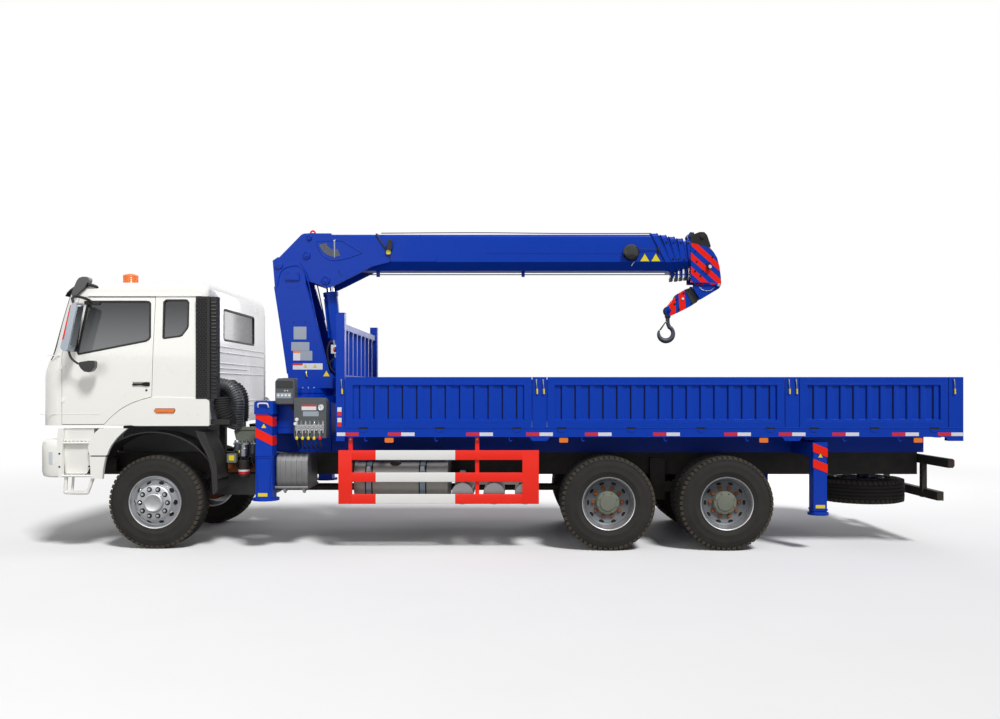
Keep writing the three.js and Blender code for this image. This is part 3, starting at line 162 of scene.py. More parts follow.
def finish(name, colour, roughness, metallic=0.0, coat=0.0, mottle=0.05, mottle_mm=350, grain_mm=4.0,
           grain_height=0.05, wear=None, wear_share=0.6, dust=0.0, stripes=None, scratches=0.0, sheen=0.0,
           alpha=1.0, specular=0.5, painted_shade_fade=None,):
    """One surface: mottled colour, bands, worn edges and dust, with a fine grain and a varied gloss."""
    material = bpy.data.materials.new(name)
    material.use_nodes = True
    tree = material.node_tree
    tree.nodes.clear()
    place = add_node(tree, "ShaderNodeTexCoord").outputs["Object"]
    cloud = add_node(tree, "ShaderNodeTexNoise", {"Vector": place, "Scale": per_mm(mottle_mm),
                                                  "Detail": 4.0})
    base = add_node(
        tree, "ShaderNodeMix",
        {"Factor": cloud.outputs["Fac"], 6: tone(colour, 1 - mottle), 7: tone(colour, 1 + mottle)},
        data_type="RGBA",
    ).outputs[2]
    if painted_shade_fade:
        # The colour runs to a second one between two heights: painted shade.
        second, low, high = painted_shade_fade
        height = add_node(tree, "ShaderNodeSeparateXYZ", {"Vector": place}).outputs["Z"]
        share = add_node(
            tree, "ShaderNodeMapRange", {"Value": height, "From Min": low * MM, "From Max": high * MM}
        ).outputs[0]
        base = add_node(tree, "ShaderNodeMix", {"Factor": share, 6: base, 7: tone(second, 1)},
                        data_type="RGBA").outputs[2]
    for second, *where in stripes or ():
        mask = stripe_mask(tree, place, *where)
        base = add_node(tree, "ShaderNodeMix", {"Factor": mask, 6: base, 7: tone(second, 1)},
                        data_type="RGBA").outputs[2]
    if wear is not None:
        # Edges are found by how far a rounded normal leans from the true one.
        rounded = add_node(tree, "ShaderNodeBevel", {"Radius": 4 * MM}, samples=4).outputs[0]
        true = add_node(tree, "ShaderNodeNewGeometry").outputs["Normal"]
        lean = add_node(tree, "ShaderNodeVectorMath", {0: rounded, 1: true},
                        operation="DOT_PRODUCT").outputs["Value"]
        speck = add_node(tree, "ShaderNodeTexNoise", {"Vector": place, "Scale": per_mm(18),
                                                      "Detail": 3.0}).outputs["Fac"]
        raised = add_node(tree, "ShaderNodeMath", {0: lean, 1: speck}, operation="ADD").outputs[0]
        rubbed = add_node(
            tree, "ShaderNodeMapRange",
            {"Value": raised, "From Min": 1.42, "From Max": 1.1, "To Min": 0.0, "To Max": wear_share},
        ).outputs[0]
        base = add_node(tree, "ShaderNodeMix", {"Factor": rubbed, 6: base, 7: tone(wear, 1)},
                        data_type="RGBA").outputs[2]
    if dust:
        height = add_node(tree, "ShaderNodeSeparateXYZ", {"Vector": place}).outputs["Z"]
        low = add_node(tree, "ShaderNodeMapRange", {"Value": height, "From Min": 1.5, "From Max": 0.0,
                                                    "To Min": 0.15, "To Max": 1.0}).outputs[0]
        patch = add_node(tree, "ShaderNodeTexNoise", {"Vector": place, "Scale": per_mm(130),
                                                      "Detail": 6.0}).outputs["Fac"]
        amount = add_node(tree, "ShaderNodeMath", {0: low, 1: patch}, operation="MULTIPLY").outputs[0]
        amount = add_node(tree, "ShaderNodeMath", {0: amount, 1: dust}, operation="MULTIPLY").outputs[0]
        base = add_node(
            tree, "ShaderNodeMix", {"Factor": amount, 6: base, 7: tone(linear("8B7F6D"), 1)}, data_type="RGBA"
        ).outputs[2]
    gloss = add_node(tree, "ShaderNodeMapRange", {"Value": cloud.outputs["Fac"],
                                                  "To Min": max(0.0, roughness - 0.06),
                                                  "To Max": min(1.0, roughness + 0.08)},).outputs[0]
    grain = add_node(tree, "ShaderNodeTexNoise", {"Vector": place, "Scale": per_mm(grain_mm),
                                                  "Detail": 2.0}).outputs["Fac"]
    if scratches:
        stretched = add_node(tree, "ShaderNodeMapping", {"Vector": place, "Scale": (1, 0.02, 1)}).outputs[0]
        lines = add_node(tree, "ShaderNodeTexNoise", {"Vector": stretched, "Scale": per_mm(3),
                                                      "Detail": 2.0}).outputs["Fac"]
        grain = add_node(tree, "ShaderNodeMix", {"Factor": scratches, 2: grain, 3: lines}).outputs[0]
    bump = add_node(tree, "ShaderNodeBump", {"Height": grain, "Strength": 1.0,
                                             "Distance": grain_height * MM})
    shader = add_node(tree, "ShaderNodeBsdfPrincipled", {"Base Color": base, "Roughness": gloss,
                                                         "Metallic": metallic, "Coat Weight": coat,
                                                         "Coat Roughness": 0.08, "Sheen Weight": sheen,
                                                         "Specular IOR Level": specular, "Alpha": alpha,
                                                         "Normal": bump.outputs[0],},)
    out = add_node(tree, "ShaderNodeOutputMaterial")
    tree.links.new(shader.outputs[0], out.inputs["Surface"])
    return material


FINISHES = {}


def mix_finishes(paints):
    """Mixes every finish of the lorry once."""
    blue, white, red = tuple(paints.crane_blue), tuple(paints.cab_white), tuple(paints.signal_red)
    black, orange, band = tuple(paints.frame_black), tuple(paints.marker_orange), tuple(paints.band_white)
    steel = linear("9B9EA1")
    # Two-pack polyurethane enamel sprayed on plate: a hard gloss with fine orange peel, rubbed on its edges.
    enamel = dict(coat=0.05, specular=0.14, mottle=0.05, grain_mm=6, grain_height=0.03)
    FINISHES.update(
        blue=finish("sprayed_enamel_blue", blue, 0.36, wear=linear("2456BC"), wear_share=0.35, dust=0.08,
                    **enamel),
        white=finish("sprayed_enamel_white", white, 0.28, mottle=0.015, coat=0.6, grain_mm=6,
                     grain_height=0.02, dust=0.10),
        red=finish("sprayed_enamel_red", red, 0.38, wear=linear("F0563F"), dust=0.12, **enamel),
        band_white=finish("sprayed_enamel_band_white", band, 0.4, mottle=0.02, coat=0.3, dust=0.12),
        guard=finish("sprayed_enamel_red_white_bands", red, 0.38, coat=0.15, specular=0.3, dust=0.12,
                     stripes=[(band, (0, 1, 0), 9000, 907, -1409)]),
        # Alkyd chassis coating, brushed thickly: satin, uneven, greyed by road dust.
        black=finish("brushed_chassis_coating", black, 0.6, specular=0.25, mottle=0.25, mottle_mm=120,
                     grain_mm=9, grain_height=0.25, wear=linear("3A3B3D"), dust=0.35),
        # Vulcanised rubber from a mould: matt, grey with dust on the sidewall.
        rubber=finish("moulded_rubber", linear("262626"), 0.78, specular=0.25, mottle=0.12, mottle_mm=90,
                      grain_mm=3, grain_height=0.08, dust=0.12),
        tread=finish("moulded_rubber_tread", linear("33302C"), 0.88, mottle=0.2, mottle_mm=60, grain_mm=3,
                     grain_height=0.15, dust=0.4, specular=0.25),
        # Wheel silver, sprayed on pressed steel.
        silver=finish("sprayed_wheel_silver", linear("C3C5C8"), 0.34, metallic=0.75, mottle=0.06,
                      mottle_mm=80, grain_mm=2.5, grain_height=0.02, dust=0.12),
        # Darker silver for the rear discs: painted shade of their deep recess.
        shaded_disc=finish("wheel_silver_painted_shade", linear("5E646B"), 0.5, metallic=0.5, mottle=0.12,
                           mottle_mm=80, grain_mm=2.5, grain_height=0.05, dust=0.3),
        hub=finish("sprayed_hub_grey", linear("6E7468"), 0.6, mottle=0.1, mottle_mm=60, dust=0.3),
        rust=finish("rusted_steel", linear("8A4B22"), 0.85, mottle=0.3, mottle_mm=12, grain_mm=1.5,
                    grain_height=0.2),
        # Near black: painted shade where it fills openings, gaps and recesses, and the own colour of small
        # black parts.
        dark=finish("unlit_recess", linear("0B0B0C"), 0.9, mottle=0.1),
        # Machine grey enamel on sheet steel.
        grey=finish("sprayed_enamel_grey", linear("4C5053"), 0.48, mottle=0.06, coat=0.2, grain_mm=4,
                    grain_height=0.05, wear=linear("7A7D80"), dust=0.2),
        pale_grey=finish("printed_plate_grey", linear("9DA6B4"), 0.35, mottle=0.03, coat=0.2),
        steel=finish("ground_steel", steel, 0.3, metallic=1.0, mottle=0.08, mottle_mm=60, grain_mm=1.5,
                     grain_height=0.01, scratches=0.7),
        chrome=finish("chromed_steel", linear("D6D8DA"), 0.12, metallic=1.0, mottle=0.03,
                      grain_height=0.005),
        # Forged and cast steel keep a pebbled skin.
        cast=finish("forged_steel_grey", linear("4A4E57"), 0.5, metallic=0.6, mottle=0.15, mottle_mm=30,
                    grain_mm=5, grain_height=0.3),
        aluminium=finish("rolled_aluminium", linear("B9BBBD"), 0.33, metallic=0.9, mottle=0.07,
                         mottle_mm=150, grain_mm=2, grain_height=0.02, scratches=0.8, dust=0.25),
        plastic=finish("moulded_abs_black", linear("131416"), 0.6, mottle=0.1, grain_mm=3, grain_height=0.2,
                       dust=0.15),
        gloss_plastic=finish("moulded_abs_gloss", linear("17181A"), 0.22, mottle=0.05, coat=0.3,
                             grain_height=0.01),
        mirror_shell=finish("sprayed_mirror_shell", linear("AEB8C4"), 0.3, mottle=0.04, coat=0.5),
        mirror=finish("silvered_glass", linear("DDE2E6"), 0.04, metallic=1.0, mottle=0.01,
                      grain_height=0.0),
        orange=finish("moulded_lens_orange", orange, 0.2, mottle=0.06, mottle_mm=14, coat=0.8, grain_mm=5,
                      grain_height=0.3),
        red_lens=finish("moulded_lens_red", linear("C8141A"), 0.2, mottle=0.08, mottle_mm=12, coat=0.8,
                        grain_mm=5, grain_height=0.3),
        clear_lens=finish("moulded_lens_clear", linear("D9DEE2"), 0.12, mottle=0.04, mottle_mm=20, coat=0.8,
                          grain_mm=6, grain_height=0.4),
        red_tape=finish("retroreflective_tape_red", linear("D8141C"), 0.42, mottle=0.08, mottle_mm=9,
                        coat=0.4, grain_mm=8, grain_height=0.2),
        white_tape=finish("retroreflective_tape_white", linear("E4E6E8"), 0.42, mottle=0.06, mottle_mm=9,
                          coat=0.4, grain_mm=8, grain_height=0.2),
        yellow=finish("sprayed_enamel_yellow", linear("F2DC1E"), 0.42, mottle=0.04, coat=0.3),
        # Tinted float glass, too dark to show more than the shapes inside; lighter low and darker at its
        # head, painted shade.
        glass=finish("tinted_float_glass", linear("77797B"), 0.08, mottle=0.02, grain_height=0.0,
                     alpha=0.96, specular=0.3, painted_shade_fade=(linear("2A2C2E"), 2300, 2800)),
        seat=finish("woven_seat_cloth", linear("3B3E44"), 0.9, mottle=0.12, mottle_mm=20, grain_mm=4,
                    grain_height=0.5, sheen=0.3),
        # Red bands over blue, slanting across hook block and boom head.
        head_bands=finish("sprayed_enamel_head_bands", blue, 0.36, stripes=[(red, (0, 0.67, 0.74), 132,
                          66, 4337)], **enamel),
        block_bands=finish("sprayed_enamel_block_bands", blue, 0.36,
                           stripes=[(red, (0, 1, 0.06), 9000, 77, start) for start in (2323, 2448)],
                           **enamel),
        tank=finish("brushed_tank_aluminium", linear("A2A09C"), 0.5, metallic=0.35, mottle=0.1,
                    mottle_mm=220, grain_mm=2, grain_height=0.02, scratches=0.8, dust=0.5),
        muffler=finish("aluminised_sheet", linear("87888A"), 0.42, metallic=0.8, mottle=0.12,
                       mottle_mm=90, grain_mm=2, grain_height=0.03, dust=0.35),
        strap=finish("galvanised_strap", linear("8D9BA8"), 0.4, metallic=0.5, mottle=0.08, mottle_mm=60,
                     dust=0.2),
        hose=finish("moulded_hose_rubber", linear("1A1A1B"), 0.65, mottle=0.1, mottle_mm=40, grain_mm=3),
        rope=finish("laid_wire_rope", linear("3A3A3C"), 0.5, metallic=0.6, mottle=0.3, mottle_mm=10,
                    grain_mm=5, grain_height=1.0),
    )


# ------------------------------------------------------------------------------------------------- mesh kit
def ring_faces(n, count, start=0):
    """Quads between each of count closed rings of n points and the ring that follows it."""
    first = range(start, start + n * count, n)
    return [[a + k, a + (k + 1) % n, a + n + (k + 1) % n, a + n + k] for a in first for k in range(n)]


class Workpiece:
    """A mesh under construction in millimetres. Each face carries the number of its finish."""

    def __init__(self):
        self.mesh = bmesh.new()
        self.finishes = []
        self.place = Matrix()

    def number(self, name):
        if name not in self.finishes:
            self.finishes.append(name)
        return self.finishes.index(name)

    def add(self, points, faces, name):
        verts = [self.mesh.verts.new((self.place @ Vector(p)) * MM) for p in points]
        number = self.number(name)
        for face in faces:
            made = self.mesh.faces.new([verts[i] for i in face])
            made.material_index = number

    def prism(self, plane, outline, low, high, name):
        """An outline in yz, xz or xy, pushed from low to high along the third axis."""
        order = {"yz": (2, 0, 1), "xz": (0, 2, 1), "xy": (0, 1, 2)}[plane]
        points = []
        for level in (low, high):
            for u, v in outline:
                triple = (u, v, level)
                points.append([triple[i] for i in order])
        n = len(outline)
        faces = [list(range(n)), list(range(n, 2 * n))]
        self.add(points, faces + ring_faces(n, 1), name)

    def plate(self, plane, corner, opposite, radius, low, high, name):
        """A rectangle with rounded corners, pushed from low to high."""
        self.prism(plane, rounded_outline(corner, opposite, radius), low, high, name)

    def block(self, x, y, z, name):
        self.prism("xy", [(x[0], y[0]), (x[1], y[0]), (x[1], y[1]), (x[0], y[1])], z[0], z[1], name)

    def turned(self, at, axis, profile, name, segments=48):
        """A profile of (radius, distance) turned about an axis through a point; ends on the axis close it."""
        u = Vector(axis).normalized()
        v = u.orthogonal().normalized()
        w = u.cross(v)
        points, rows = [], []
        for radius, distance in profile:
            if radius == 0:
                rows.append([len(points)] * segments)
                points.append(Vector(at) + u * distance)
                continue
            rows.append(list(range(len(points), len(points) + segments)))
            for k in range(segments):
                turn = 2 * math.pi * k / segments
                points.append(Vector(at) + u * distance + (v * math.cos(turn) + w * math.sin(turn))
                              * radius)
        faces = []
        for one, two in zip(rows, rows[1:]):
            for k in range(segments):
                after = (k + 1) % segments
                corners = [one[k], one[after], two[after], two[k]]
                distinct = list(dict.fromkeys(corners))
                if len(distinct) > 2:
                    faces.append(distinct)
        self.add(points, faces, name)

    def rod(self, start, end, radius, name, segments=20):
        length = (Vector(end) - Vector(start)).length
        self.turned(start, Vector(end) - Vector(start), [(0, 0), (radius, 0), (radius, length),
                                                         (0, length)], name, segments)

    def tube(self, path, radius, name, segments=12, steps=8):
        """A round tube with capped ends along a smooth curve through the points of a path."""
        line = smooth_path([Vector(p) for p in path], steps) if steps > 1 else [Vector(p) for p in path]
        points, side = [], (line[1] - line[0]).orthogonal().normalized()
        for i, p in enumerate(line):
            ahead = (line[min(i + 1, len(line) - 1)] - line[max(i - 1, 0)]).normalized()
            side = (side - ahead * side.dot(ahead)).normalized()
            other = ahead.cross(side)
            size = radius(i / (len(line) - 1)) if callable(radius) else radius
            for k in range(segments):
                turn = 2 * math.pi * k / segments
                points.append(p + (side * math.cos(turn) + other * math.sin(turn)) * size)
        n = segments
        faces = [list(range(n)), list(range(len(points) - n, len(points)))]
        self.add(points, faces + ring_faces(n, len(line) - 1), name)

    def bolt(self, at, axis, size, name, height=None):
        """A hexagon head on a washer."""
        u = Vector(axis).normalized()
        tall = height or size * 0.6
        self.turned(at, u, [(0, 0), (size * 0.85, 0), (size * 0.85, tall * 0.2), (0, tall * 0.2)], name, 16)
        self.turned(at, u, [(0, tall * 0.2), (size * 0.58, tall * 0.2), (size * 0.58, tall),
                            (size * 0.4, tall * 1.12), (0, tall * 1.12)], name, 6)

    def object(self, name, body, slot, round_mm=0.0, smooth=32, replaces=(), mirror=False):
        """Closes the work as a piece that rides on a body."""
        bmesh.ops.remove_doubles(self.mesh, verts=self.mesh.verts, dist=1e-6)
        if mirror:
            bmesh.ops.scale(self.mesh, vec=(-1, 1, 1), verts=self.mesh.verts)
        bmesh.ops.recalc_face_normals(self.mesh, faces=self.mesh.faces)
        data = bpy.data.meshes.new(name)
        self.mesh.to_mesh(data)
        self.mesh.free()
        for used in self.finishes:
            data.materials.append(FINISHES[used])
        return place_piece(data, name, body, round_mm, smooth, replaces)


def place_piece(data, name, body, round_mm=0.0, smooth=32, replaces=()):
    """Links a mesh as a piece: edges rounded, body and the nodes it stands for."""
    piece = bpy.data.objects.new(name, data)
    bpy.context.scene.collection.objects.link(piece)
    data.shade_smooth()
    if round_mm:
        bevel = piece.modifiers.new("rounded_edges", "BEVEL")
        bevel.width = round_mm * MM
        bevel.segments = 2
        bevel.limit_method = "ANGLE"
        bevel.angle_limit = math.radians(40)
        bevel.use_clamp_overlap = True
        bevel.harden_normals = True
    data.set_sharp_from_angle(angle=math.radians(smooth))
    if body:
        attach(piece, body)
    if replaces:
        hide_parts(*replaces)
    return piece


def smooth_path(points, steps):
    """Points on a smooth curve through the given ones."""
    line = []
    for i in range(len(points) - 1):
        a, b = points[max(i - 1, 0)], points[i]
        c, d = points[i + 1], points[min(i + 2, len(points) - 1)]
        for k in range(steps):
            t = k / steps
            line.append(0.5 * (2 * b + (c - a) * t + (2 * a - 5 * b + 4 * c - d) * t * t
                               + (3 * b - a - 3 * c + d) * t * t * t))
    return line + [points[-1]]


def ring_outline(centre, radius, count=24, start=0.0, sweep=2 * math.pi):
    """Points on a circle or an arc of it."""
    closed = abs(sweep - 2 * math.pi) < 1e-6
    last = count if closed else count - 1
    return [(centre[0] + radius * math.cos(start + sweep * k / last),
             centre[1] + radius * math.sin(start + sweep * k / last)) for k in range(count)]


def rounded_outline(low, high, radius, count=5):
    """A rectangle with rounded corners."""
    points = []
    for cu, cv, start in ((high[0] - radius, low[1] + radius, -90), (high[0] - radius, high[1] - radius, 0),
                          (low[0] + radius, high[1] - radius, 90), (low[0] + radius, low[1] + radius, 180)):
        points += ring_outline((cu, cv), radius, count, math.radians(start), math.pi / 2)
    return points


def offset_outline(points, t):
    """A counter-clockwise outline with each edge moved inwards by t."""
    moved = []
    n = len(points)
    for i in range(n):
        p, q, r = (Vector(points[k % n]) for k in (i - 1, i, i + 1))
        d, e = (q - p).normalized(), (r - q).normalized()
        a, b = Vector((-d.y, d.x)), Vector((-e.y, e.x))
        moved.append(tuple(q + (a + b) * t / (1 + a.dot(b))))
    return moved


def solid_of(plane, outline, low, high):
    """A bare closed solid, used to cut others."""
    work = Workpiece()
    work.prism(plane, outline, low, high, "dark")
    return work.mesh


def carve(start, *steps):
    """Cuts, keeps or joins solids one after another and gives the mesh that is left."""
    scene = bpy.context.scene
    data = bpy.data.meshes.new("carved")
    start.to_mesh(data)
    body = bpy.data.objects.new("carved", data)
    scene.collection.objects.link(body)
    helpers = []
    for operation, tool in steps:
        bmesh.ops.recalc_face_normals(tool, faces=tool.faces)
        tool_data = bpy.data.meshes.new("tool")
        tool.to_mesh(tool_data)
        tool.free()
        helper = bpy.data.objects.new("tool", tool_data)
        scene.collection.objects.link(helper)
        helpers.append(helper)
        change = body.modifiers.new("change", "BOOLEAN")
        change.operation = operation
        change.solver = "EXACT"
        change.object = helper
    bpy.context.view_layer.update()
    made = bpy.data.meshes.new_from_object(body.evaluated_get(bpy.context.evaluated_depsgraph_get()))
    for piece in [body, *helpers]:
        used = piece.data
        bpy.data.objects.remove(piece)
        bpy.data.meshes.remove(used)
    result = bmesh.new()
    result.from_mesh(made)
    bpy.data.meshes.remove(made)
    start.free()
    return result


# --------------------------------------------------------------------------------------------------- wheels
def tyre(work, near, far, radius, depth, blocks):
    """A tyre between two distances along the axle, with three grooves and shoulders cut into blocks."""
    mid, half = (near + far) / 2, (far - near) / 2
    floor = radius - depth
    side = [(300, half - 14), (316, half - 4), (352, half - 2), (356, half + 0.5), (372, half + 0.5),
            (376, half - 1), (430, half), (456, half - 1), (459, half - 3), (474, half - 5),
            (500, half - 13), (floor - 6, half - 24), (floor, half - 36)]
    grooves = []
    for rib in (-66, -22, 22, 66):
        grooves += [(floor, rib - 17), (radius, rib - 13), (radius, rib + 13), (floor, rib + 17)]
    profile = [(r, mid - a) for r, a in side] + [(r, mid + a) for r, a in grooves]
    profile += [(r, mid + a) for r, a in reversed(side)] + [(280, mid), (300, mid - half + 14)]
    work.turned((0, 0, 0), ACROSS, profile, "rubber", 72)
    for k in range(blocks):
        for sign in (-1, 1):
            turn = 2 * math.pi * (k + (0.5 if sign > 0 else 0)) / blocks
            work.place = Matrix.Rotation(turn, 4, "X")
            wide = math.pi * radius / blocks * 0.66
            lean = wide * 0.35 * sign
            outer = [(mid + sign * 92, -wide - lean), (mid + sign * 92, wide - lean),
                     (mid + sign * (half - 12), wide + lean), (mid + sign * (half - 12), -wide + lean)]
            points = [(x, y, floor - 4) for x, y in outer[:2]] + [(x + sign * 7, y, floor - 26)
                                                                  for x, y in outer[2:]]
            points += [(x, y, radius - 1.5) for x, y in outer[:2]] + [(x - sign * 4, y, radius - 5)
                                                                      for x, y in outer[2:]]
            work.add(points, [(0, 1, 2, 3), (4, 5, 6, 7), (0, 1, 5, 4), (1, 2, 6, 5), (2, 3, 7, 6),
                              (3, 0, 4, 7)], "tread")
    work.place = Matrix()


def around(work, count, radius, make):
    """Repeats a feature round the wheel at a radius."""
    for k in range(count):
        turn = Matrix.Rotation(2 * math.pi * (k + 0.5) / count, 4, "X")
        work.place = turn @ Matrix.Translation((0, 0, radius))
        make(work)
    work.place = Matrix()


def vent(distance, tall, wide, lean=0):
    """A dark oval sheet lying on the disc, painted shade where an opening would be, with a turned-in lip, at
    a distance along the axle.
    """
    def make(work):
        tilt = Matrix.Rotation(math.radians(lean), 4, "Y")
        work.place = work.place @ Matrix.Translation((distance, 0, 0)) @ tilt
        oval = [(v * wide, u * tall) for u, v in ring_outline((0, 0), 1, 16)]
        work.prism("yz", oval, -6, 1.2, "dark")
        lip = [(v * 1.12, u * 1.12) for v, u in oval]
        points = [(-1.5, *p) for p in lip] + [(2.6, v * 1.05, u * 1.05) for v, u in oval]
        points += [(-3, *p) for p in oval]
        work.add(points, ring_faces(len(oval), 2), "silver")
    return make


def front_wheel(sizes):
    """Tyre, rim with its disc standing out, ten capped nuts and a flat hub cap; the drum behind."""
    work = Workpiece()
    radius = sizes.tyre_radius / MM
    tyre(work, -150, 150, radius, sizes.tread_depth / MM, sizes.tread_blocks)
    flange = [(286, -142), (300, -146), (304, -140), (300, -120), (292, -60), (292, 60), (300, 120),
              (306, 140), (302, 149), (292, 146), (284, 128), (276, 104), (268, 94), (262, 97),
              (256, 108), (210, 160), (204, 172), (199, 178), (190, 181), (118, 181), (114, 190),
              (110, 202), (104, 208), (94, 210), (88, 206), (20, 206), (0, 206)]
    work.turned((0, 0, 0), ACROSS, [(0, 90), (262, 84), (286, -142)] + flange[1:], "silver", 72)
    around(work, 10, 233, vent(134, 27, 29, -49))

    def nut(work):
        """A chromed cap standing in a black ring."""
        work.rod((178, 0, 0), (182.5, 0, 0), 30, "dark", 24)
        work.turned((182.5, 0, 0), ACROSS, [(0, 0), (19, 0), (18, 16), (14, 24), (0, 26)], "chrome", 6)
    around(work, 10, 159, nut)
    # Back of the wheel: brake drum and its rim.
    work.turned((0, 0, 0), ACROSS, [(0, 34), (150, 34), (190, 30), (206, 10), (208, -96), (200, -104),
                                    (0, -104)], "rust", 48)
    return work


def rear_wheel(sizes):
    """Twin tyres on a rim whose disc lies deep, with rusted nuts and a grey hub."""
    work = Workpiece()
    radius = sizes.tyre_radius / MM
    for near, far in ((-320, -20), (20, 320)):
        tyre(work, near, far, radius, sizes.tread_depth / MM, sizes.tread_blocks)
    work.turned((0, 0, 0), ACROSS, [(0, -160), (190, -160), (240, -150), (262, -120), (292, -290),
                                    (300, -316), (304, -310), (298, -280), (290, -60), (286, 0),
                                    (290, 280), (300, 308), (306, 314), (303, 322), (294, 318),
                                    (286, 296), (278, 268), (274, 226), (262, 206), (252, 196),
                                    (240, 191), (214, 188), (196, 178), (150, 176), (0, 176)], "silver",
                72)
    # The disc between rim and hub in darker silver: painted shade.
    work.turned((0, 0, 0), ACROSS, [(136, 170), (268, 170), (268, 216), (262, 210), (252, 200),
                                    (240, 195), (214, 192), (196, 182), (150, 180), (136, 180)],
                "shaded_disc", 72)
    around(work, 10, 226, vent(194, 17, 30))
    around(work, 10, 167, lambda w: w.bolt((179, 0, 0), ACROSS, 29, "rust", 24))
    work.turned((0, 0, 0), ACROSS, [(0, 172), (141, 172), (141, 186), (137, 192), (133, 222), (126, 234),
                                    (96, 240), (88, 252), (40, 256), (0, 256)], "hub", 40)
    around(work, 8, 112, lambda w: w.bolt((236, 0, 0), ACROSS, 14, "hub", 10))
    work.turned((0, 0, 0), ACROSS, [(0, -250), (205, -250), (208, -242), (208, -164), (0, -164)], "rust",
                40)
    return work


# From the lorry's middle to the centre of a front and a rear wheel.
FRONT_TRACK, REAR_TRACK = 970, 925


def build_wheels(sizes):
    """The six road wheels, each in place of its node."""
    for side, name in SIDES:
        for place, make, body in (
            ("front", front_wheel, f"front_{name}_wheel"),
            ("first_rear", rear_wheel, f"first_rear_{name}_wheel"),
            ("second_rear", rear_wheel, f"second_rear_{name}_wheel"),
        ):
            node = f"front_wheel_{name}" if place == "front" else f"{place}_wheel_{name}"
            low, high = span(node)
            # The axle's middle across the lorry is the node's, less what its hub stands out.
            centre = Vector((FRONT_TRACK if place == "front" else REAR_TRACK, (low.y + high.y) / 2,
                             (low.z + high.z) / 2))
            work = make(sizes)
            bmesh.ops.transform(work.mesh, matrix=Matrix.Translation(centre * MM), verts=work.mesh.verts)
            work.object(f"{place}_{name}_wheel_and_tyre", body, "tyre_rubber", smooth=38, replaces=(node,),
                        mirror=side < 0)


def build_spare_wheel(sizes):
    """A wheel lying flat under the frame, hung from a winch bar."""
    work = Workpiece()
    tyre(work, -150, 150, sizes.tyre_radius / MM, sizes.tread_depth / MM, sizes.tread_blocks)
    work.turned((0, 0, 0), ACROSS, [(0, 20), (190, 20), (240, 60), (272, 120), (292, 146), (304, 148),
                                    (300, 120), (290, 0), (300, -120), (304, -148), (292, -146),
                                    (266, -110), (200, 0), (0, 0)], "silver", 60)
    # Dark discs for the stud holes: painted shade.
    around(work, 10, 167, lambda w: w.rod((19, 0, 0), (22, 0, 0), 15, "dark", 12))
    low, high = span("spare_wheel")
    y = (low.y + high.y) / 2
    turn = Matrix.Translation(Vector((0, y, low.z + 150)) * MM) @ Matrix.Rotation(math.radians(90), 4, "Y")
    bmesh.ops.transform(work.mesh, matrix=turn, verts=work.mesh.verts)
    work.rod((0, y, low.z + 150), (0, y, high.z - 5), 24, "black")
    work.block((-430, 430), (y - 40, y + 40), (high.z - 32, high.z), "black")
    work.block((-90, 90), (y - 90, y + 90), (low.z + 130, low.z + 142), "black")
    for x in (-330, 330):
        work.bolt((x, y, high.z - 32), (0, 0, -1), 24, "steel")
    work.object("spare_wheel_on_carrier", "chassis", "tyre_rubber", smooth=38, replaces=("spare_wheel",))


# ------------------------------------------------------------------------------------------------- load bed
# The outer face of boards and rail, half a reflector's length, and its foot and head.
BED_FACE, TAPE, TAPE_Z = 1250, 152, (1313, 1353)
BED_PILLARS = ((380, 543), (3262, 3420), (5124, 5290))
HINGE_Z = 1415


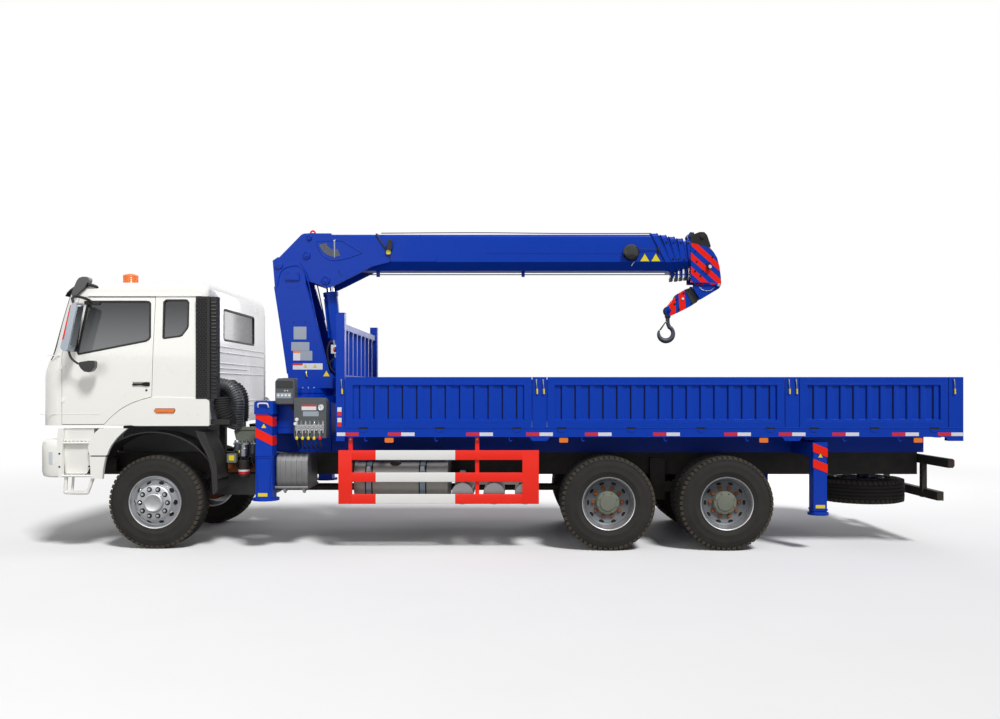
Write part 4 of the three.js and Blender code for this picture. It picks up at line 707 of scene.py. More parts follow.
def ribbed_board(work, plane_x, y0, y1, z0, z1, sizes):
    """A folded side board: a box frame round a panel pressed into ribs, its outer face at plane_x."""
    thick = 45
    top, bottom, end = 92, 80, 85
    frame_faces = (
        ((y0, y1), (z1 - top, z1)), ((y0, y1), (z0, z0 + bottom)),
        ((y0, y0 + end), (z0 + bottom, z1 - top)), ((y1 - end, y1), (z0 + bottom, z1 - top)),
    )
    for y, z in frame_faces:
        work.block((plane_x - thick, plane_x), y, z, "blue")
    # Swage lines pressed along the frame.
    inner = (y0 + end + 6, y1 - end - 6, z0 + bottom + 6, z1 - top - 6)
    for line_z in (z1 - 16, z1 - top + 14):
        work.prism("xz", [(plane_x - 1, line_z - 4), (plane_x + 2.5, line_z), (plane_x - 1, line_z + 4)],
                   y0 + 20, y1 - 20, "blue")
    work.prism("xz", [(plane_x - 1, z0 + 52), (plane_x + 2.5, z0 + 56), (plane_x - 1, z0 + 60)], y0 + 40,
               y1 - 40, "blue")
    # The panel's wave in plan: a flat, a narrow fold, a steep side, a crest and a gentle slope back.
    pitch, depth = sizes.rib_pitch / MM, sizes.rib_depth / MM
    length = inner[1] - inner[0] + 12
    count = max(1, round(length / pitch))
    step = length / count
    back = plane_x - 24
    line = []
    for k in range(count):
        y = inner[0] - 6 + k * step
        line += [(back, y), (back, y + 0.40 * step), (back - 7, y + 0.42 * step),
                 (back - 7, y + 0.49 * step), (back + depth, y + 0.52 * step),
                 (back + depth, y + 0.80 * step), (back, y + 0.95 * step)]
        # A dark strip in each fold: painted shadow of the rib's steep side.
        work.block((back - 8, back - 5.5), (y + 0.42 * step, y + 0.49 * step), (z0 + bottom, z1 - top),
                   "dark")
    line.append((back, inner[1] + 6))
    outline = line + [(plane_x - 38, inner[1] + 6), (plane_x - 38, inner[0] - 6)]
    work.prism("xy", outline, z0 + bottom - 2, z1 - top + 2, "blue")
    # The fold round the opening, sloping in to the panel.
    a0, a1, b0, b1 = y0 + end, y1 - end, z0 + bottom, z1 - top
    c = 14
    for low, high in (((a0, b0), (a1, b0)), ((a1, b1), (a0, b1))):
        sign = 1 if low[1] == b0 else -1
        points = [(plane_x, low[0], low[1]), (plane_x, high[0], high[1]),
                  (plane_x - 26, high[0], high[1] + sign * c), (plane_x - 26, low[0], low[1] + sign * c),
                  (plane_x - 40, low[0], low[1]), (plane_x - 40, high[0], high[1])]
        work.add(points, [(0, 1, 2, 3), (0, 3, 4), (1, 5, 2), (3, 2, 5, 4), (0, 4, 5, 1)], "blue")


BOARD_HINGES = {"front": (-1547, -673, 205), "middle": (711, 1508, 2305, 3093), "rear": (3593, 4280, 4962)}


def board_hinge(work, x, y, z):
    """A round hinge boss pressed into the board's foot over the knuckle on the rail."""
    disc = [(y + 52 * math.cos(a), z + 52 * math.sin(a)) for a in (math.pi * k / 12 for k in range(13))]
    work.prism("yz", disc, x - 2, x + 3.5, "blue")
    for a in (-18, 18):
        work.turned((x + 3.5, y + a, z + 15), ACROSS, [(0, 0), (6, 0), (5, 1.5), (0, 1.5)], "blue", 12)


def rail_hinge(work, x, y, z):
    """The lower half of a board hinge with its pin, on the rail."""
    disc = [(y + 50 * math.cos(a), z - 24 - 36 * math.sin(a))
            for a in (math.pi * k / 12 for k in range(13))]
    work.prism("yz", disc, x - 1, x + 5, "blue")
    # A dark strip between the board's hinge and the rail's: painted shadow.
    work.block((x - 1, x + 5), (y - 52, y + 52), (z - 24, z - 6), "dark")
    work.rod((x + 5, y - 48, z - 1), (x + 5, y + 48, z - 1), 3, "blue", 12)


def build_boards(sizes):
    """Six side boards and the tailgate, each with its half of the hinges."""
    for side, name in SIDES:
        for place in ("front", "middle", "rear"):
            node = f"{place}_side_board_{name}"
            low, high = span(node)
            work = Workpiece()
            ribbed_board(work, BED_FACE, low.y, high.y, low.z, high.z, sizes)
            for y in BOARD_HINGES[place]:
                board_hinge(work, BED_FACE, y, low.z)
            # Stiffeners up the inner face.
            for k in range(1, 4):
                y = low.y + (high.y - low.y) * k / 4
                work.block((1206.5, 1214), (y - 30, y + 30), (low.z + 20, high.z - 20), "blue")
            work.object(f"{place}_{name}_ribbed_board", f"{place}_{name}_board", "blue_paint",
                        sizes.edge_round / MM, replaces=(node,), mirror=side < 0)
    low, high = span("tailgate")
    work = Workpiece()
    ribbed_board(work, 0, low.x, high.x, low.z, high.z, sizes)
    for x in (-800, -270, 270, 800):
        board_hinge(work, 0, x, low.z)
    turn = Matrix.Translation((0, high.y * MM, 0)) @ Matrix.Rotation(math.radians(90), 4, "Z")
    bmesh.ops.transform(work.mesh, matrix=turn, verts=work.mesh.verts)
    work.object("ribbed_tailgate", "tailgate", "blue_paint", sizes.edge_round / MM, replaces=("tailgate",))


def latch(work, y):
    """A drop-nosed board latch on a post: pivot, grey lever and yellow grip."""
    x, z = 1251, 1930
    work.block((x - 1, x + 3), (y - 16, y + 16), (z - 10, z + 36), "blue")
    work.rod((x, y, z + 22), (x + 16, y, z + 22), 9, "steel", 12)
    work.tube([(x + 12, y, z + 24), (x + 16, y + 3, z - 30), (x + 12, y + 8, z - 82)], 6, "steel", 8, 4)
    work.tube([(x + 12, y + 8, z - 78), (x + 10, y + 10, z - 138)], 10, "yellow", 10, 2)
    work.block((x, x + 10), (y - 12, y + 12), (z - 150, z - 136), "blue")


def build_bed_trim():
    """What is fixed to the bed: rail hinges, latches, hooks, reflectors, floor and headboard plates."""
    for side, name in SIDES:
        work = Workpiece()
        for place in BOARD_HINGES:
            for y in BOARD_HINGES[place]:
                rail_hinge(work, BED_FACE, y, HINGE_Z)
        # Folded lips along the rail, and gussets under it at each pillar.
        work.prism("xz", [(1248, 1395), (1254, 1399), (1254, 1405), (1248, 1409)], -1755, 5285, "blue")
        work.prism("xz", [(1230, 1301), (1254, 1301), (1254, 1309), (1230, 1312)], -1755, 5285, "blue")
        for y0, y1 in BED_PILLARS:
            work.prism("yz", [(y0 - 38, 1302), (y0, 1256), (y1, 1256), (min(y1 + 38, 5290), 1302)], 1236,
                       1252, "blue")
            for y in (y0 + 22, y1 - 22):
                work.bolt((1252, y, 1276), ACROSS, 10, "blue")
        for y0, y1 in BED_PILLARS:
            for edge in (y0 + 8, y1 - 8):
                work.prism("xy", [(1249, edge - 5), (1253, edge), (1249, edge + 5)], 1425, 1975, "blue")
        for y in (-1795, 425, 502, 3300, 3382, 5180):
            latch(work, y)
        # Tie hooks under the rail.
        for y in (-1527, -725, 121, 947, 1886, 2820, 3926, 4560):
            work.tube([(1243, y, 1302), (1243, y - 6, 1268), (1243, y + 14, 1252), (1243, y + 26, 1268)],
                      6, "blue", 8, 4)
        work.object(f"bed_rail_fittings_{name}", "chassis", "blue_paint", 1.0, mirror=side < 0)
        tape, on_face = Workpiece(), (BED_FACE, BED_FACE + 2)
        for y0 in (-1266, -374, 309, 978, 1756, 2565, 3187, 3797, 4478):
            tape.block(on_face, (y0, y0 + TAPE), TAPE_Z, "red_tape")
            tape.block(on_face, (y0 + TAPE, y0 + 2 * TAPE), TAPE_Z, "white_tape")
        tape.block(on_face, (5000, 5000 + TAPE), TAPE_Z, "red_tape")
        tape.block(on_face, (5000 + TAPE, 5286), TAPE_Z, "white_tape")
        tape.block(on_face, (-1752, -1600), TAPE_Z, "red_tape")
        tape.block(on_face, (-1848, -1752), TAPE_Z, "white_tape")
        for y in (-1252, 736, 3014, 4772):
            tape.block((1232, 1250), (y - 52, y + 52), (1250, 1300), "plastic")
            tape.plate("yz", (y - 50, 1238), (y + 50, 1290), 10, 1240, 1257, "orange")
        # Reflector bands on the headboard post.
        for k in range(2):
            tape.block(on_face, (-1842, -1794), (1420 + 120 * k, 1470 + 120 * k), "red_tape")
            tape.block(on_face, (-1842, -1794), (1470 + 120 * k, 1520 + 120 * k), "white_tape")
        tape.object(f"bed_reflectors_{name}", "chassis", "red_paint", mirror=side < 0)
    # Boards of the floor, and the plates of the headboard and its lamp.
    floor = Workpiece()
    for k in range(12):
        x = -1150 + 191.7 * k
        floor.block((x + 2, x + 189), (-1750, 5195), (1405, 1407.5), "grey")
    for y in range(-1600, 5100, 480):
        for k in range(12):
            floor.rod((-1054 + 191.7 * k, y, 1407), (-1054 + 191.7 * k, y, 1409.5), 9, "steel", 8)
    floor.object("bed_floor_planks", "chassis", "blue_paint")
    head = Workpiece()
    for side, _ in SIDES:
        head.rod((side * 1185, -1858, 2300), (side * 1185, -1880, 2300), 30, "plastic")
        head.turned((side * 1185, -1880, 2300), (0, -1, 0), [(0, 0), (30, 0), (28, 14), (16, 22),
                                                             (0, 24)], "red_lens", 24)
        head.block((side * 1250 - side * 100, side * 1250), (-1861, -1757), (2713, 2719), "blue")
    for x in (-1150 + 287.5 * k for k in range(1, 8)):
        head.block((x - 30, x + 30), (-1836, -1782), (2500, 2529), "blue")
    head.prism("xz", [(-1140, 1425), (1140, 1425), (1140, 1930), (-1140, 1930)], -1823, -1818, "blue")
    for x in range(-1050, 1051, 150):
        head.prism("xy", [(x - 30, -1818), (x - 20, -1828), (x + 20, -1828), (x + 30, -1818)], 1430, 1925,
                   "blue")
    head.object("headboard_fittings", "chassis", "blue_paint", 1.5)


# ------------------------------------------------------------------------------------------------------ cab
CAB_FRONT, CAB_REAR, CAB_FOOT, CAB_TOP = -5290, -3340, 1432, 3085
CAB_BOW = 26  # how far the face's middle stands ahead of its ends
# Rows up the cab: height, half width, how far the front and the rear lean in, front and rear corner radius.
CAB_ROWS = ((1432, 1235, 0, 0, 240, 70), (1700, 1235, 0, 0, 240, 70), (1980, 1235, 0, 0, 240, 70),
            (2060, 1235, 12, 0, 235, 70), (2140, 1235, 45, 0, 225, 70), (2220, 1234, 96, 0, 210, 70),
            (2300, 1231, 124, 0, 200, 70), (2500, 1220, 176, 0, 190, 70), (2700, 1208, 226, 0, 190, 70),
            (2880, 1196, 270, 0, 200, 72), (2950, 1190, 288, 0, 210, 76), (2995, 1180, 304, 3, 230, 84),
            (3030, 1162, 330, 14, 250, 96), (3056, 1136, 364, 32, 260, 110),
            (3074, 1100, 404, 58, 270, 130), (3085, 1050, 460, 95, 280, 150),)
DOOR_LINE = ((-4992, 1440), (-4506, 1440), (-4452, 1500), (-4390, 1558), (-4322, 1611), (-4250, 1655),
             (-4170, 1692), (-4080, 1724), (-3990, 1748), (-3960, 1756), (-3930, 2905), (-4807, 2905),
             (-4992, 2240))
DOOR_WINDOW = ((-4800, 2240), (-4030, 2392), (-4000, 2410), (-3981, 2440), (-3988, 2830), (-4006, 2850),
               (-4040, 2856), (-4660, 2856), (-4700, 2846), (-4720, 2815), (-4815, 2268))
QUARTER_WINDOW = ((-3842, 2440), (-3830, 2422), (-3650, 2446), (-3620, 2458), (-3562, 2536), (-3550, 2566),
                  (-3550, 2840), (-3570, 2868), (-3600, 2872), (-3812, 2872), (-3842, 2846))
SCREEN_LINE = ((-1085, 2300), (-1050, 2286), (1050, 2286), (1085, 2300), (1092, 2330), (1044, 2950),
               (1020, 2985), (980, 2992), (-980, 2992), (-1020, 2985), (-1044, 2950), (-1092, 2330))
SURROUND = ((-1168, 2180), (1168, 2180), (1176, 2330), (1106, 2990), (1060, 3004), (-1060, 3004),
            (-1106, 2990), (-1176, 2330))
REAR_LINE = tuple(rounded_outline((-630, 2436), (630, 2820), 45))


def cab_row(row, t):
    """One closed outline of the cab's skin at a height, moved inwards by t."""
    height, half, front, rear, corner, rear_corner = row
    half, y0, y1 = half - t, CAB_FRONT + front + t, CAB_REAR - rear - t
    corner, rear_corner = corner - t * 0.8, rear_corner - t * 0.5
    points = []
    flat = half - corner
    for k in range(13):
        x = -flat + 2 * flat * k / 12
        points.append((x, y0 + CAB_BOW * (abs(x) / half) ** 2))
    bow = CAB_BOW * (flat / half) ** 2
    points += [(flat + corner * math.sin(a), y0 + bow + corner * (1 - math.cos(a)))
               for a in (math.pi / 2 * k / 9 for k in range(1, 10))]
    points += [(half, y0 + bow + corner + (y1 - rear_corner - y0 - bow - corner) * k / 10)
               for k in range(1, 10)]
    points += [(half - rear_corner * (1 - math.cos(a)), y1 - rear_corner + rear_corner * math.sin(a))
               for a in (math.pi / 2 * k / 5 for k in range(6))]
    left = points[13:]
    points += [(0, y1)]
    points += [(-x, y) for x, y in reversed(left)]
    top = min(height, CAB_TOP - t)
    return [(x, y, max(top, CAB_FOOT + t)) for x, y in points]


def cab_solid(t):
    """The cab's whole outer form as a closed solid, its skin moved inwards by t."""
    rows = [cab_row(row, t) for row in CAB_ROWS]
    if t:
        rows = [row for row in rows if row[0][2] < CAB_TOP - t] + [rows[-1]]
    points, n = [p for row in rows for p in row], len(rows[0])
    faces = ring_faces(n, len(rows) - 1)
    faces.append(list(range(n - 1, -1, -1)))
    centre = Vector((0, -4150, CAB_TOP - t + 7))
    last = points[-n:]
    for share, rise in ((0.72, 5), (0.4, 7)):
        faces += ring_faces(n, 1, len(points) - n)
        points += [((1 - share) * centre.x + share * x, (1 - share) * centre.y + share * y,
                    CAB_TOP - t + rise) for x, y, _ in last]
    faces.append(list(range(len(points) - n, len(points))))
    work = Workpiece()
    work.add(points, faces, "white")
    bmesh.ops.recalc_face_normals(work.mesh, faces=work.mesh.faces)
    return work.mesh


def skin(outer, inner, *steps):
    """The layer of the cab between two depths, carved by the steps."""
    return carve(cab_solid(outer), ("DIFFERENCE", cab_solid(inner)), *steps)


def piece_of(mesh, name, body, slot, finish_name, **settings):
    """A carved mesh as a piece in one finish."""
    work = Workpiece()
    work.mesh.free()
    work.mesh = mesh
    work.number(finish_name)
    for face in mesh.faces:
        face.material_index = 0
    return work.object(name, body, slot, **settings)


def both(plane, outline, low, high):
    """The same cutting solid through both sides of the cab."""
    work = Workpiece()
    work.prism(plane, outline, low, high, "dark")
    work.prism(plane, outline, -high, -low, "dark")
    return work.mesh


def build_pane(name, body, plane, line, reach, depth, **settings):
    """The glass of a window, let into the skin and wider than the opening by 4 mm."""
    pane = skin(depth, depth + 8, ("INTERSECT", solid_of(plane, offset_outline(line, 4), *reach)))
    piece_of(pane, name, body, "window_glass", "glass", **settings)


def build_seal(name, body, plane, rim, opening, reach, **settings):
    """A rubber frame that stands 3 mm out of the skin, between a rim and an opening."""
    seal = skin(-3, 24, ("INTERSECT", solid_of(plane, rim, *reach)),
                ("DIFFERENCE", solid_of(plane, opening, *reach)))
    piece_of(seal, name, body, "black_plastic", "plastic", round_mm=4, **settings)


FACE_REACH, WALL_REACH, SIDE_REACH = (CAB_FRONT - 20, -4700), (-3500, -3300), (1040, 1300)
WINDOWS = (
    ("windscreen", SCREEN_LINE, SURROUND, FACE_REACH),
    ("rear_window", REAR_LINE, offset_outline(REAR_LINE, -6), WALL_REACH),
)


def build_cab_shell():
    """The cab's skin with its openings, and the windows that don't open."""
    shell = skin(
        0, 45, ("DIFFERENCE", both("yz", DOOR_LINE, *SIDE_REACH)),
        ("DIFFERENCE", both("yz", QUARTER_WINDOW, *SIDE_REACH)),
        ("DIFFERENCE", solid_of("xz", SCREEN_LINE, *FACE_REACH)),
        ("DIFFERENCE", solid_of("xz", REAR_LINE, *WALL_REACH)),
    )
    piece_of(shell, "cab_skin", "cab", "white_paint", "white", round_mm=4, smooth=30,
             replaces=("cab_shell",))
    for name, line, rim, reach in WINDOWS:
        build_pane(f"{name}_glass", "cab", "xz", line, reach, 12, replaces=(name,))
        build_seal(f"{name}_seal", "cab", "xz", rim, offset_outline(line, 20), reach)
    for side, name in SIDES:
        build_pane(f"quarter_glass_{name}", "cab", "yz", QUARTER_WINDOW, SIDE_REACH, 10, mirror=side < 0)
        build_seal(f"quarter_seal_{name}", "cab", "yz", offset_outline(QUARTER_WINDOW, -4),
                   offset_outline(QUARTER_WINDOW, 15), SIDE_REACH, mirror=side < 0)


def main_mirror(work):
    """The tall mirror on its two arms, and the small one under it."""
    shape = [(-4766, 2770), (-4759, 2782), (-4716, 2816), (-4704, 2818), (-4694, 2806), (-4692, 2770),
             (-4790, 2300), (-4802, 2276), (-4822, 2268), (-4856, 2280), (-4872, 2300), (-4874, 2322)]
    work.prism("yz", shape, 1330, 1494, "mirror_shell")
    work.prism("yz", [(-4850, 2404), (-4836, 2400), (-4756, 2780), (-4764, 2776)], 1480, 1500, "red")
    work.prism("yz", [(-4694, 2790), (-4686, 2770), (-4776, 2330), (-4790, 2322)], 1342, 1482, "mirror")
    for path in ([(1185, -4660, 2830), (1232, -4700, 2872), (1290, -4790, 2900), (1370, -4800, 2870),
                  (1410, -4760, 2800)], [(1205, -4838, 2330), (1262, -4850, 2322), (1330, -4830, 2312),
                                         (1400, -4820, 2320)], [(1232, -4790, 2800), (1240, -4792, 2600),
                                                                (1240, -4822, 2330)],):
        work.tube(path, 16, "plastic", 12, 6)
    work.tube([(1400, -4830, 2290), (1402, -4800, 2200), (1392, -4736, 2140), (1380, -4680, 2126)], 12,
              "plastic", 10, 6)
    work.prism("yz", [(-4716, 2132), (-4700, 2150), (-4600, 2166), (-4540, 2166), (-4528, 2150),
                      (-4532, 2090), (-4560, 2052), (-4600, 2036), (-4650, 2044), (-4690, 2084)], 1350,
               1416, "gloss_plastic")
    for x, y, z, wide, tall in ((1186, -4660, 2836, 90, 22), (1216, -4838, 2330, 34, 70)):
        work.block((x - 12, x + 16), (y - wide, y + wide), (z - tall, z + tall), "plastic")


def build_doors():
    """Both doors with window, seal, handle, mirrors, hinges and inner panel."""
    for side, name in SIDES:
        leaf = skin(0, 42, ("INTERSECT", solid_of("yz", offset_outline(DOOR_LINE, 7), *SIDE_REACH)),
                    ("DIFFERENCE", solid_of("yz", DOOR_WINDOW, *SIDE_REACH)),
                    ("DIFFERENCE", solid_of("yz", [(-4180, 1878), (-3984, 1878), (-3984, 1928),
                                                   (-4180, 1928)], 1216, 1250)))
        body = f"{name}_door"
        piece_of(leaf, f"door_leaf_{name}", body, "white_paint", "white", round_mm=4, smooth=30,
                 replaces=(f"door_{name}",), mirror=side < 0)
        build_pane(f"door_pane_{name}", body, "yz", DOOR_WINDOW, SIDE_REACH, 10,
                   replaces=(f"door_glass_{name}",), mirror=side < 0)
        build_seal(f"door_seal_{name}", body, "yz", offset_outline(DOOR_WINDOW, -5),
                   offset_outline(DOOR_WINDOW, 16), SIDE_REACH, mirror=side < 0)
        work = Workpiece()
        work.block((1210, 1217), (-4178, -3986), (1880, 1926), "white")
        work.prism("yz", [(-4182, 1896), (-4170, 1890), (-4080, 1892), (-4030, 1882), (-3992, 1884),
                          (-3984, 1898), (-3990, 1920), (-4030, 1926), (-4080, 1912), (-4170, 1912),
                          (-4182, 1906)], 1232, 1248, "dark")
        work.block((1216, 1236), (-4164, -4146), (1894, 1910), "dark")
        work.block((1216, 1236), (-4020, -3998), (1888, 1916), "dark")
        work.turned((1234, -4024, 1834), ACROSS, [(0, 0), (13, 0), (13, 3), (0, 3)], "dark", 16)
        main_mirror(work)
        # Hinges at the leading edge, and the inner trim panel.
        for z in (1720, 2100):
            work.rod((1236, -4984, z - 26), (1236, -4984, z + 26), 9, "white", 12)
            work.block((1226, 1240), (-4984, -4946), (z - 22, z + 22), "white")
        work.block((1150, 1190), (-4860, -3990), (1800, 2190), "plastic")
        work.block((1130, 1160), (-4500, -4150), (1960, 2010), "plastic")
        work.object(f"door_fittings_{name}", body, "black_plastic", 3, mirror=side < 0)


def arch_plate(work, x0, x1, name):
    """The fender's upper band: from the front of the wheel arch over the wheel to the cab's rear."""
    outer = [(-4500, 1432), (-4446, 1500), (-4384, 1558), (-4316, 1611), (-4244, 1655), (-4164, 1692),
             (-4074, 1724), (-3984, 1748), (-3880, 1757), (-3345, 1738), (-3312, 1720), (-3304, 1690),
             (-3304, 1432)]
    work.prism("yz", outer + [(-3330, 1432), (-4110, 1432), (-4220, 1438), (-4400, 1434)],
               x0, x1, name)


BEACON = (480, -4530, 95)


def build_cab_trim():
    """Mouldings and markers of the cab's sides, kerb mirrors, roof lamps and sun visor."""
    for side, name in SIDES:
        work = Workpiece()
        arch_plate(work, 1225, 1243, "white")
        # Rounded lip round the opening, gutter and body lines.
        work.tube([(1236, -4180, 1436), (1236, -4100, 1433), (1236, -3700, 1433), (1236, -3310, 1433)], 9,
                  "white", 8, 4)
        work.prism("xz", [(1188, 2912), (1206, 2908), (1210, 2914), (1206, 2922), (1186, 2926)], -4700,
                   -3400, "white")
        work.prism("yz", [(-5150, 2236), (-5010, 2236), (-5010, 2226), (-5150, 2226)], 1226, 1240, "white")
        work.prism("xy", [(1228, -5045), (1239, -5040), (1228, -5035)], 1470, 2226, "white")
        work.prism("xz", [(1232, 1556), (1240, 1560), (1232, 1564)], -5240, -4560, "white")
        work.object(f"cab_side_mouldings_{name}", "cab", "white_paint", 3, mirror=side < 0)
        lamp = Workpiece()
        lamp.prism("yz", [(-3935, 1600), (-3920, 1628), (-3700, 1628), (-3688, 1604), (-3706, 1572),
                          (-3905, 1572)], 1240, 1246, "plastic")
        lamp.prism("yz", [(-3929, 1601), (-3917, 1623), (-3704, 1623), (-3694, 1604), (-3709, 1577),
                          (-3902, 1577)], 1244, 1254, "orange")
        lamp.prism("yz", [(-3870, 1584), (-3860, 1616), (-3760, 1616), (-3770, 1584)], 1252, 1257, "orange")
        # Kerb mirror in its black shell above the front corner.
        lamp.tube([(1150, -4600, 2996), (1180, -4640, 3030), (1196, -4740, 3050)], 17, "plastic", 10, 6)
        lamp.prism("yz", [(-4884, 2940), (-4858, 3010), (-4822, 3090), (-4800, 3118), (-4760, 3132),
                          (-4710, 3130), (-4688, 3118), (-4690, 3080), (-4720, 3030), (-4760, 2984),
                          (-4830, 2916), (-4866, 2906), (-4882, 2918)], 1130, 1226, "gloss_plastic")
        lamp.object(f"cab_marker_and_kerb_mirror_{name}", "cab", "black_plastic", 1.5, mirror=side < 0)
    roof = Workpiece()
    x, y, r = BEACON
    roof.turned((x, y, 3088), UP, [(0, -20), (r - 4, -20), (r - 4, 30), (r - 12, 38), (0, 38)], "plastic",
                40)
    glow = [(0, 34), (r - 14, 36)] + [(r - 14 + 5 * (k % 2), 44 + 13 * k) for k in range(9)]
    roof.turned((x, y, 3088), UP, glow + [(r - 26, 160), (r - 50, 170), (0, 174)], "orange", 40)
    for k in range(24):
        turn = 2 * math.pi * k / 24
        at = (x + (r - 11) * math.cos(turn), y + (r - 11) * math.sin(turn))
        roof.rod((*at, 3128), (*at, 3244), 4, "orange", 6)
    roof.turned((760, -3620, 3070), UP, [(0, 0), (52, 0), (50, 20), (34, 44), (0, 50)], "red_lens", 28)
    for x in (-900, -450, 0, 450, 900):
        roof.plate("xz", (x - 55, 3062), (x + 55, 3096), 14, -4868, -4800, "orange")
    # A hatch in the roof, and two shallow strengthening ribs.
    roof.plate("xy", (-330, -4350), (330, -3800), 60, 3088, 3108, "white")
    for x in (-780, 780):
        roof.plate("xy", (x - 40, -4650), (x + 40, -3700), 38, 3080, 3094, "white")
    roof.object("roof_beacon_and_lamps", "cab", "white_paint", 4)
    visor = Workpiece()
    for side, _ in SIDES:
        visor.tube([(side * 900, -5000, 3010), (side * 900, -4960, 3060)], 10, "plastic", 8, 2)
    arc = [(-5062, 2930), (-5042, 2966), (-5002, 3006), (-4950, 3042), (-4892, 3072), (-4834, 3090),
           (-4834, 3099), (-4898, 3083), (-4958, 3053), (-5012, 3016), (-5052, 2974), (-5072, 2934)]
    visor.prism("yz", arc, -1000, 1000, "gloss_plastic")
    visor.object("smoked_sun_visor", "cab", "black_plastic", 3, replaces=("sun_visor",))


def build_cab_front():
    """Grille panel, wipers and blank plate of the cab's face."""
    face = Workpiece()
    y = CAB_FRONT
    face.plate("xz", (-860, 1500), (860, 2030), 70, y - 4, y + 20, "plastic")
    for k in range(5):
        z = 1560 + 92 * k
        face.prism("yz", [(y - 12, z + 6), (y - 4, z), (y + 10, z), (y + 10, z + 52), (y - 4, z + 48)],
                   -800, 800, "gloss_plastic")
        face.prism("yz", [(y - 14, z + 40), (y - 10, z + 36), (y - 6, z + 50), (y - 10, z + 52)], -800,
                   800, "chrome")
    face.plate("xz", (-960, 2090), (960, 2200), 30, y + 4, y + 60, "white")
    for x0 in (-700, 60):
        foot = (x0, -5185, 2262)
        face.rod(foot, (x0, -5212, 2268), 16, "plastic", 16)
        face.tube([(x0, -5210, 2270), (x0 + 260, -5178, 2400), (x0 + 430, -5150, 2540)], 8, "plastic", 8, 4)
        face.tube([(x0 + 90, -5190, 2330), (x0 + 430, -5148, 2545), (x0 + 640, -5116, 2690)], 7,
                  "plastic", 6, 3)
    for x in (-940, 940):
        face.plate("xz", (x - 60, 1790), (x + 60, 1850), 16, y - 4, y + 40, "orange")
    face.object("cab_face_panel", "cab", "black_plastic", 3)


def ribbed_hose(work, path, radius, name="hose"):
    """A corrugated hose: rings about 26 mm apart along a smooth path."""
    line = smooth_path([Vector(p) for p in path], 10)
    length = sum((b - a).length for a, b in zip(line, line[1:]))
    count = max(4, int(length / 26))
    work.tube(path, radius * 0.86, name, 20, 10)
    for k in range(count + 1):
        walk, goal = 0.0, length * k / count
        for a, b in zip(line, line[1:]):
            step = (b - a).length
            if walk + step >= goal - 1e-6:
                at = a + (b - a) * ((goal - walk) / step)
                work.turned(at, b - a, [(radius * 0.8, -9), (radius, -6), (radius, 6), (radius * 0.8, 9)],
                            name, 20)
                break
            walk += step


def build_cab_rear():
    """Air intake stack, its hoses and the rear wall's pressings."""
    work = Workpiece()
    y = CAB_REAR
    # The pierced panel on the rear corner; its holes are dark hexagons on its face, painted shade.
    work.prism("xy", [(1150, y + 2), (1215, y - 50), (1238, y - 118), (1246, y - 118), (1246, y + 30),
                      (1216, y + 46), (1206, y + 112), (1120, y + 118), (1110, y + 2)], 1735, 2905,
               "plastic")
    for row in range(46):
        for column in range(4):
            z = 1770 + 24.4 * row
            at = y - 96 + 36 * column + (18 if row % 2 else 0)
            work.prism("yz", [(at - 13, z - 7), (at, z - 11), (at + 13, z - 7), (at + 13, z + 7),
                              (at, z + 11), (at - 13, z + 7)], 1245, 1248, "dark")
    for k in range(26):
        z = 1800 + 41 * k
        work.prism("xz", [(1180, z), (1222, z + 8), (1222, z + 20), (1180, z + 12)], y + 44, y + 108,
                   "gloss_plastic")
    work.prism("xy", [(1240, y + 8), (1250, y + 12), (1250, y + 42), (1240, y + 46)], 1745, 2900, "plastic")
    for z in (1990, 2330, 2660):
        work.block((1150, 1216), (y + 60, y + 124), (z, z + 26), "plastic")
    ribbed_hose(work, [(1090, y + 130, 1740), (1090, y + 140, 1640), (1075, y + 170, 1540),
                       (1040, y + 190, 1470)], 105)
    work.block((940, 1180), (y + 30, y + 250), (1440, 1500), "plastic")
    ribbed_hose(work, [(760, y - 20, 1900), (760, y + 110, 1860), (770, y + 200, 1720),
                       (770, y + 200, 1560), (740, y + 180, 1410)], 88, "grey")
    work.object("air_intake_stack", "cab", "black_plastic", 2, replaces=("air_intake",))
    second = Workpiece()
    ribbed_hose(second, [(420, y - 20, 1880), (420, y + 90, 1850), (430, y + 160, 1730),
                         (430, y + 160, 1500)], 84)
    second.turned((430, y + 160, 1450), UP, [(0, 0), (70, 0), (70, 60), (0, 60)], "plastic", 28)
    # A dark plate for the recess that the hoses leave, painted shade, and lines pressed into the wall.
    second.plate("xz", (180, 1560), (960, 1965), 60, y - 4, y + 3, "dark")
    lip = rounded_outline((170, 1550), (970, 1975), 64)
    inner = rounded_outline((184, 1564), (956, 1961), 58)
    n = len(lip)
    points = [(u, y + 2, v) for u, v in lip] + [(u, y + 14, v) for u, v in lip]
    points += [(u, y + 14, v) for u, v in inner] + [(u, y + 2, v) for u, v in inner]
    second.add(points, [[r * n + k, r * n + (k + 1) % n, ((r + 1) % 4) * n + (k + 1) % n,
                         ((r + 1) % 4) * n + k] for r in range(4) for k in range(n)], "white")
    second.object("engine_air_hose", "cab", "black_plastic", 1.5)
    wall = Workpiece()
    for z, x0, x1 in ((2360, -1090, 1090), (2290, -1090, 1090), (2160, -1090, 1090), (2100, -300, 1090),
                      (2040, -1090, 1090), (1700, -1090, 120), (1640, -1090, 120)):
        wall.prism("yz", [(y - 1, z - 9), (y + 8, z - 3), (y + 8, z + 3), (y - 1, z + 9)], x0, x1, "white")
    for x in (-1130, 1130):
        wall.prism("xy", [(x - 10, y - 1), (x - 3, y + 7), (x + 3, y + 7), (x + 10, y - 1)], 1500, 2880,
                   "white")
    wall.object("rear_wall_pressings", "cab", "white_paint", 2)


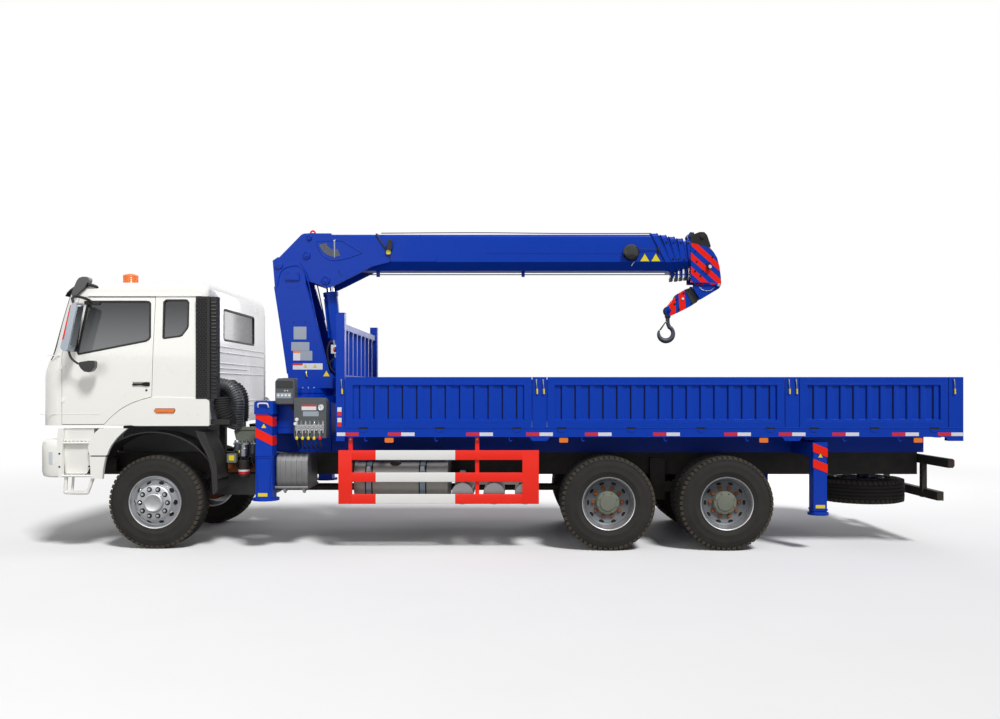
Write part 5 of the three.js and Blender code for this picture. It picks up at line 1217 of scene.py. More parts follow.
def cushion(work, low, high, swell_share, name="seat"):
    """A crowned pad whose sides draw in towards its corners."""
    n = 9
    points, faces = [], []
    for k in range(n):
        w = 2 * k / (n - 1) - 1
        for j in range(n):
            v = 2 * j / (n - 1) - 1
            for i in range(n):
                u = 2 * i / (n - 1) - 1
                if max(abs(u), abs(v), abs(w)) < 0.999:
                    points.append(None)
                    continue
                swell = 1 + swell_share * (1 - max(abs(u), abs(v)) ** 2) * (1 if abs(w) > 0.99 else 0)
                pull = 1 - 0.05 * (abs(u * v) + abs(v * w) + abs(u * w))
                points.append(((low[0] + high[0]) / 2 + (high[0] - low[0]) / 2 * u * pull,
                               (low[1] + high[1]) / 2 + (high[1] - low[1]) / 2 * v * pull,
                               (low[2] + high[2]) / 2 + (high[2] - low[2]) / 2 * w * pull * swell))
    def at(i, j, k):
        return (k * n + j) * n + i
    for a in range(n - 1):
        for b in range(n - 1):
            for c in (0, n - 1):
                faces.append([at(a, b, c), at(a + 1, b, c), at(a + 1, b + 1, c), at(a, b + 1, c)])
                faces.append([at(a, c, b), at(a + 1, c, b), at(a + 1, c, b + 1), at(a, c, b + 1)])
                faces.append([at(c, a, b), at(c, a + 1, b), at(c, a + 1, b + 1), at(c, a, b + 1)])
    used = sorted({i for face in faces for i in face})
    index = {old: new for new, old in enumerate(used)}
    work.add([points[i] for i in used], [[index[i] for i in face] for face in faces], name)


def build_cab_interior():
    """Dashboard, steering wheel, floor and the two seats."""
    work = Workpiece()
    work.block((-1080, 1080), (-5080, -3500), (1493, 1513), "plastic")
    work.prism("xz", [(-330, 1512), (330, 1512), (290, 1650), (-290, 1650)], -4700, -3500, "plastic")
    dash = [(-5120, 2120), (-5080, 1700), (-4980, 1600), (-4980, 1512), (-4900, 1512), (-4880, 1650),
            (-4780, 1800), (-4760, 1960), (-4790, 2090), (-4860, 2150), (-4950, 2180)]
    work.prism("yz", dash, -1050, 1050, "plastic")
    work.prism("yz", [(-4800, 2085), (-4830, 2210), (-4870, 2225), (-4880, 2120)], 420, 830,
               "gloss_plastic")
    for x in (-700, -480, -100, 120):
        work.plate("xz", (x - 80, 1960), (x + 80, 2040), 18, -4768, -4760, "gloss_plastic")
    hub, tilt = Vector((620, -4650, 2200)), Matrix.Rotation(math.radians(-35), 3, "X")
    work.turned(hub, (0, 0.57, 0.82), [(0, -20), (60, -20), (60, 14), (0, 14)], "plastic", 24)
    rim = [hub + tilt @ Vector((215 * math.cos(a), 215 * math.sin(a), 0))
           for a in (math.pi * k / 8 for k in range(17))]
    work.tube(rim, 17, "plastic", 10, 3)
    for a in (0.5, 2.6, 4.7):
        work.rod(hub, hub + tilt @ Vector((205 * math.cos(a), 205 * math.sin(a), 0)), 12, "plastic", 8)
    work.tube([(620, -4660, 2180), (620, -4780, 2000), (620, -4860, 1850)], 34, "plastic", 12, 3)
    work.object("dashboard_and_floor", "cab", "grey_paint", 5, replaces=("cab_interior",))
    for side, name in SIDES:
        x = side * 620
        base = Workpiece()
        base.block((x - 230, x + 230), (-4300, -3840), (1513, 1740), "plastic")
        base.object(f"seat_base_{name}", "cab", "grey_paint", 12)
        for part, low, high, lean, swell_share in (
            ("squab", (x - 260, -4360, 1740), (x + 260, -3830, 1900), 0, 0.16),
            ("back", (x - 250, -3890, 1880), (x + 250, -3750, 2560), -12, 0.0),
            ("headrest", (x - 140, -3790, 2560), (x + 140, -3680, 2740), 0, 0.0),
        ):
            pad = Workpiece()
            if lean:
                pivot = Vector(((low[0] + high[0]) / 2, (low[1] + high[1]) / 2, low[2]))
                leaning = Matrix.Rotation(math.radians(lean), 4, "X")
                pad.place = Matrix.Translation(pivot) @ leaning @ Matrix.Translation(-pivot)
            cushion(pad, low, high, swell_share)
            made = pad.object(f"seat_{part}_{name}", "cab", "grey_paint", smooth=80)
            soft = made.modifiers.new("soft", "SUBSURF")
            soft.levels = soft.render_levels = 1


# ----------------------------------------------------------------------------------------------------- boom
PIVOT_Y, PIVOT_Z = -2768, 3398
BOOM_HALF, KEEL_HALF, BOOM_TOP, SIDE_FOOT, BOOM_FOOT = 200, 110, 402, 51, -48
END_TOP, END_FOOT, END_STEP_TOP, END_STEP_FOOT, SECTION_STEP = 4755, 4982, 105, 60, 18
ROPE_Z = 3315


def from_pivot(points):
    """Points given from the boom's foot pin, as (y, z) of the lorry."""
    return [(y + PIVOT_Y, z + PIVOT_Z) for y, z in points]


def boom_at(x, y, z):
    """A point given along and above the boom's pivot."""
    return (x, y + PIVOT_Y, z + PIVOT_Z)


def boom_outline(t):
    """The boom's section drawn in by t: rounded shoulders, and sides that draw in to a keel."""
    w, top, foot, r = BOOM_HALF - t, BOOM_TOP - t, BOOM_FOOT + t, 46
    half = [(KEEL_HALF - t * 0.45, foot), (w, SIDE_FOOT + t * 0.35)]
    half += [(w - r + r * math.cos(a), top - r + r * math.sin(a))
             for a in (math.pi / 2 * k / 8 for k in range(9))]
    return half + [(-x, z) for x, z in reversed(half)]


def boom_end(k, ahead=0):
    """Where a section ends along the boom, at its top and at its foot."""
    return END_TOP + k * END_STEP_TOP + ahead, END_FOOT + k * END_STEP_FOOT + ahead


def boom_ring(t, ends):
    """The outline set on a plane that slants from one station at the top to another at the foot."""
    top, foot = ends
    lean = (foot - top) / (BOOM_TOP - BOOM_FOOT)
    return [(x, top + (BOOM_TOP - z) * lean + PIVOT_Y, z + PIVOT_Z) for x, z in boom_outline(t)]


def boom_skin(work, t, begin, end, name, wall=10, depth=160):
    """A boom section from one plane to another, open at its far end."""
    back = (end[0] - depth, end[1] - depth)
    rings = [boom_ring(t, begin), boom_ring(t, end), boom_ring(t + wall, end), boom_ring(t + wall, back)]
    n = len(rings[0])
    faces = ring_faces(n, 3) + [list(range(n - 1, -1, -1)), list(range(3 * n, 4 * n))]
    work.add([p for ring in rings for p in ring], faces, name)


def boom_collar(work, k, length):
    """The raised band round a section's mouth."""
    end = boom_end(k)
    start = (end[0] - length, end[1] - length)
    t = SECTION_STEP * k
    boom_skin(work, t - 12, start, (end[0] - 1, end[1] - 1), "blue", wall=14, depth=length - 6)
    for back in (8, length - 8):
        bead = boom_ring(t - 14, (end[0] - back, end[1] - back))
        work.tube(bead[1:-1], 5, "blue", 6, 1)


def warning_triangle(work, plane_x, y, z, side):
    """A blank yellow triangle with a dark edge."""
    h = side * 0.866
    rim = [(y - side / 2, z), (y + side / 2, z), (y, z + h)]
    work.prism("yz", rim, plane_x, plane_x + 1.2, "dark")
    inner = [(y - side / 2 + side * 0.07, z + side * 0.04), (y + side / 2 - side * 0.07, z + side * 0.04),
             (y, z + h - side * 0.09)]
    work.prism("yz", inner, plane_x + 0.6, plane_x + 2, "yellow")


def boss(work, x, y, z, radius, name="blue"):
    """The head of a pin: a ringed disc with a keeper plate."""
    work.turned((x, y, z), ACROSS, [(0, 0), (radius, 0), (radius, 14), (radius - 5, 18),
                                    (radius * 0.72, 18), (radius * 0.68, 11), (radius * 0.45, 11),
                                    (radius * 0.4, 22), (0, 23)], name, 40)


def build_boom_base():
    """The boom's outer section with its root, rope guides, dial, cable reel and blank triangles."""
    work = Workpiece()
    boom_skin(work, 0, (620, 620), boom_end(0), "blue")
    boom_collar(work, 0, 92)
    for side, _ in SIDES:
        mirror_root(work, side)
    # The plate that closes the root's slanting back and top.
    back = from_pivot([(-8, 104), (20, 96), (280, 370), (416, 390), (640, 390), (640, 412), (416, 412),
                       (269, 394)])
    work.prism("yz", back, -200, 200, "blue")
    work.rod(boom_at(-200, 330, 170), boom_at(200, 330, 170), 90, "black", 40)
    work.rod(boom_at(-236, 578, -183), boom_at(236, 578, -183), 34, "steel", 32)
    # Rope guides below the keel.
    for y in (-1567, 290, 2204):
        for x0, x1 in ((-22, -10), (10, 22)):
            work.prism("yz", [(y - 21, ROPE_Z - 28), (y + 21, ROPE_Z - 28), (y + 21, 3354), (y - 21, 3354)],
                       x0, x1, "blue")
        work.rod((-22, y, ROPE_Z - 18), (22, y, ROPE_Z - 18), 8, "steel", 14)
    work.block((-45, 45), (2172, 2212), (3262, 3352), "blue")
    work.block((-52, 52), (2166, 2200), (3226, 3270), "plastic")
    work.object("boom_base_skin", "boom", "blue_paint", 3, smooth=40, replaces=("boom_base",))
    fittings = Workpiece()
    # Red lifting eye on its clevis.
    ring = [(0, -2404 + 27 * math.cos(a), 3848 + 27 * math.sin(a))
            for a in (2 * math.pi * k / 20 for k in range(21))]
    fittings.tube(ring, 11, "red", 14, 1)
    fittings.rod((-24, -2404, 3820), (24, -2404, 3820), 20, "red", 20)
    fittings.block((-40, 40), (-2440, -2368), (3800, 3818), "blue")
    # Black clip and strap round the boom.
    fittings.tube([(205, -1560, 3800), (214, -1500, 3700), (212, -1410, 3560), (206, -1380, 3480)], 9,
                  "plastic", 8, 6)
    fittings.plate("yz", (-1418, 3590), (-1358, 3720), 22, 208, 262, "plastic")
    fittings.plate("yz", (-1430, 3540), (-1376, 3596), 16, 212, 240, "yellow")
    fittings.tube([(-205, -1560, 3800), (0, -1560, 3818), (205, -1560, 3800)], 9, "plastic", 8, 6)
    # The thin cable along the boom's edge.
    fittings.tube([(196, -1500, 3812), (150, -300, 3826), (140, 900, 3818), (180, 1900, 3812)], 6,
                  "plastic", 8, 10)
    # Cable reel in its black housing, and the lead it pays out.
    fittings.turned((200, 1642, 3562), ACROSS, [(0, 0), (86, 0), (100, 8), (104, 26), (100, 52), (84, 70),
                                                (40, 80), (0, 82)], "gloss_plastic", 48)
    for a in range(6):
        turn = math.pi * a / 3 + 0.4
        fittings.bolt((268, 1642 + 76 * math.cos(turn), 3562 + 76 * math.sin(turn)), ACROSS, 12, "plastic")
    fittings.tube([(214, 1690, 3450), (216, 1668, 3425), (210, 1650, 3398)], 7, "steel", 8, 4)
    fittings.tube([(225, 1740, 3610), (212, 1950, 3604), (210, 2080, 3598)], 4, "plastic", 6, 4)
    fittings.tube([(210, 2000, 3560), (222, 1985, 3612), (214, 2010, 3640)], 9, "plastic", 8, 4)
    for y in (1819, 1957):
        warning_triangle(fittings, 200.5, y, 3452, 132)
    # A weld bead along the side plate, and the press line above it.
    fittings.tube([(201, -178, 3556), (201, 1560, 3556)], 3, "blue", 6, 1)
    fittings.object("boom_base_fittings", "boom", "black_plastic", 1.5)


def mirror_root(work, side):
    """The root's side plate with its long tip, the angle dial and the pins, on one side."""
    work.place = MIRRORED[side]
    root = from_pivot([(-80, -40), (-66, -70), (-40, -88), (60, -95), (480, -235), (548, -268),
                       (592, -277), (628, -272), (736, -223), (1058, -62), (1160, -10), (1300, 26),
                       (1378, 43), (1392, 66), (1378, 92), (640, 392), (416, 412), (300, 404), (269, 390),
                       (-10, 104), (-60, 62), (-80, 40)])
    work.prism("yz", root, 199, 226, "blue")
    tip = [(-2060, 3790), (-1857, 3756), (-888, 3587), (-838, 3572), (-805, 3545), (-789, 3508),
           (-800, 3474), (-832, 3453), (-1500, 3451), (-2060, 3451)]
    work.prism("yz", tip, 199, 208, "blue")
    face = 226
    drop = [(-2309, 3700), (-2290, 3708), (-2012, 3712), (-1980, 3705), (-1750, 3572), (-1742, 3556),
            (-1756, 3546), (-1907, 3494), (-2000, 3472), (-2081, 3464), (-2150, 3476), (-2205, 3503),
            (-2256, 3556), (-2288, 3615), (-2306, 3670), (-2309, 3700)]
    work.tube([(face, y, z) for y, z in drop], 6, "blue", 8, 1)
    hub, low, high = Vector((face, -2081, 3706)), 193, 292
    for k in range(11):
        a, b = (math.radians(low + (high - low) * (k + s) / 11) for s in (0.06, 0.94))
        corners = [(hub.y + r * math.cos(t), hub.z + r * math.sin(t)) for r, t in
                   ((104, a), (104, b), (196, b), (196, (a + b) / 2), (196, a))]
        work.prism("yz", corners, face, face + 3, "grey")
    work.prism("yz", [(hub.y - 9, hub.z + 12), (hub.y + 9, hub.z + 12), (hub.y + 6, hub.z - 208),
                      (hub.y - 6, hub.z - 208)], face + 4, face + 7, "pale_grey")
    work.turned((face, hub.y, hub.z + 4), ACROSS, [(0, 0), (14, 0), (14, 10), (0, 12)], "steel", 20)
    boss(work, face, -2431, 3527, 50)
    boss(work, face, -2190, 3215, 56)
    boss(work, face, -2398, 3744, 34)
    for y, z in ((-2028, 3320), (-2012, 3296), (-1982, 3268)):
        work.turned((face, y, z), ACROSS, [(0, 0), (7, 0), (7, 5), (0, 5)], "dark", 12)
    work.place = Matrix()


def build_boom_sections():
    """The four sliding sections, each with its collar, pins and rope guide."""
    for k in range(1, 5):
        t = SECTION_STEP * k
        name = f"section_{k + 1}"
        work = Workpiece()
        boom_skin(work, t, (640 + 30 * k,) * 2, boom_end(k), "blue")
        boom_collar(work, k, 82 if k < 4 else 60)
        foot = boom_end(k)[1] + PIVOT_Y
        work.block((-45, 45), (foot - 40, foot - 6), (3258 + 4 * k, PIVOT_Z + BOOM_FOOT + t + 3), "blue")
        work.block((-52, 52), (foot - 44, foot - 8), (3222 + 7 * k, 3266 + 4 * k), "plastic")
        work.prism("yz", [(foot - 40, ROPE_Z + 34), (foot - 6, ROPE_Z + 34), (foot - 14, ROPE_Z + 8),
                          (foot - 32, ROPE_Z + 8)], 45, 52, "blue")
        # Pins and a grease nipple on the collar.
        for side, _ in SIDES:
            for rise in (90, 300):
                lean = (BOOM_TOP - rise) * (boom_end(k)[1] - boom_end(k)[0]) / (BOOM_TOP - BOOM_FOOT)
                at = (side * (BOOM_HALF - t + 12), boom_end(k)[0] + lean + PIVOT_Y - 40, PIVOT_Z + rise)
                work.turned(at, (side, 0, 0), [(0, 0), (13, 0), (13, 7), (6, 9), (0, 9)], "dark", 16)
        if k < 4:
            work.object(f"boom_{name}_skin", name, "blue_paint", 2.5, smooth=40, replaces=(f"boom_{name}",))
            continue
        build_head(work)
        work.object("boom_section_5_skin", name, "blue_paint", 2.5, smooth=40, replaces=("boom_section_5",))


def build_head(work):
    """Banded cheek plates, with sheaves between them and a lamp."""
    cheek = from_pivot([(5178, -200), (5478, -204), (5488, -216), (5494, -240), (5505, -258),
                        (5522, -266), (5540, -260), (5556, -240), (5562, -200), (5556, -120), (5540, 0),
                        (5511, 110), (5470, 180), (5420, 240), (5330, 262), (5250, 286), (5178, 300)])
    hood = from_pivot([(5178, 296), (5250, 282), (5330, 258), (5420, 236), (5432, 260), (5410, 330),
                       (5386, 400), (5350, 438), (5290, 440), (5240, 420), (5196, 400), (5178, 370)])
    for side, _ in SIDES:
        work.place = MIRRORED[side]
        work.prism("yz", cheek, 128, 150, "head_bands")
        work.prism("yz", hood, 124, 142, "black")
        boss(work, 142, 5325 + PIVOT_Y, 380 + PIVOT_Z, 30, "plastic")
        boss(work, 150, 5400 + PIVOT_Y, 40 + PIVOT_Z, 26, "blue")
        for y, z in ((5235, 190), (5250, 60), (5230, -60), (5300, -120), (5450, 120), (5330, -60)):
            work.bolt(boom_at(150, y, z), ACROSS, 15, "dark")
        work.place = Matrix()
    # Work lamp on the near cheek.
    work.block((150, 176), (2612, 2652), (3366, 3420), "plastic")
    work.turned((172, 2634, 3390), (1, 0.25, 0), [(0, 0), (26, 0), (30, 24), (28, 30), (0, 30)],
                "plastic", 28)
    work.turned((172, 2634, 3390), (1, 0.25, 0), [(0, 30), (24, 30), (20, 35), (0, 36)], "clear_lens", 28)
    groove = [(24, -22), (76, -22), (80, -18), (70, 0), (80, 18), (76, 22), (24, 22)]
    for y, z in ((5325, 360), (5400, 40)):
        for x in (-62, 0, 62):
            work.turned(boom_at(x, y, z), ACROSS, groove, "cast", 36)
        work.rod(boom_at(-126, y, z), boom_at(126, y, z), 25, "steel", 20)
    # Guide roller between two brackets on top of the head.
    work.rod(boom_at(-118, 5190, 404), boom_at(118, 5190, 404), 30, "plastic", 24)
    for x in (-96, 96):
        work.prism("yz", from_pivot([(5150, 340), (5215, 330), (5240, 400), (5226, 440), (5180, 446),
                                     (5152, 410)]), x - 8, x + 8, "blue")


def build_column():
    """What is fixed to the column's side plates: collar line, covers, blank plates and triangles."""
    face = 270
    for side, name in SIDES:
        work = Workpiece()
        line = [(-2790, 3130), (-2781, 3171), (-2764, 3262), (-2737, 3320), (-2690, 3362), (-2633, 3383),
                (-2560, 3394), (-2516, 3388), (-2480, 3360), (-2456, 3320), (-2411, 3221), (-2360, 2990),
                (-2308, 2752)]
        work.tube([(face + 1, y, z) for y, z in line], 8, "blue", 8, 3)
        work.plate("yz", (-2683, 3206), (-2510, 3298), 12, face, face + 20, "blue")
        work.plate("yz", (-2672, 3216), (-2521, 3280), 10, face + 20, face + 24, "blue")
        for y in (-2660, -2533):
            work.block((face, face + 28), (y - 12, y + 12), (3290, 3306), "blue")
        work.plate("yz", (-2640, 3112), (-2524, 3156), 10, face, face + 3, "blue")
        boss(work, face, PIVOT_Y + 6, PIVOT_Z, 46)
        for y in (-2584, -2436):
            work.turned((face, y, 2685), ACROSS, [(0, 0), (9, 0), (9, 4), (0, 4)], "dark", 14)
        for low, high, colour in (((-2584, 2470), (-2424, 2629), "pale_grey"),
                                  ((-2614, 2328), (-2387, 2436), "pale_grey"),
                                  ((-2500, 2206), (-2350, 2326), "pale_grey"),
                                  ((-2589, 2206), (-2500, 2326), "white_tape"),
                                  ((-2594, 2093), (-2221, 2170), "white_tape")):
            work.prism("yz", rounded_outline(low, high, 5), face, face + 2, colour)
        work.prism("yz", [(-2589, 2300), (-2500, 2300), (-2500, 2326), (-2589, 2326)], face + 1, face + 3,
                   "orange")
        work.prism("yz", [(-2594, 2146), (-2470, 2146), (-2470, 2170), (-2594, 2170)], face + 1, face + 3,
                   "red_tape")
        for y, z in ((-2584, 2470), (-2424, 2470), (-2584, 2629), (-2424, 2629)):
            work.turned((face + 1, y + (12 if y < -2500 else -12), z + (12 if z < 2500 else -12)), ACROSS,
                        [(0, 0), (4, 0), (3, 2), (0, 2)], "steel", 10)
        for y in (-2436, -2318):
            warning_triangle(work, face + 2, y, 2118, 44)
        warning_triangle(work, face, -2174, 2004, 96)
        work.tube([(face + 2, -2424, 2075), (face + 22, -2420, 2040), (face + 20, -2412, 2010),
                   (face + 2, -2408, 2004)], 6, "yellow", 8, 3)
        # Edge flange down the front, and bolts round the foot.
        work.tube([(268, -2824, 3130), (268, -2740, 2580), (268, -2662, 2040)], 7, "blue", 8, 2)
        work.tube([(268, -2432, 3160), (268, -2318, 2767), (268, -2142, 2056)], 7, "blue", 8, 2)
        for k in range(9):
            work.bolt((232, -2600 + 58 * k, 1998), ACROSS, 20, "blue")
        work.object(f"column_fittings_{name}", "column", "blue_paint", 1, mirror=side < 0)
    turn = Workpiece()
    for k in range(24):
        angle = 2 * math.pi * k / 24
        turn.bolt((272 * math.cos(angle), -2400 + 272 * math.sin(angle), 1858), UP, 22, "steel", 16)
    for x, bend in ((-60, 0), (-20, 30), (30, 10)):
        turn.tube([(x, -2640, 2300), (x + bend, -2700, 2700), (x, -2776, 3100), (x, -2740, 3330)], 13,
                  "hose", 10, 8)
    turn.turned((0, -2520, 2450), ACROSS, [(0, -150), (150, -150), (150, -138), (104, -134), (104, 134),
                                           (150, 138), (150, 150), (0, 150)], "cast", 48)
    for k in range(22):
        turn.turned((-128 + 12.2 * k, -2520, 2450), ACROSS, [(104, -6), (112, -4), (116, 0), (112, 4),
                                                             (104, 6)], "rope", 40)
    turn.object("turntable_bolts_winch_and_hoses", "column", "bare_steel", 1)


def build_luff():
    """Collars, pipes, valve and hoses of the luffing cylinder."""
    work = Workpiece()
    foot = Vector((0, -2060, 1960))
    axis = (Vector((0, -2190, 3215)) - foot).normalized()
    top = foot + axis * 1090
    for at, r, tall in ((foot + axis * 150, 92, 24), (top - axis * 10, 94, 46),
                        (foot + axis * 620, 88, 12)):
        work.turned(at, axis, [(60, 0), (r, 0), (r, tall), (60, tall)], "blue", 44)
    out = axis.cross(Vector((1, 0, 0))).normalized()
    for x, start, end in ((62, 560, 1040), (-62, 260, 1040)):
        a, b = (foot + axis * along - out * 72 + Vector((x, 0, 0)) for along in (start, end))
        work.tube([a + out * 20, a, a + axis * 30, b - axis * 30, b, b + out * 26], 11, "blue", 10, 3)
    work.block((40, 110), (-2150, -2078), (2300, 2410), "white_tape")
    work.rod((75, -2114, 2400), (75, -2120, 2470), 16, "steel", 16)
    work.rod((75, -2114, 2310), (75, -2100, 2250), 16, "steel", 16)
    work.tube([(75, -2114, 2440), (92, -2170, 2440), (104, -2200, 2300), (90, -2170, 2140),
               (60, -2120, 2060)], 13, "hose", 10, 8)
    work.tube([(60, -2100, 2260), (70, -2170, 2180), (40, -2180, 2080)], 13, "hose", 10, 8)
    work.object("luff_cylinder_fittings", "luff_cylinder", "blue_paint", 1)


def build_ropes(sizes):
    """The hoist rope below the boom: lengths on the base and on the head section, straight lengths between
    the sections' ends and the two falls, these last on no body.
    """
    radius = sizes.rope_diameter / MM / 2
    stations = [-1809] + [boom_end(k)[1] + PIVOT_Y - 23 for k in range(5)]
    fixed = Workpiece()
    fixed.tube([(0, stations[0], 3352), (0, -1760, ROPE_Z + 3), (0, -1567, ROPE_Z)], radius, "rope", 12, 4)
    fixed.rod((0, -1567, ROPE_Z), (0, stations[1], ROPE_Z), radius, "rope", 12)
    fixed.object("rope_below_boom", "boom", "bare_steel")
    bodies = ["boom", "section_2", "section_3", "section_4", "section_5"]
    for k in range(4):
        a, b = stations[k + 1], stations[k + 2]
        piece = Workpiece()
        piece.rod((0, a, ROPE_Z), (0, b, ROPE_Z), radius, "rope", 12)
        made = piece.object(f"rope_to_{bodies[k + 1]}", None, "bare_steel")
        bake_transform(made)
    end = Workpiece()
    end.tube([(0, stations[5], ROPE_Z), (0, stations[5] + 40, ROPE_Z + 6), (0, 2560, 3352)], radius,
             "rope", 12, 4)
    end.object("rope_over_head_sheave", "section_5", "bare_steel")
    upper, lower = from_pivot([(5240, -345), (5096, -402)])
    for x in (-26, 26):
        fall = Workpiece()
        fall.rod((x, *upper), (x, *lower), radius, "rope", 12)
        made = fall.object(f"rope_fall_{'right' if x < 0 else 'left'}", None, "bare_steel")
        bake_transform(made)


def build_hook():
    """Hook block with its sheaves, the forged hook with its latch, and the stowing arm."""
    cheek = from_pivot([(4872, -530), (4886, -514), (4950, -430), (5020, -350), (5080, -302),
                        (5130, -276), (5172, -264), (5200, -266), (5290, -402), (5270, -440),
                        (5200, -488), (5110, -536), (5020, -580), (4960, -606), (4925, -616),
                        (4896, -608), (4874, -588), (4865, -560)])
    work = Workpiece()
    for side, _ in SIDES:
        work.place = MIRRORED[side]
        work.prism("yz", cheek, 52, 75, "block_bands")
        boss(work, 75, 4914 + PIVOT_Y, -550 + PIVOT_Z, 26)
        for y, z in ((5010, -408), (4985, -468), (5040, -530), (5100, -330), (5160, -300), (5200, -460)):
            work.bolt(boom_at(75, y, z), ACROSS, 16, "dark")
        work.place = Matrix()
    dark = from_pivot([(5120, -290), (5172, -262), (5202, -264), (5292, -404), (5268, -444), (5215, -476)])
    work.prism("yz", dark, -80, 80, "plastic")
    work.turned(boom_at(78, 5090, -400), ACROSS, [(0, 0), (16, 0), (16, 6), (0, 8)], "white_tape", 20)
    for x in (-26, 26):
        work.turned(boom_at(x, 5080, -420), ACROSS, [(20, -20), (98, -20), (102, -16), (90, 0), (102, 16),
                                                     (98, 20), (20, 20)], "cast", 44)
    work.turned(boom_at(0, 4914, -550), ACROSS, [(0, -34), (56, -34), (60, -30), (60, -26), (36, -24),
                                                 (36, 24), (60, 26), (60, 30), (56, 34), (0, 34)],
                "plastic", 36)
    work.object("hook_block_cheeks", "hook_block", "red_paint", 4, replaces=("hook_block",))
    y0, z0 = 4914 + PIVOT_Y, -550 + PIVOT_Z
    cy, cz = y0 - 27, z0 - 287
    path = [(0, y0 - 4, z0 - 60), (0, y0 - 4, z0 - 110), (0, y0 - 2, z0 - 150)]
    path += [(0, cy + 93 * math.cos(a), cz + 93 * math.sin(a))
             for a in (math.radians(62 - 9.5 * k) for k in range(29))]
    girths = (26, 26, 26, 26, 28, 31, 33, 34, 33, 30, 26, 20, 12)

    def girth(share):
        at = share * (len(girths) - 1)
        k = min(int(at), len(girths) - 2)
        return girths[k] + (girths[k + 1] - girths[k]) * (at - k)

    bend = Workpiece()
    bend.tube(path, girth, "cast", 24, 3)
    bend.turned((0, y0 - 4, z0 - 20), (0, 0, -1), [(0, 0), (34, 0), (38, 10), (38, 56), (30, 70),
                                                   (0, 70)], "cast", 32)
    bend.rod((-36, y0, z0), (36, y0, z0), 46, "cast", 32)
    bend.prism("yz", [(cy - 8, cz + 150), (cy + 8, cz + 156), (cy - 62, cz + 44), (cy - 84, cz + 36),
                      (cy - 80, cz + 52)], -13, 13, "plastic")
    bend.rod((-20, cy + 4, cz + 148), (20, cy + 4, cz + 148), 10, "steel", 14)
    bend.object("forged_hook", "hook", "cast_hook", 2, smooth=50, replaces=("hook",))
    arm = Workpiece()
    top = from_pivot([(5506, -226), (5540, -240), (5558, -250), (5545, -268), (5310, -410), (5298, -404),
                      (5206, -262), (5212, -226)])
    for side, _ in SIDES:
        arm.prism("yz", top, *sorted((side * 96, side * 112)), "blue")
        arm.prism("yz", from_pivot([(5204, -262), (5216, -256), (5306, -398), (5296, -405)]),
                  *sorted((side * 90, side * 126)), "blue")
        arm.prism("yz", from_pivot([(5214, -226), (5506, -226), (5506, -236), (5214, -236)]),
                  *sorted((side * 92, side * 124)), "blue")
        arm.prism("yz", from_pivot([(5310, -412), (5544, -272), (5548, -262), (5308, -400)]),
                  *sorted((side * 90, side * 122)), "blue")
        arm.rod(boom_at(side * 90, 5531, -234), boom_at(side * 160, 5531, -234), 20, "steel", 24)
    arm.rod(boom_at(-112, 5531, -234), boom_at(112, 5531, -234), 30, "blue", 28)
    arm.prism("yz", from_pivot([(5206, -264), (5214, -258), (5304, -400), (5298, -405)]), -98, 98, "blue")
    arm.tube([boom_at(104, 5500, -244), boom_at(118, 5430, -300), boom_at(118, 5340, -296),
              boom_at(108, 5290, -250)], 5, "steel", 8, 6)
    arm.object("stow_arm_plates", "stow_arm", "blue_paint", 2, replaces=("stow_arm",))


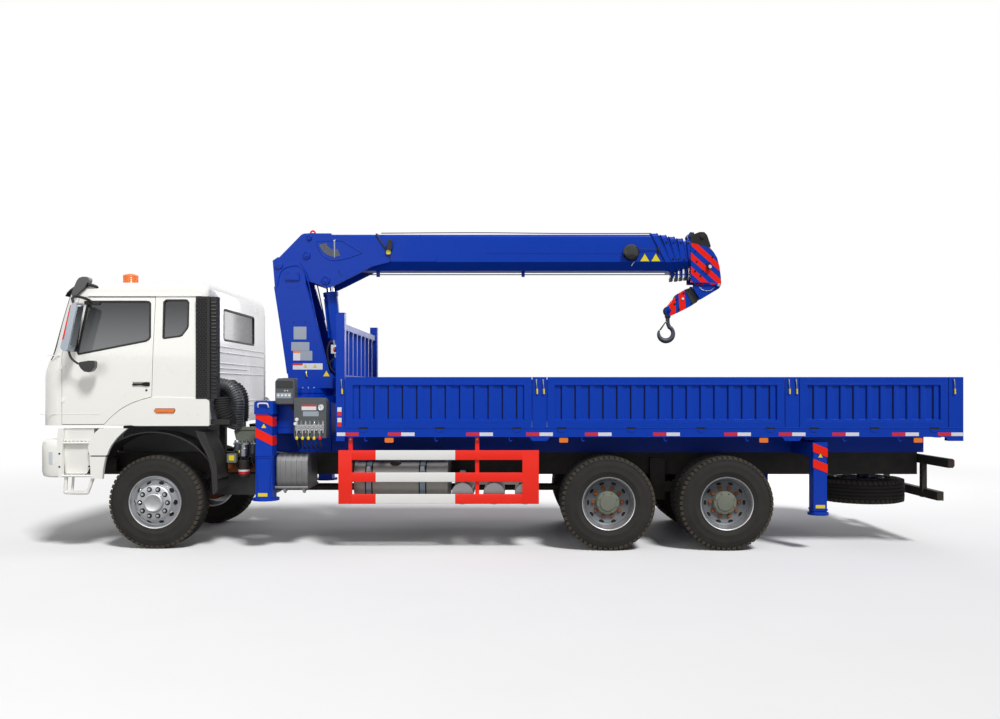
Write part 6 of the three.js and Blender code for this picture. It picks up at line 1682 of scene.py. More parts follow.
# -------------------------------------------------------------------------------------------------- chassis
def build_front_steps():
    """Bumper with rounded corners, entry steps with their loops, and the front half of each fender."""
    bumper = Workpiece()
    rows = ((838, 30), (850, 10), (900, 0), (1180, 0), (1240, 6), (1262, 20), (1270, 60))
    points = []
    for height, draw in rows:
        half, front, corner = 1235 - draw, CAB_FRONT + draw, 190
        ring = [(-half, -5000, height), (-half, front + corner, height)]
        ring += [(-half + corner * (1 - math.sin(a)), front + corner * (1 - math.cos(a)), height)
                 for a in (math.pi / 2 * (1 - k / 9) for k in range(1, 10))]
        ring += [(-x, y, z) for x, y, z in reversed(ring)]
        ring += [(1165, -5000, height), (900, -5180, height), (-900, -5180, height), (-1165, -5000, height)]
        points += ring
    n = len(ring)
    faces = ring_faces(n, len(rows) - 1) + [list(range(n)), list(range(len(points) - n, len(points)))]
    bumper.add(points, faces, "white")
    bumper.plate("xz", (-560, 900), (560, 1120), 50, CAB_FRONT - 6, CAB_FRONT + 10, "plastic")
    for k in range(4):
        bumper.plate("xz", (-520, 922 + 48 * k), (520, 944 + 48 * k), 9, CAB_FRONT - 12, CAB_FRONT - 4,
                     "gloss_plastic")
    bumper.plate("xz", (-260, 1150), (260, 1250), 8, CAB_FRONT - 6, CAB_FRONT + 4, "pale_grey")
    for side, _ in SIDES:
        for x, r in ((760, 82), (960, 70)):
            at = (side * x, CAB_FRONT - 2, 1060)
            bumper.turned(at, (0, -1, 0), [(0, -6), (r + 12, -6), (r + 12, 4), (r + 4, 9), (r, 4),
                                           (0, 4)], "chrome", 36)
            bumper.turned(at, (0, -1, 0), [(0, 4), (r, 4), (r * 0.8, 12), (0, 16)], "clear_lens", 36)
        bumper.turned((side * 860, CAB_FRONT - 2, 930), (0, -1, 0), [(0, -4), (48, -4), (48, 6), (0, 10)],
                      "clear_lens", 28)
        corner = [(side * 1236, -5092, 1130), (side * 1212, -5168, 1130), (side * 1212, -5168, 990),
                  (side * 1236, -5092, 990)]
        bumper.add([Vector(p) + Vector((side * s, -s * 0.6, 0)) for s in (-14, 8) for p in corner],
                   [[0, 1, 2, 3], [7, 6, 5, 4], [0, 4, 5, 1], [1, 5, 6, 2], [2, 6, 7, 3], [3, 7, 4, 0]],
                   "clear_lens")
    bumper.object("front_bumper_skin", "chassis", "white_paint", 3, replaces=("front_bumper",))
    for side, name in SIDES:
        work = Workpiece()
        work.place = MIRRORED[side]
        # Back walls of the two step wells, each with a sloping tread and a rounded lip.
        work.prism("xz", [(1080, 860), (1150, 860), (1186, 1130), (1200, 1395), (1080, 1395)], -4990,
                   -4640, "white")
        for z, reach in ((1236, 1237), (860, 1238)):
            work.prism("xz", [(1080, z - 20), (reach - 8, z - 18), (reach, z - 6), (reach - 4, z + 8),
                              (1180, z + 14), (1080, z + 14)], -5004, -4610, "white")
        for k in range(7):
            work.block((1190, 1232), (-4970 + 46 * k, -4950 + 46 * k), (1250, 1256), "aluminium")
            work.block((1165, 1230), (-4970 + 46 * k, -4950 + 46 * k), (874, 880), "aluminium")
        # Front cheek, joining the bumper's corner.
        work.prism("yz", [(-5030, 840), (-4990, 840), (-4978, 1240), (-4970, 1398), (-5030, 1398),
                          (-5044, 1280)], 1180, 1236, "white")
        # The fender's front half sweeps down in front of the wheel.
        outer = [(-4690, 1180), (-4670, 1262), (-4630, 1330), (-4560, 1398)]
        inner = [(-4240, 1398), (-4300, 1348), (-4360, 1290), (-4420, 1210), (-4452, 1150), (-4470, 1100),
                 (-4480, 1090)]
        work.prism("yz", outer + inner + [(-4672, 1090)], 1196, 1240, "white")
        work.prism("yz", [(-4672, 1076), (-4488, 1076), (-4508, 990), (-4522, 900), (-4528, 822),
                          (-4648, 826), (-4660, 850)], 1190, 1236, "white")
        # A dark strip in the gap between the fender's halves: painted shade.
        work.prism("yz", [(-4668, 1092), (-4480, 1092), (-4486, 1074), (-4668, 1074)], 1150, 1200, "dark")
        for y, z in ((-5016, 1110), (-5016, 960), (-4704, 1110), (-4704, 960)):
            x = 1236 if y < -4900 else 1180
            work.turned((x - 2, y, z), ACROSS, [(0, 0), (11, 0), (11, 5), (0, 7)], "dark", 16)
        # Lower step: a loop of tube below the skirt.
        loop = [(1190, -4960, 850), (1190, -4968, 700), (1190, -4955, 664), (1190, -4740, 660),
                (1190, -4712, 680), (1190, -4650, 840)]
        work.tube(loop, 20, "white", 14, 6)
        work.plate("xy", (1120, -4950), (1212, -4730), 14, 652, 676, "white")
        work.tube([(1120, -4930, 664), (1110, -4925, 760), (1110, -4920, 850)], 14, "white", 12, 3)
        # A dark block behind the step walls: painted shade of the space behind them.
        work.block((960, 1110), (-4990, -4640), (880, 1390), "dark")
        work.place = Matrix()
        work.object(f"entry_steps_{name}", "chassis", "white_paint", 3)
        guard = Workpiece()
        guard.place = MIRRORED[side]
        # Black liner over the wheel, and the mudguard behind it.
        turns = [(822, math.radians(20 + 8 * k)) for k in range(18)]
        turns += [(806, math.radians(156 - 8 * k)) for k in range(18)]
        arc = [(-3975 + r * math.cos(a), 540 + r * math.sin(a)) for r, a in turns]
        guard.prism("yz", arc, 830, 1200, "plastic")
        tail = [(-3470, 1372), (-3360, 1352), (-3318, 1240), (-3270, 1130), (-3228, 980), (-3214, 690),
                (-3262, 640), (-3274, 652), (-3290, 900), (-3330, 1060), (-3400, 1210), (-3456, 1310)]
        guard.prism("yz", tail, 820, 1222, "plastic")
        guard.tube([(1214, -3452, 1330), (1214, -3390, 1205), (1214, -3310, 1050), (1214, -3262, 860),
                    (1214, -3240, 660)], 12, "plastic", 10, 6)
        guard.place = Matrix()
        guard.object(f"mudguard_{name}", "chassis", "black_plastic", 4)


def build_side_gear():
    """Silencer and strapped fuel tank as they hang on the frame, and the guard rails of both sides."""
    muffler = Workpiece()
    body = rounded_outline((650, 716), (1160, 1092), 74)
    muffler.prism("xz", body, -2560, -2200, "muffler")
    for k in range(6):
        y = -2548 + 62 * k
        outline = rounded_outline((643, 709), (1167, 1099), 80)
        muffler.prism("xz", outline, y, y + 32, "muffler")
    muffler.plate("xz", (640, 700), (1178, 735), 12, -2575, -2194, "muffler")
    for y in (-2480, -2260):
        muffler.block((1080, 1170), (y, y + 30), (670, 702), "steel")
        muffler.rod((1130, y + 15, 652), (1130, y + 15, 700), 14, "steel", 14)
    muffler.block((436, 660), (-2420, -2330), (830, 1000), "black")
    muffler.tube([(700, -2560, 900), (700, -2760, 900), (690, -3000, 905), (700, -3300, 900),
                  (700, -3395, 900)], 52, "rust", 24, 4)
    for y in (-3340, -2640):
        muffler.turned((700, y, 900), ALONG, [(40, 0), (66, 0), (66, 18), (40, 18)], "rust", 28)
    muffler.object("ribbed_silencer", "chassis", "aluminium_sheet", 2, replaces=("silencer",))
    tank = Workpiece()
    outline = rounded_outline((434, 566), (1126, 1004), 150)
    low, high = -1677, -594
    tank.prism("xz", outline, low + 14, high - 14, "tank")
    tank.prism("xz", offset_outline(outline, -5), low, low + 26, "tank")
    tank.prism("xz", offset_outline(outline, -5), high - 26, high, "tank")
    for y in (-1505, -885):
        tank.prism("xz", offset_outline(outline, -7), y - 44, y - 30, "hose")
        tank.prism("xz", offset_outline(outline, -7), y + 30, y + 44, "hose")
        tank.prism("xz", offset_outline(outline, -10), y - 30, y + 30, "strap")
        tank.block((1128, 1142), (y - 22, y + 22), (900, 960), "steel")
    tank.turned((1040, -1200, 985), (0.35, 0, 1), [(0, 0), (62, 0), (62, 36), (52, 44), (0, 44)], "black",
                32)
    tank.turned((780, -800, 1002), UP, [(0, 0), (34, 0), (34, 16), (0, 18)], "steel", 24)
    tank.tube([(780, -800, 1016), (700, -760, 1060), (560, -700, 1060), (440, -700, 1000)], 9, "hose", 8, 6)
    for side, name in SIDES:
        # Three rails between two broad end plates, on a post at the front and a thin one further back.
        rails = Workpiece()
        low, high = span(f"side_guard_{name}")
        inner, outer = (low.x, high.x) if side > 0 else (-high.x, -low.x)
        for z in ((1037, 1148), (786, 894), (535, 647)):
            rails.plate("xz", (inner + 14, z[0]), (outer - 2, z[1]), 6, low.y + 40, high.y - 40, "guard")
        for y in ((low.y, -1683), (266, high.y)):
            rails.plate("xz", (inner, 535), (outer, 1148), 5, *y, "guard")
        for y, foot in ((-1723, 1140), (-274, 540)):
            rails.block((inner, inner + 16), (y, y + 46), (foot, high.z), "guard")
            rails.bolt((inner + 16, y + 23, high.z - 30), ACROSS, 11, "steel")
        for y in (-1759, -1809, 300, 400):
            for z in (1092, 840, 590):
                rails.bolt((outer, y, z), ACROSS, 8, "guard", 3)
        rails.object(f"guard_rails_{name}", "chassis", "red_paint", 2, replaces=(f"side_guard_{name}",),
                     mirror=side < 0)
    tank.object("fuel_tank_with_straps", "chassis", "aluminium_sheet", 3, replaces=("fuel_tank",))


def build_bridge_gear():
    """Between cab and crane: bracket plate, filter, valves, tag and the hoses that run along the frame."""
    work = Workpiece()
    plate = [(-3175, 1348), (-3110, 1392), (-2860, 1392), (-2860, 1215), (-3000, 1196), (-3150, 1240)]
    work.prism("yz", plate, 560, 760, "hub")
    work.tube([(764, -3150, 1300), (764, -3104, 1362), (764, -2880, 1362)], 7, "hub", 8, 3)
    for y, z, r, tall in ((-3010, 1060, 62, 150), (-2900, 1090, 44, 110), (-3090, 1120, 40, 90)):
        work.turned((900, y, z), UP, [(0, 0), (r, 0), (r, tall * 0.6), (r * 0.9, tall * 0.66),
                                      (r * 0.9, tall * 0.9), (r * 0.6, tall), (0, tall)],
                    "steel" if r > 60 else "cast", 32)
        work.turned((900, y, z - 26), UP, [(0, 0), (r * 0.5, 0), (r * 0.7, 26), (0, 26)], "cast", 24)
    work.turned((905, -3010, 812), UP, [(0, 0), (56, 0), (64, 10), (64, 190), (56, 200), (0, 200)],
                "black", 32)
    work.turned((905, -3010, 850), UP, [(65, 0), (66, 0), (66, 26), (65, 26)], "red_tape", 32)
    work.turned((905, -3010, 880), UP, [(65, 0), (66, 0), (66, 22), (65, 22)], "white_tape", 32)
    work.block((560, 905), (-3060, -2960), (1010, 1040), "black")
    work.plate("yz", (-3196, 985), (-3086, 1090), 10, 900, 960, "hub")
    work.plate("yz", (-3172, 1010), (-3110, 1070), 6, 960, 964, "yellow")
    work.block((900, 950), (-3060, -3010), (1100, 1130), "yellow")
    work.block((500, 900), (-3160, -3120), (1010, 1040), "black")
    for k, (y, z, bend) in enumerate(((-3180, 1180, 60), (-3140, 1160, 90), (-3060, 1210, 40),
                                      (-2980, 1220, 70), (-2940, 1190, -40))):
        work.tube([(560 + 20 * k, y, z), (760 + 10 * k, y + bend, z + 24), (920, y + bend, z - 60),
                   (880, y + bend * 1.4, z - 240), (600, y + bend, z - 300)], 11 + 2 * (k % 2), "hose", 8,
                  8)
    for k in range(5):
        work.tube([(470 + 14 * k, -3200, 1110 + 24 * k), (472 + 14 * k, -2900, 1120 + 22 * k),
                   (470 + 12 * k, -2860, 1090), (470 + 12 * k, -2300, 1030 + 8 * k)], 9,
                  "hose" if k % 2 else "steel", 8, 6)
    work.tube([(920, -2950, 1230), (940, -2900, 1000), (930, -2840, 850), (880, -2800, 780)], 9, "hose",
              8, 8)
    for k in range(6):
        work.turned((880, -3120 + 44 * k, 1212), UP, [(0, 0), (13, 0), (13, 18), (9, 18), (9, 34),
                                                      (0, 34)], "steel", 12)
    work.block((700, 900), (-3140, -2880), (1190, 1214), "steel")
    work.object("filters_valves_and_hoses", "chassis", "black_paint", 2)


LEG_Y, REAR_LEG_Y = {1: -2680, -1: -2470}, 3666


def build_outriggers():
    """Red bands, collars and handles of the legs; round feet below them."""
    for side, name in SIDES:
        y0 = LEG_Y[side]
        work = Workpiece()
        work.place = Matrix.Translation((0, y0, 0)) @ MIRRORED[side]
        face = 1250
        lean, depth = 96, 190
        for top in (1624, 1408):
            band = [(-95, top), (95, top - lean), (95, top - lean - 108), (-95, top - 108)]
            work.prism("yz", band, face, face + 2.5, "red")
            for y, z in ((-95, top), (95, top - lean)):
                step = -2.5 if y < 0 else 2.5
                work.prism("xz", [(face, z), (face, z - 108), (face - depth, z - 108),
                                  (face - depth, z)], *sorted((y, y + step)), "red")
        warning_triangle(work, face, 0, 1402, 66)
        # Upper collar with ears, the step half way down and the reflector.
        work.plate("xy", (1046, -109), (1264, 109), 10, 1560, 1700, "blue")
        work.prism("yz", [(-60, 1706), (60, 1706), (74, 1690), (74, 1640), (-74, 1640), (-74, 1690)],
                   1264, 1268, "blue")
        for z in (1090, 1068):
            work.plate("xy", (1056, -101), (1256, 101), 5, z - 5, z + 5, "blue")
        work.tube([(1256, -88, 1080), (1256, -84, 900), (1256, -74, 860), (1256, -74, 700)], 5, "blue", 8,
                  4)
        work.tube([(1256, 88, 1080), (1256, 84, 900), (1256, 74, 860), (1256, 74, 700)], 5, "blue", 8, 4)
        work.plate("yz", (-66, 622), (42, 662), 4, face, face + 3, "yellow")
        # White handle on the leg's head.
        work.tube([(1268, -58, 1640), (1290, -56, 1668), (1290, -40, 1684), (1290, 40, 1684),
                   (1290, 56, 1668), (1268, 58, 1640)], 9, "band_white", 12, 5)
        for y in (-50, 50):
            work.turned((1190, y, 1700), UP, [(0, 0), (16, 0), (16, 12), (10, 16), (0, 16)], "steel", 16)
        work.tube([(1150, -20, 1706), (1150, 0, 1722), (1150, 30, 1706)], 8, "steel", 10, 4)
        for z in (1300, 1500):
            work.bolt((1100, 96, z), ALONG, 18, "blue")
        work.place = Matrix()
        work.object(f"leg_bands_{name}", f"{name}_outrigger", "blue_paint", 1.2)
    for y0, x0, z0, r, body in (
        (LEG_Y[1], 1155, 572, 148, "front_left_jack"), (LEG_Y[-1], -1155, 572, 148, "front_right_jack"),
        (REAR_LEG_Y, 1157, 406, 115, "rear_left_jack"), (REAR_LEG_Y, -1157, 406, 115, "rear_right_jack"),
    ):
        foot = Workpiece()
        foot.turned((x0, y0, z0), UP, [(0, 0), (r - 8, 0), (r, 6), (r, 20), (r - 10, 26), (r * 0.5, 34),
                                       (52, 44), (0, 44)], "blue", 48)
        foot.turned((x0, y0, z0 + 2), UP, [(r * 0.55, 26), (r * 0.6, 26), (r * 0.6, 33), (r * 0.55, 33)],
                    "blue", 40)
        foot.object(f"foot_plate_{body}", body, "blue_paint", 1.5)
    for side, name in SIDES:
        work = Workpiece()
        work.plate("xy", (1072, 3580), (1235, 3752), 8, 1196, 1236, "blue")
        for top in (1232, 1052):
            band = [(3583, top), (3749, top - 64), (3749, top - 164), (3583, top - 100)]
            work.prism("yz", band, 1233, 1238, "red")
        warning_triangle(work, 1237, REAR_LEG_Y, 1064, 62)
        work.plate("xy", (1072, 3580), (1242, 3752), 8, 460, 478, "blue")
        work.plate("yz", (3612, 486), (3720, 524), 4, 1234, 1237, "yellow")
        work.object(f"rear_leg_bands_{name}", "chassis", "blue_paint", 1.5, mirror=side < 0)


def build_controls():
    """Cabinet, gauge, valve bank with levers, and the display box with its four buttons."""
    work = Workpiece()
    cabinet = [(-2344, 1286), (-1983, 1286), (-1980, 1690), (-1992, 1722), (-2018, 1748), (-2344, 1749),
               (-2349, 1744), (-2349, 1292)]
    work.prism("yz", cabinet, 1012, 1194, "grey")
    work.plate("yz", (-2320, 1450), (-2008, 1720), 14, 1194, 1199, "grey")
    face = 1199
    work.plate("yz", (-2262, 1606), (-2094, 1668), 4, face, face + 2, "white_tape")
    work.prism("yz", [(-2262, 1648), (-2094, 1648), (-2094, 1668), (-2262, 1668)], face + 1, face + 3,
               "red_tape")
    work.plate("yz", (-2246, 1536), (-2066, 1592), 4, face, face + 2, "pale_grey")
    work.turned((face, -2040, 1636), ACROSS, [(0, 0), (35, 0), (36, 8), (31, 12), (28, 9), (0, 9)],
                "chrome", 36)
    work.turned((face + 9, -2040, 1636), ACROSS, [(0, 0), (29, 0), (29, 1), (0, 1)], "white_tape", 32)
    work.prism("yz", [(-2042, 1634), (-2038, 1634), (-2052, 1656), (-2054, 1654)], face + 10, face + 12,
               "dark")
    # Valve bank: a row of chromed spools under the panel.
    work.block((1180, 1226), (-2330, -2000), (1396, 1440), "chrome")
    for k in range(7):
        y = -2316 + 50 * k
        work.turned((1196, y, 1398), (0, 0, -1), [(0, 0), (19, 0), (19, 28), (14, 32), (14, 56), (0, 56)],
                    "chrome", 20)
        work.turned((1196, y, 1438), UP, [(0, 0), (15, 0), (15, 22), (9, 26), (9, 46), (0, 48)],
                    "steel" if k % 2 else "chrome", 18)
        work.rod((1214, y, 1418), (1236, y, 1418), 12, "steel", 14)
    for k in range(6):
        y = -2330 + 52 * k
        work.tube([(1190, y, 1350), (1160, y + 6, 1280), (1150, y + 20, 1200), (1080, y + 30, 1160)], 10,
                  "hose", 8, 6)
    for y, knob in ((-2310, "yellow"), (-2244, "yellow"), (-2178, "yellow"), (-2112, "yellow"),
                    (-2046, "red")):
        work.tube([(1214, y, 1380), (1228, y, 1340), (1230, y, 1300)], 6, "steel", 10, 3)
        work.turned((1230, y, 1306), (0, 0, -1), [(0, 0), (10, 0), (15, 10), (17, 24), (13, 36), (0, 40)],
                    knob, 20)
    for y, z in ((-2336, 1450), (-2320, 1500)):
        work.turned((1199, y + 4, z), ACROSS, [(0, 0), (20, 0), (20, 10), (0, 12)], "band_white", 20)
    work.rod((1190, -2336, 1380), (1190, -2010, 1380), 14, "chrome", 18)
    work.object("control_cabinet", "chassis", "grey_paint", 2.5, replaces=("control_station",))
    box = Workpiece()
    shape = [(-2575, 1680), (-2568, 1673), (-2358, 1673), (-2352, 1680), (-2352, 1966), (-2358, 1973),
             (-2536, 1973), (-2560, 1956), (-2575, 1932)]
    box.prism("yz", shape, 1012, 1160, "grey")
    box.prism("yz", offset_outline(shape, 9), 1160, 1168, "grey")
    box.plate("yz", (-2562, 1858), (-2368, 1944), 8, 1166, 1172, "gloss_plastic")
    box.plate("yz", (-2560, 1742), (-2388, 1804), 8, 1168, 1171, "pale_grey")
    for k in range(4):
        box.turned((1171, -2536 + 42 * k, 1773), ACROSS, [(0, 0), (14, 0), (14, 4), (10, 7), (0, 7)],
                   "band_white", 20)
    for k in range(2):
        box.turned((1171, -2460 + 30 * k, 1828), ACROSS, [(0, 0), (9, 0), (8, 4), (0, 5)], "clear_lens", 16)
    box.block((1014, 1038), (-2575, -2300), (1666, 1676), "black")
    box.tube([(1100, -2400, 1676), (1090, -2380, 1600), (1040, -2300, 1500), (1010, -2200, 1420)], 12,
             "hose", 8, 6)
    box.rod((1100, -2470, 1973), (1100, -2470, 1976), 30, "plastic", 24)
    # The blue mount behind the boxes.
    box.block((1000, 1014), (-2575, -1980), (1400, 1700), "blue")
    box.block((900, 1010), (-2585, -2352), (1330, 1668), "blue")
    box.object("display_box", "chassis", "grey_paint", 2.5)


def build_rear_lights():
    """The rear lamp bar with its clusters, blank plate, reflectors and the banded underrun bar."""
    work = Workpiece()
    y = 5240
    work.block((-1180, 1180), (5150, 5212), (942, 1046), "black")
    work.block((-900, 900), (5160, 5238), (532, 638), "black")
    for side, _ in SIDES:
        work.block(sorted((side * 490, side * 560)), (5142, 5202), (532, 1038), "black")
        for k, colour in enumerate(("red_lens", "orange", "clear_lens", "red_lens")):
            x = side * (1120 - 100 * k)
            work.plate("xz", (x - 48, 950), (x + 48, 1038), 12, 5212, 5226, "plastic")
            work.plate("xz", (x - 42, 956), (x + 42, 1032), 10, 5222, 5236, colour)
    for k in range(8):
        x = -800 + 200 * k
        work.plate("xz", (x + 2, 548), (x + 198, 622), 4, y - 2, y + 1,
                   "red_tape" if k % 2 else "white_tape")
    work.plate("xz", (-260, 940), (260, 1050), 6, 5212, 5218, "pale_grey")
    work.object("rear_lamps_and_underrun", "chassis", "black_paint", 3, replaces=("rear_bumper",))


# ---------------------------------------------------------------------------------------------------- stage
FADE_START, FADE_END = 6.5, 17  # metres from the lorry's middle
CAMERA_AT, LENS_MM = (11.25, 0.1475, 1.837), 31.6


def build_stage():
    scene = bpy.context.scene
    floor_mesh = bpy.data.meshes.new("studio_floor")
    far = 60
    floor_mesh.from_pydata([(-far, -far, 0), (far, -far, 0), (far, far, 0), (-far, far, 0)], [],
                           [(0, 1, 2, 3)])
    floor = bpy.data.objects.new("studio_floor", floor_mesh)
    scene.collection.objects.link(floor)
    pale = bpy.data.materials.new("painted_studio_floor")
    pale.use_nodes = True
    tree = pale.node_tree
    place = add_node(tree, "ShaderNodeTexCoord").outputs["Object"]
    patch = add_node(tree, "ShaderNodeTexNoise", {"Vector": place, "Scale": per_mm(900)}).outputs["Fac"]
    shade = add_node(tree, "ShaderNodeMix", {"Factor": patch, 6: (0.93, 0.93, 0.93, 1),
                                             7: (0.96, 0.96, 0.96, 1)}, data_type="RGBA").outputs[2]
    # Seen directly the floor is pale; what it throws back on the lorry is held down.
    seen = add_node(tree, "ShaderNodeLightPath").outputs["Is Camera Ray"]
    shade = add_node(
        tree, "ShaderNodeMix", {"Factor": seen, 6: (0.42, 0.42, 0.42, 1), 7: shade}, data_type="RGBA"
    ).outputs[2]
    shader = tree.nodes["Principled BSDF"]
    shader.inputs["Roughness"].default_value = 0.9
    shader.inputs["Specular IOR Level"].default_value = 0.0
    tree.links.new(shade, shader.inputs["Base Color"])
    # Away from the lorry the floor runs out to plain white, so that no horizon shows.
    away = add_node(tree, "ShaderNodeVectorMath", {0: place}, operation="LENGTH").outputs["Value"]
    away = add_node(tree, "ShaderNodeMapRange", {"Value": away, "From Min": FADE_START,
                                                 "From Max": FADE_END},
                    interpolation_type="SMOOTHSTEP").outputs[0]
    away = add_node(tree, "ShaderNodeMath", {0: away, 1: seen}, operation="MULTIPLY").outputs[0]
    white = add_node(tree, "ShaderNodeEmission", {"Color": (1, 1, 1, 1), "Strength": 1.0}).outputs[0]
    mixed = add_node(tree, "ShaderNodeMixShader", {0: away, 1: shader.outputs[0], 2: white}).outputs[0]
    tree.links.new(mixed, tree.nodes["Material Output"].inputs["Surface"])
    floor_mesh.materials.append(pale)

    world = bpy.data.worlds.new("studio")
    scene.world = world
    world.use_nodes = True
    tree = world.node_tree
    tree.nodes.clear()
    rays = add_node(tree, "ShaderNodeLightPath")
    seen = add_node(
        tree, "ShaderNodeMath",
        {0: rays.outputs["Is Camera Ray"], 1: rays.outputs["Is Glossy Ray"]}, operation="MAXIMUM",
    ).outputs[0]
    seen = add_node(tree, "ShaderNodeMath", {0: seen, 1: rays.outputs["Is Transmission Ray"]},
                    operation="MAXIMUM").outputs[0]
    strength = add_node(tree, "ShaderNodeMapRange", {"Value": seen, "To Min": 0.24,
                                                     "To Max": 1.0}).outputs[0]
    light = add_node(tree, "ShaderNodeBackground", {"Color": (1, 1, 1, 1), "Strength": strength})
    out = add_node(tree, "ShaderNodeOutputWorld")
    tree.links.new(light.outputs[0], out.inputs["Surface"])

    # One soft lamp high above the near side, a bank level with it, and a weak fill from behind.
    sun = bpy.data.lights.new("high_lamp", "SUN")
    sun.energy = 2.5
    sun.angle = math.radians(12)
    stand = bpy.data.objects.new("high_lamp", sun)
    stand.rotation_euler = Vector((0.68, 0.4, 1)).to_track_quat("Z", "Y").to_euler()
    scene.collection.objects.link(stand)
    for name, at, aim, width, tall, power in (
        ("side_bank", (11, -6, 5), (0, -0.5, 1.6), 7, 4, 190),
        ("back_bank", (-10, 4, 5), (0, 0, 1.6), 8, 4, 330),
    ):
        lamp = bpy.data.lights.new(name, "AREA")
        lamp.shape = "RECTANGLE"
        lamp.size, lamp.size_y, lamp.energy = width, tall, power
        stand = bpy.data.objects.new(name, lamp)
        stand.location = at
        stand.rotation_euler = (Vector(at) - Vector(aim)).to_track_quat("Z", "Y").to_euler()
        scene.collection.objects.link(stand)

    view = bpy.data.cameras.new("side_view")
    view.sensor_width = 36
    view.lens = LENS_MM
    view.shift_x, view.shift_y = -0.012, 0.0305
    camera = bpy.data.objects.new("side_view", view)
    camera.location = CAMERA_AT
    camera.rotation_euler = (math.radians(90), 0, math.radians(90))
    scene.collection.objects.link(camera)
    scene.camera = camera
    scene.view_settings.view_transform = "Standard"


SLOT_FINISHES = {
    "blue_paint": "blue", "white_paint": "white", "black_paint": "black", "tyre_rubber": "rubber",
    "red_paint": "guard", "grey_paint": "grey", "bare_steel": "chrome", "black_plastic": "plastic",
    "window_glass": "glass", "cast_hook": "cast", "aluminium_sheet": "aluminium",
}


def paint_frame_nodes():
    """Gives every node of the frame the finish of its slot."""
    slots = {part["node"]: part["material_slot"] for part in frame["record"]["subparts"]}
    for name, node in frame["nodes"].items():
        for held in node.material_slots:
            held.material = FINISHES[NODE_FINISHES.get(name, SLOT_FINISHES[slots[name]])]


NODE_FINISHES = {"engine": "grey", "air_tanks": "aluminium"}


# --------------------------------------------------------------------------------------------------- add-on
class CRANE_OT_paints(bpy.types.Operator):
    """Mixes every finish and gives each frame node the finish of its slot"""

    bl_idname = "crane.paints"
    bl_label = "Mix finishes"

    def execute(self, context):
        mix_finishes(context.scene.crane_paints)
        paint_frame_nodes()
        return {"FINISHED"}


class CRANE_OT_wheels(bpy.types.Operator):
    """Builds the six road wheels with their tyres"""

    bl_idname = "crane.wheels"
    bl_label = "Wheels"

    def execute(self, context):
        build_wheels(context.scene.crane_sizes)
        return {"FINISHED"}


class CRANE_OT_spare_wheel(bpy.types.Operator):
    """Builds the spare wheel on its carrier under the frame"""

    bl_idname = "crane.spare_wheel"
    bl_label = "Spare wheel"

    def execute(self, context):
        build_spare_wheel(context.scene.crane_sizes)
        return {"FINISHED"}


class CRANE_OT_boards(bpy.types.Operator):
    """Builds the ribbed side boards and the tailgate"""

    bl_idname = "crane.boards"
    bl_label = "Boards"

    def execute(self, context):
        build_boards(context.scene.crane_sizes)
        return {"FINISHED"}


class CRANE_OT_bed_trim(bpy.types.Operator):
    """Builds hinges, latches, reflectors and floor of the load bed"""

    bl_idname = "crane.bed_trim"
    bl_label = "Bed fittings"

    def execute(self, context):
        build_bed_trim()
        return {"FINISHED"}


class CRANE_OT_cab_shell(bpy.types.Operator):
    """Builds the cab skin with its windscreen, rear and quarter windows"""

    bl_idname = "crane.cab_shell"
    bl_label = "Cab shell"

    def execute(self, context):
        build_cab_shell()
        return {"FINISHED"}


class CRANE_OT_doors(bpy.types.Operator):
    """Builds both doors with glass, handles and mirrors"""

    bl_idname = "crane.doors"
    bl_label = "Doors"

    def execute(self, context):
        build_doors()
        return {"FINISHED"}


class CRANE_OT_cab_trim(bpy.types.Operator):
    """Builds fenders, gutters, markers, beacon and sun visor"""

    bl_idname = "crane.cab_trim"
    bl_label = "Cab mouldings"

    def execute(self, context):
        build_cab_trim()
        return {"FINISHED"}


class CRANE_OT_cab_front(bpy.types.Operator):
    """Builds grille panel, wipers and lamps of the cab face"""

    bl_idname = "crane.cab_front"
    bl_label = "Cab face"

    def execute(self, context):
        build_cab_front()
        return {"FINISHED"}


class CRANE_OT_cab_rear(bpy.types.Operator):
    """Builds the air intake stack, its hoses and the rear wall pressings"""

    bl_idname = "crane.cab_rear"
    bl_label = "Cab rear"

    def execute(self, context):
        build_cab_rear()
        return {"FINISHED"}


class CRANE_OT_cab_interior(bpy.types.Operator):
    """Builds dashboard, wheel and seats"""

    bl_idname = "crane.cab_interior"
    bl_label = "Cab interior"

    def execute(self, context):
        build_cab_interior()
        return {"FINISHED"}


class CRANE_OT_boom_base(bpy.types.Operator):
    """Builds the boom base with its root plates, dial, reel and guides"""

    bl_idname = "crane.boom_base"
    bl_label = "Boom base"

    def execute(self, context):
        build_boom_base()
        return {"FINISHED"}


class CRANE_OT_boom_sections(bpy.types.Operator):
    """Builds the four telescoping sections and the banded head"""

    bl_idname = "crane.boom_sections"
    bl_label = "Boom sections"

    def execute(self, context):
        build_boom_sections()
        return {"FINISHED"}


class CRANE_OT_column(bpy.types.Operator):
    """Builds plates, covers, winch and hoses of the column"""

    bl_idname = "crane.column"
    bl_label = "Column fittings"

    def execute(self, context):
        build_column()
        return {"FINISHED"}


class CRANE_OT_luff(bpy.types.Operator):
    """Builds collars, pipes and valve of the luffing cylinder"""

    bl_idname = "crane.luff"
    bl_label = "Luffing cylinder"

    def execute(self, context):
        build_luff()
        return {"FINISHED"}


class CRANE_OT_ropes(bpy.types.Operator):
    """Builds the rope lengths below the boom"""

    bl_idname = "crane.ropes"
    bl_label = "Hoist rope"

    def execute(self, context):
        build_ropes(context.scene.crane_sizes)
        return {"FINISHED"}


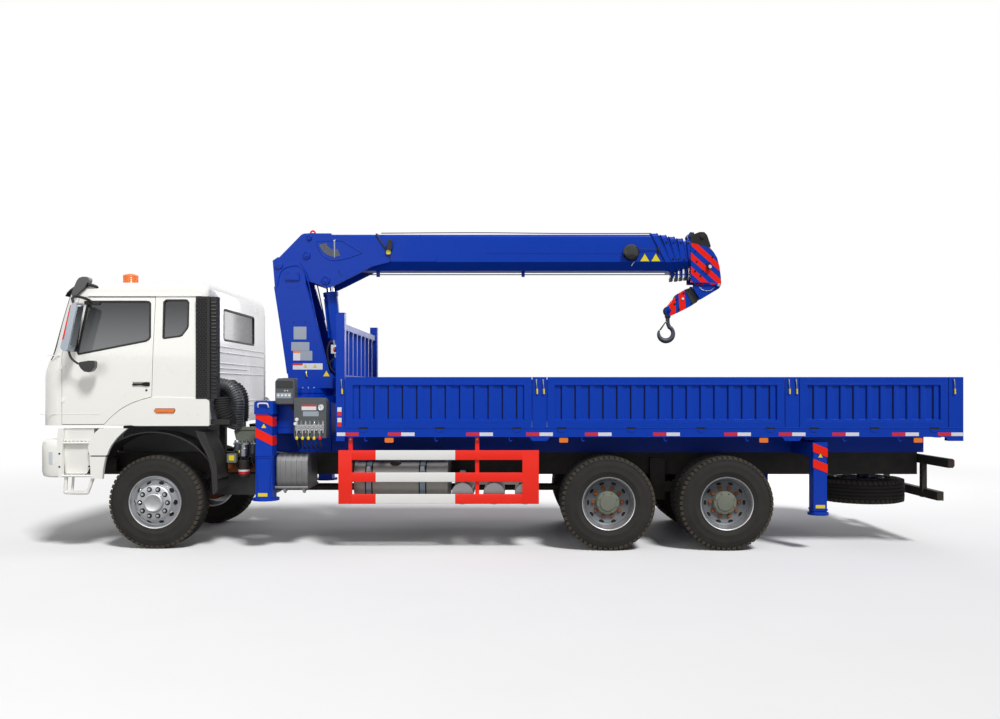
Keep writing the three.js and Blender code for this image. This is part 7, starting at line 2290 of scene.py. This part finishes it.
class CRANE_OT_hook(bpy.types.Operator):
    """Builds the hook block, forged hook and stowing arm"""

    bl_idname = "crane.hook"
    bl_label = "Hook"

    def execute(self, context):
        build_hook()
        return {"FINISHED"}


class CRANE_OT_front_steps(bpy.types.Operator):
    """Builds the bumper, entry steps and mudguards"""

    bl_idname = "crane.front_steps"
    bl_label = "Bumper and steps"

    def execute(self, context):
        build_front_steps()
        return {"FINISHED"}


class CRANE_OT_side_gear(bpy.types.Operator):
    """Builds the silencer, fuel tank and guard rails"""

    bl_idname = "crane.side_gear"
    bl_label = "Side gear"

    def execute(self, context):
        build_side_gear()
        return {"FINISHED"}


class CRANE_OT_bridge_gear(bpy.types.Operator):
    """Builds filters, valves and hoses between cab and crane"""

    bl_idname = "crane.bridge_gear"
    bl_label = "Frame fittings"

    def execute(self, context):
        build_bridge_gear()
        return {"FINISHED"}


class CRANE_OT_outriggers(bpy.types.Operator):
    """Builds the bands, collars, handles and feet of the legs"""

    bl_idname = "crane.outriggers"
    bl_label = "Outriggers"

    def execute(self, context):
        build_outriggers()
        return {"FINISHED"}


class CRANE_OT_controls(bpy.types.Operator):
    """Builds the cabinet, valve bank and display box"""

    bl_idname = "crane.controls"
    bl_label = "Control station"

    def execute(self, context):
        build_controls()
        return {"FINISHED"}


class CRANE_OT_rear_lights(bpy.types.Operator):
    """Builds the lamp bar and the underrun bar"""

    bl_idname = "crane.rear_lights"
    bl_label = "Rear lights"

    def execute(self, context):
        build_rear_lights()
        return {"FINISHED"}


class CRANE_OT_stage(bpy.types.Operator):
    """Sets up floor, lamps, surroundings and camera"""

    bl_idname = "crane.stage"
    bl_label = "Studio"

    def execute(self, context):
        build_stage()
        return {"FINISHED"}


OPERATORS = (
    CRANE_OT_paints,
    CRANE_OT_wheels,
    CRANE_OT_spare_wheel,
    CRANE_OT_boards,
    CRANE_OT_bed_trim,
    CRANE_OT_cab_shell,
    CRANE_OT_doors,
    CRANE_OT_cab_trim,
    CRANE_OT_cab_front,
    CRANE_OT_cab_rear,
    CRANE_OT_cab_interior,
    CRANE_OT_boom_base,
    CRANE_OT_boom_sections,
    CRANE_OT_column,
    CRANE_OT_luff,
    CRANE_OT_ropes,
    CRANE_OT_hook,
    CRANE_OT_front_steps,
    CRANE_OT_side_gear,
    CRANE_OT_bridge_gear,
    CRANE_OT_outriggers,
    CRANE_OT_controls,
    CRANE_OT_rear_lights,
    CRANE_OT_stage,
)


class CRANE_PT_lorry(bpy.types.Panel):
    bl_label = "Crane lorry"
    bl_idname = "CRANE_PT_lorry"
    bl_space_type = "VIEW_3D"
    bl_region_type = "UI"
    bl_category = "Crane lorry"

    def draw(self, context):
        for group in (context.scene.crane_paints, context.scene.crane_sizes):
            column = self.layout.column()
            for key in type(group).__annotations__:
                column.prop(group, key)
        for kind in OPERATORS:
            self.layout.operator(kind.bl_idname)


CLASSES = (CranePaints, CraneSizes, *OPERATORS, CRANE_PT_lorry)


def register():
    for kind in CLASSES:
        bpy.utils.register_class(kind)
    bpy.types.Scene.crane_paints = bpy.props.PointerProperty(type=CranePaints)
    bpy.types.Scene.crane_sizes = bpy.props.PointerProperty(type=CraneSizes)


def unregister():
    del bpy.types.Scene.crane_sizes
    del bpy.types.Scene.crane_paints
    for kind in reversed(CLASSES):
        bpy.utils.unregister_class(kind)


def main():
    register()
    for kind in OPERATORS:
        group, name = kind.bl_idname.split(".")
        getattr(getattr(bpy.ops, group), name)()


if __name__ == "__main__":
    main()
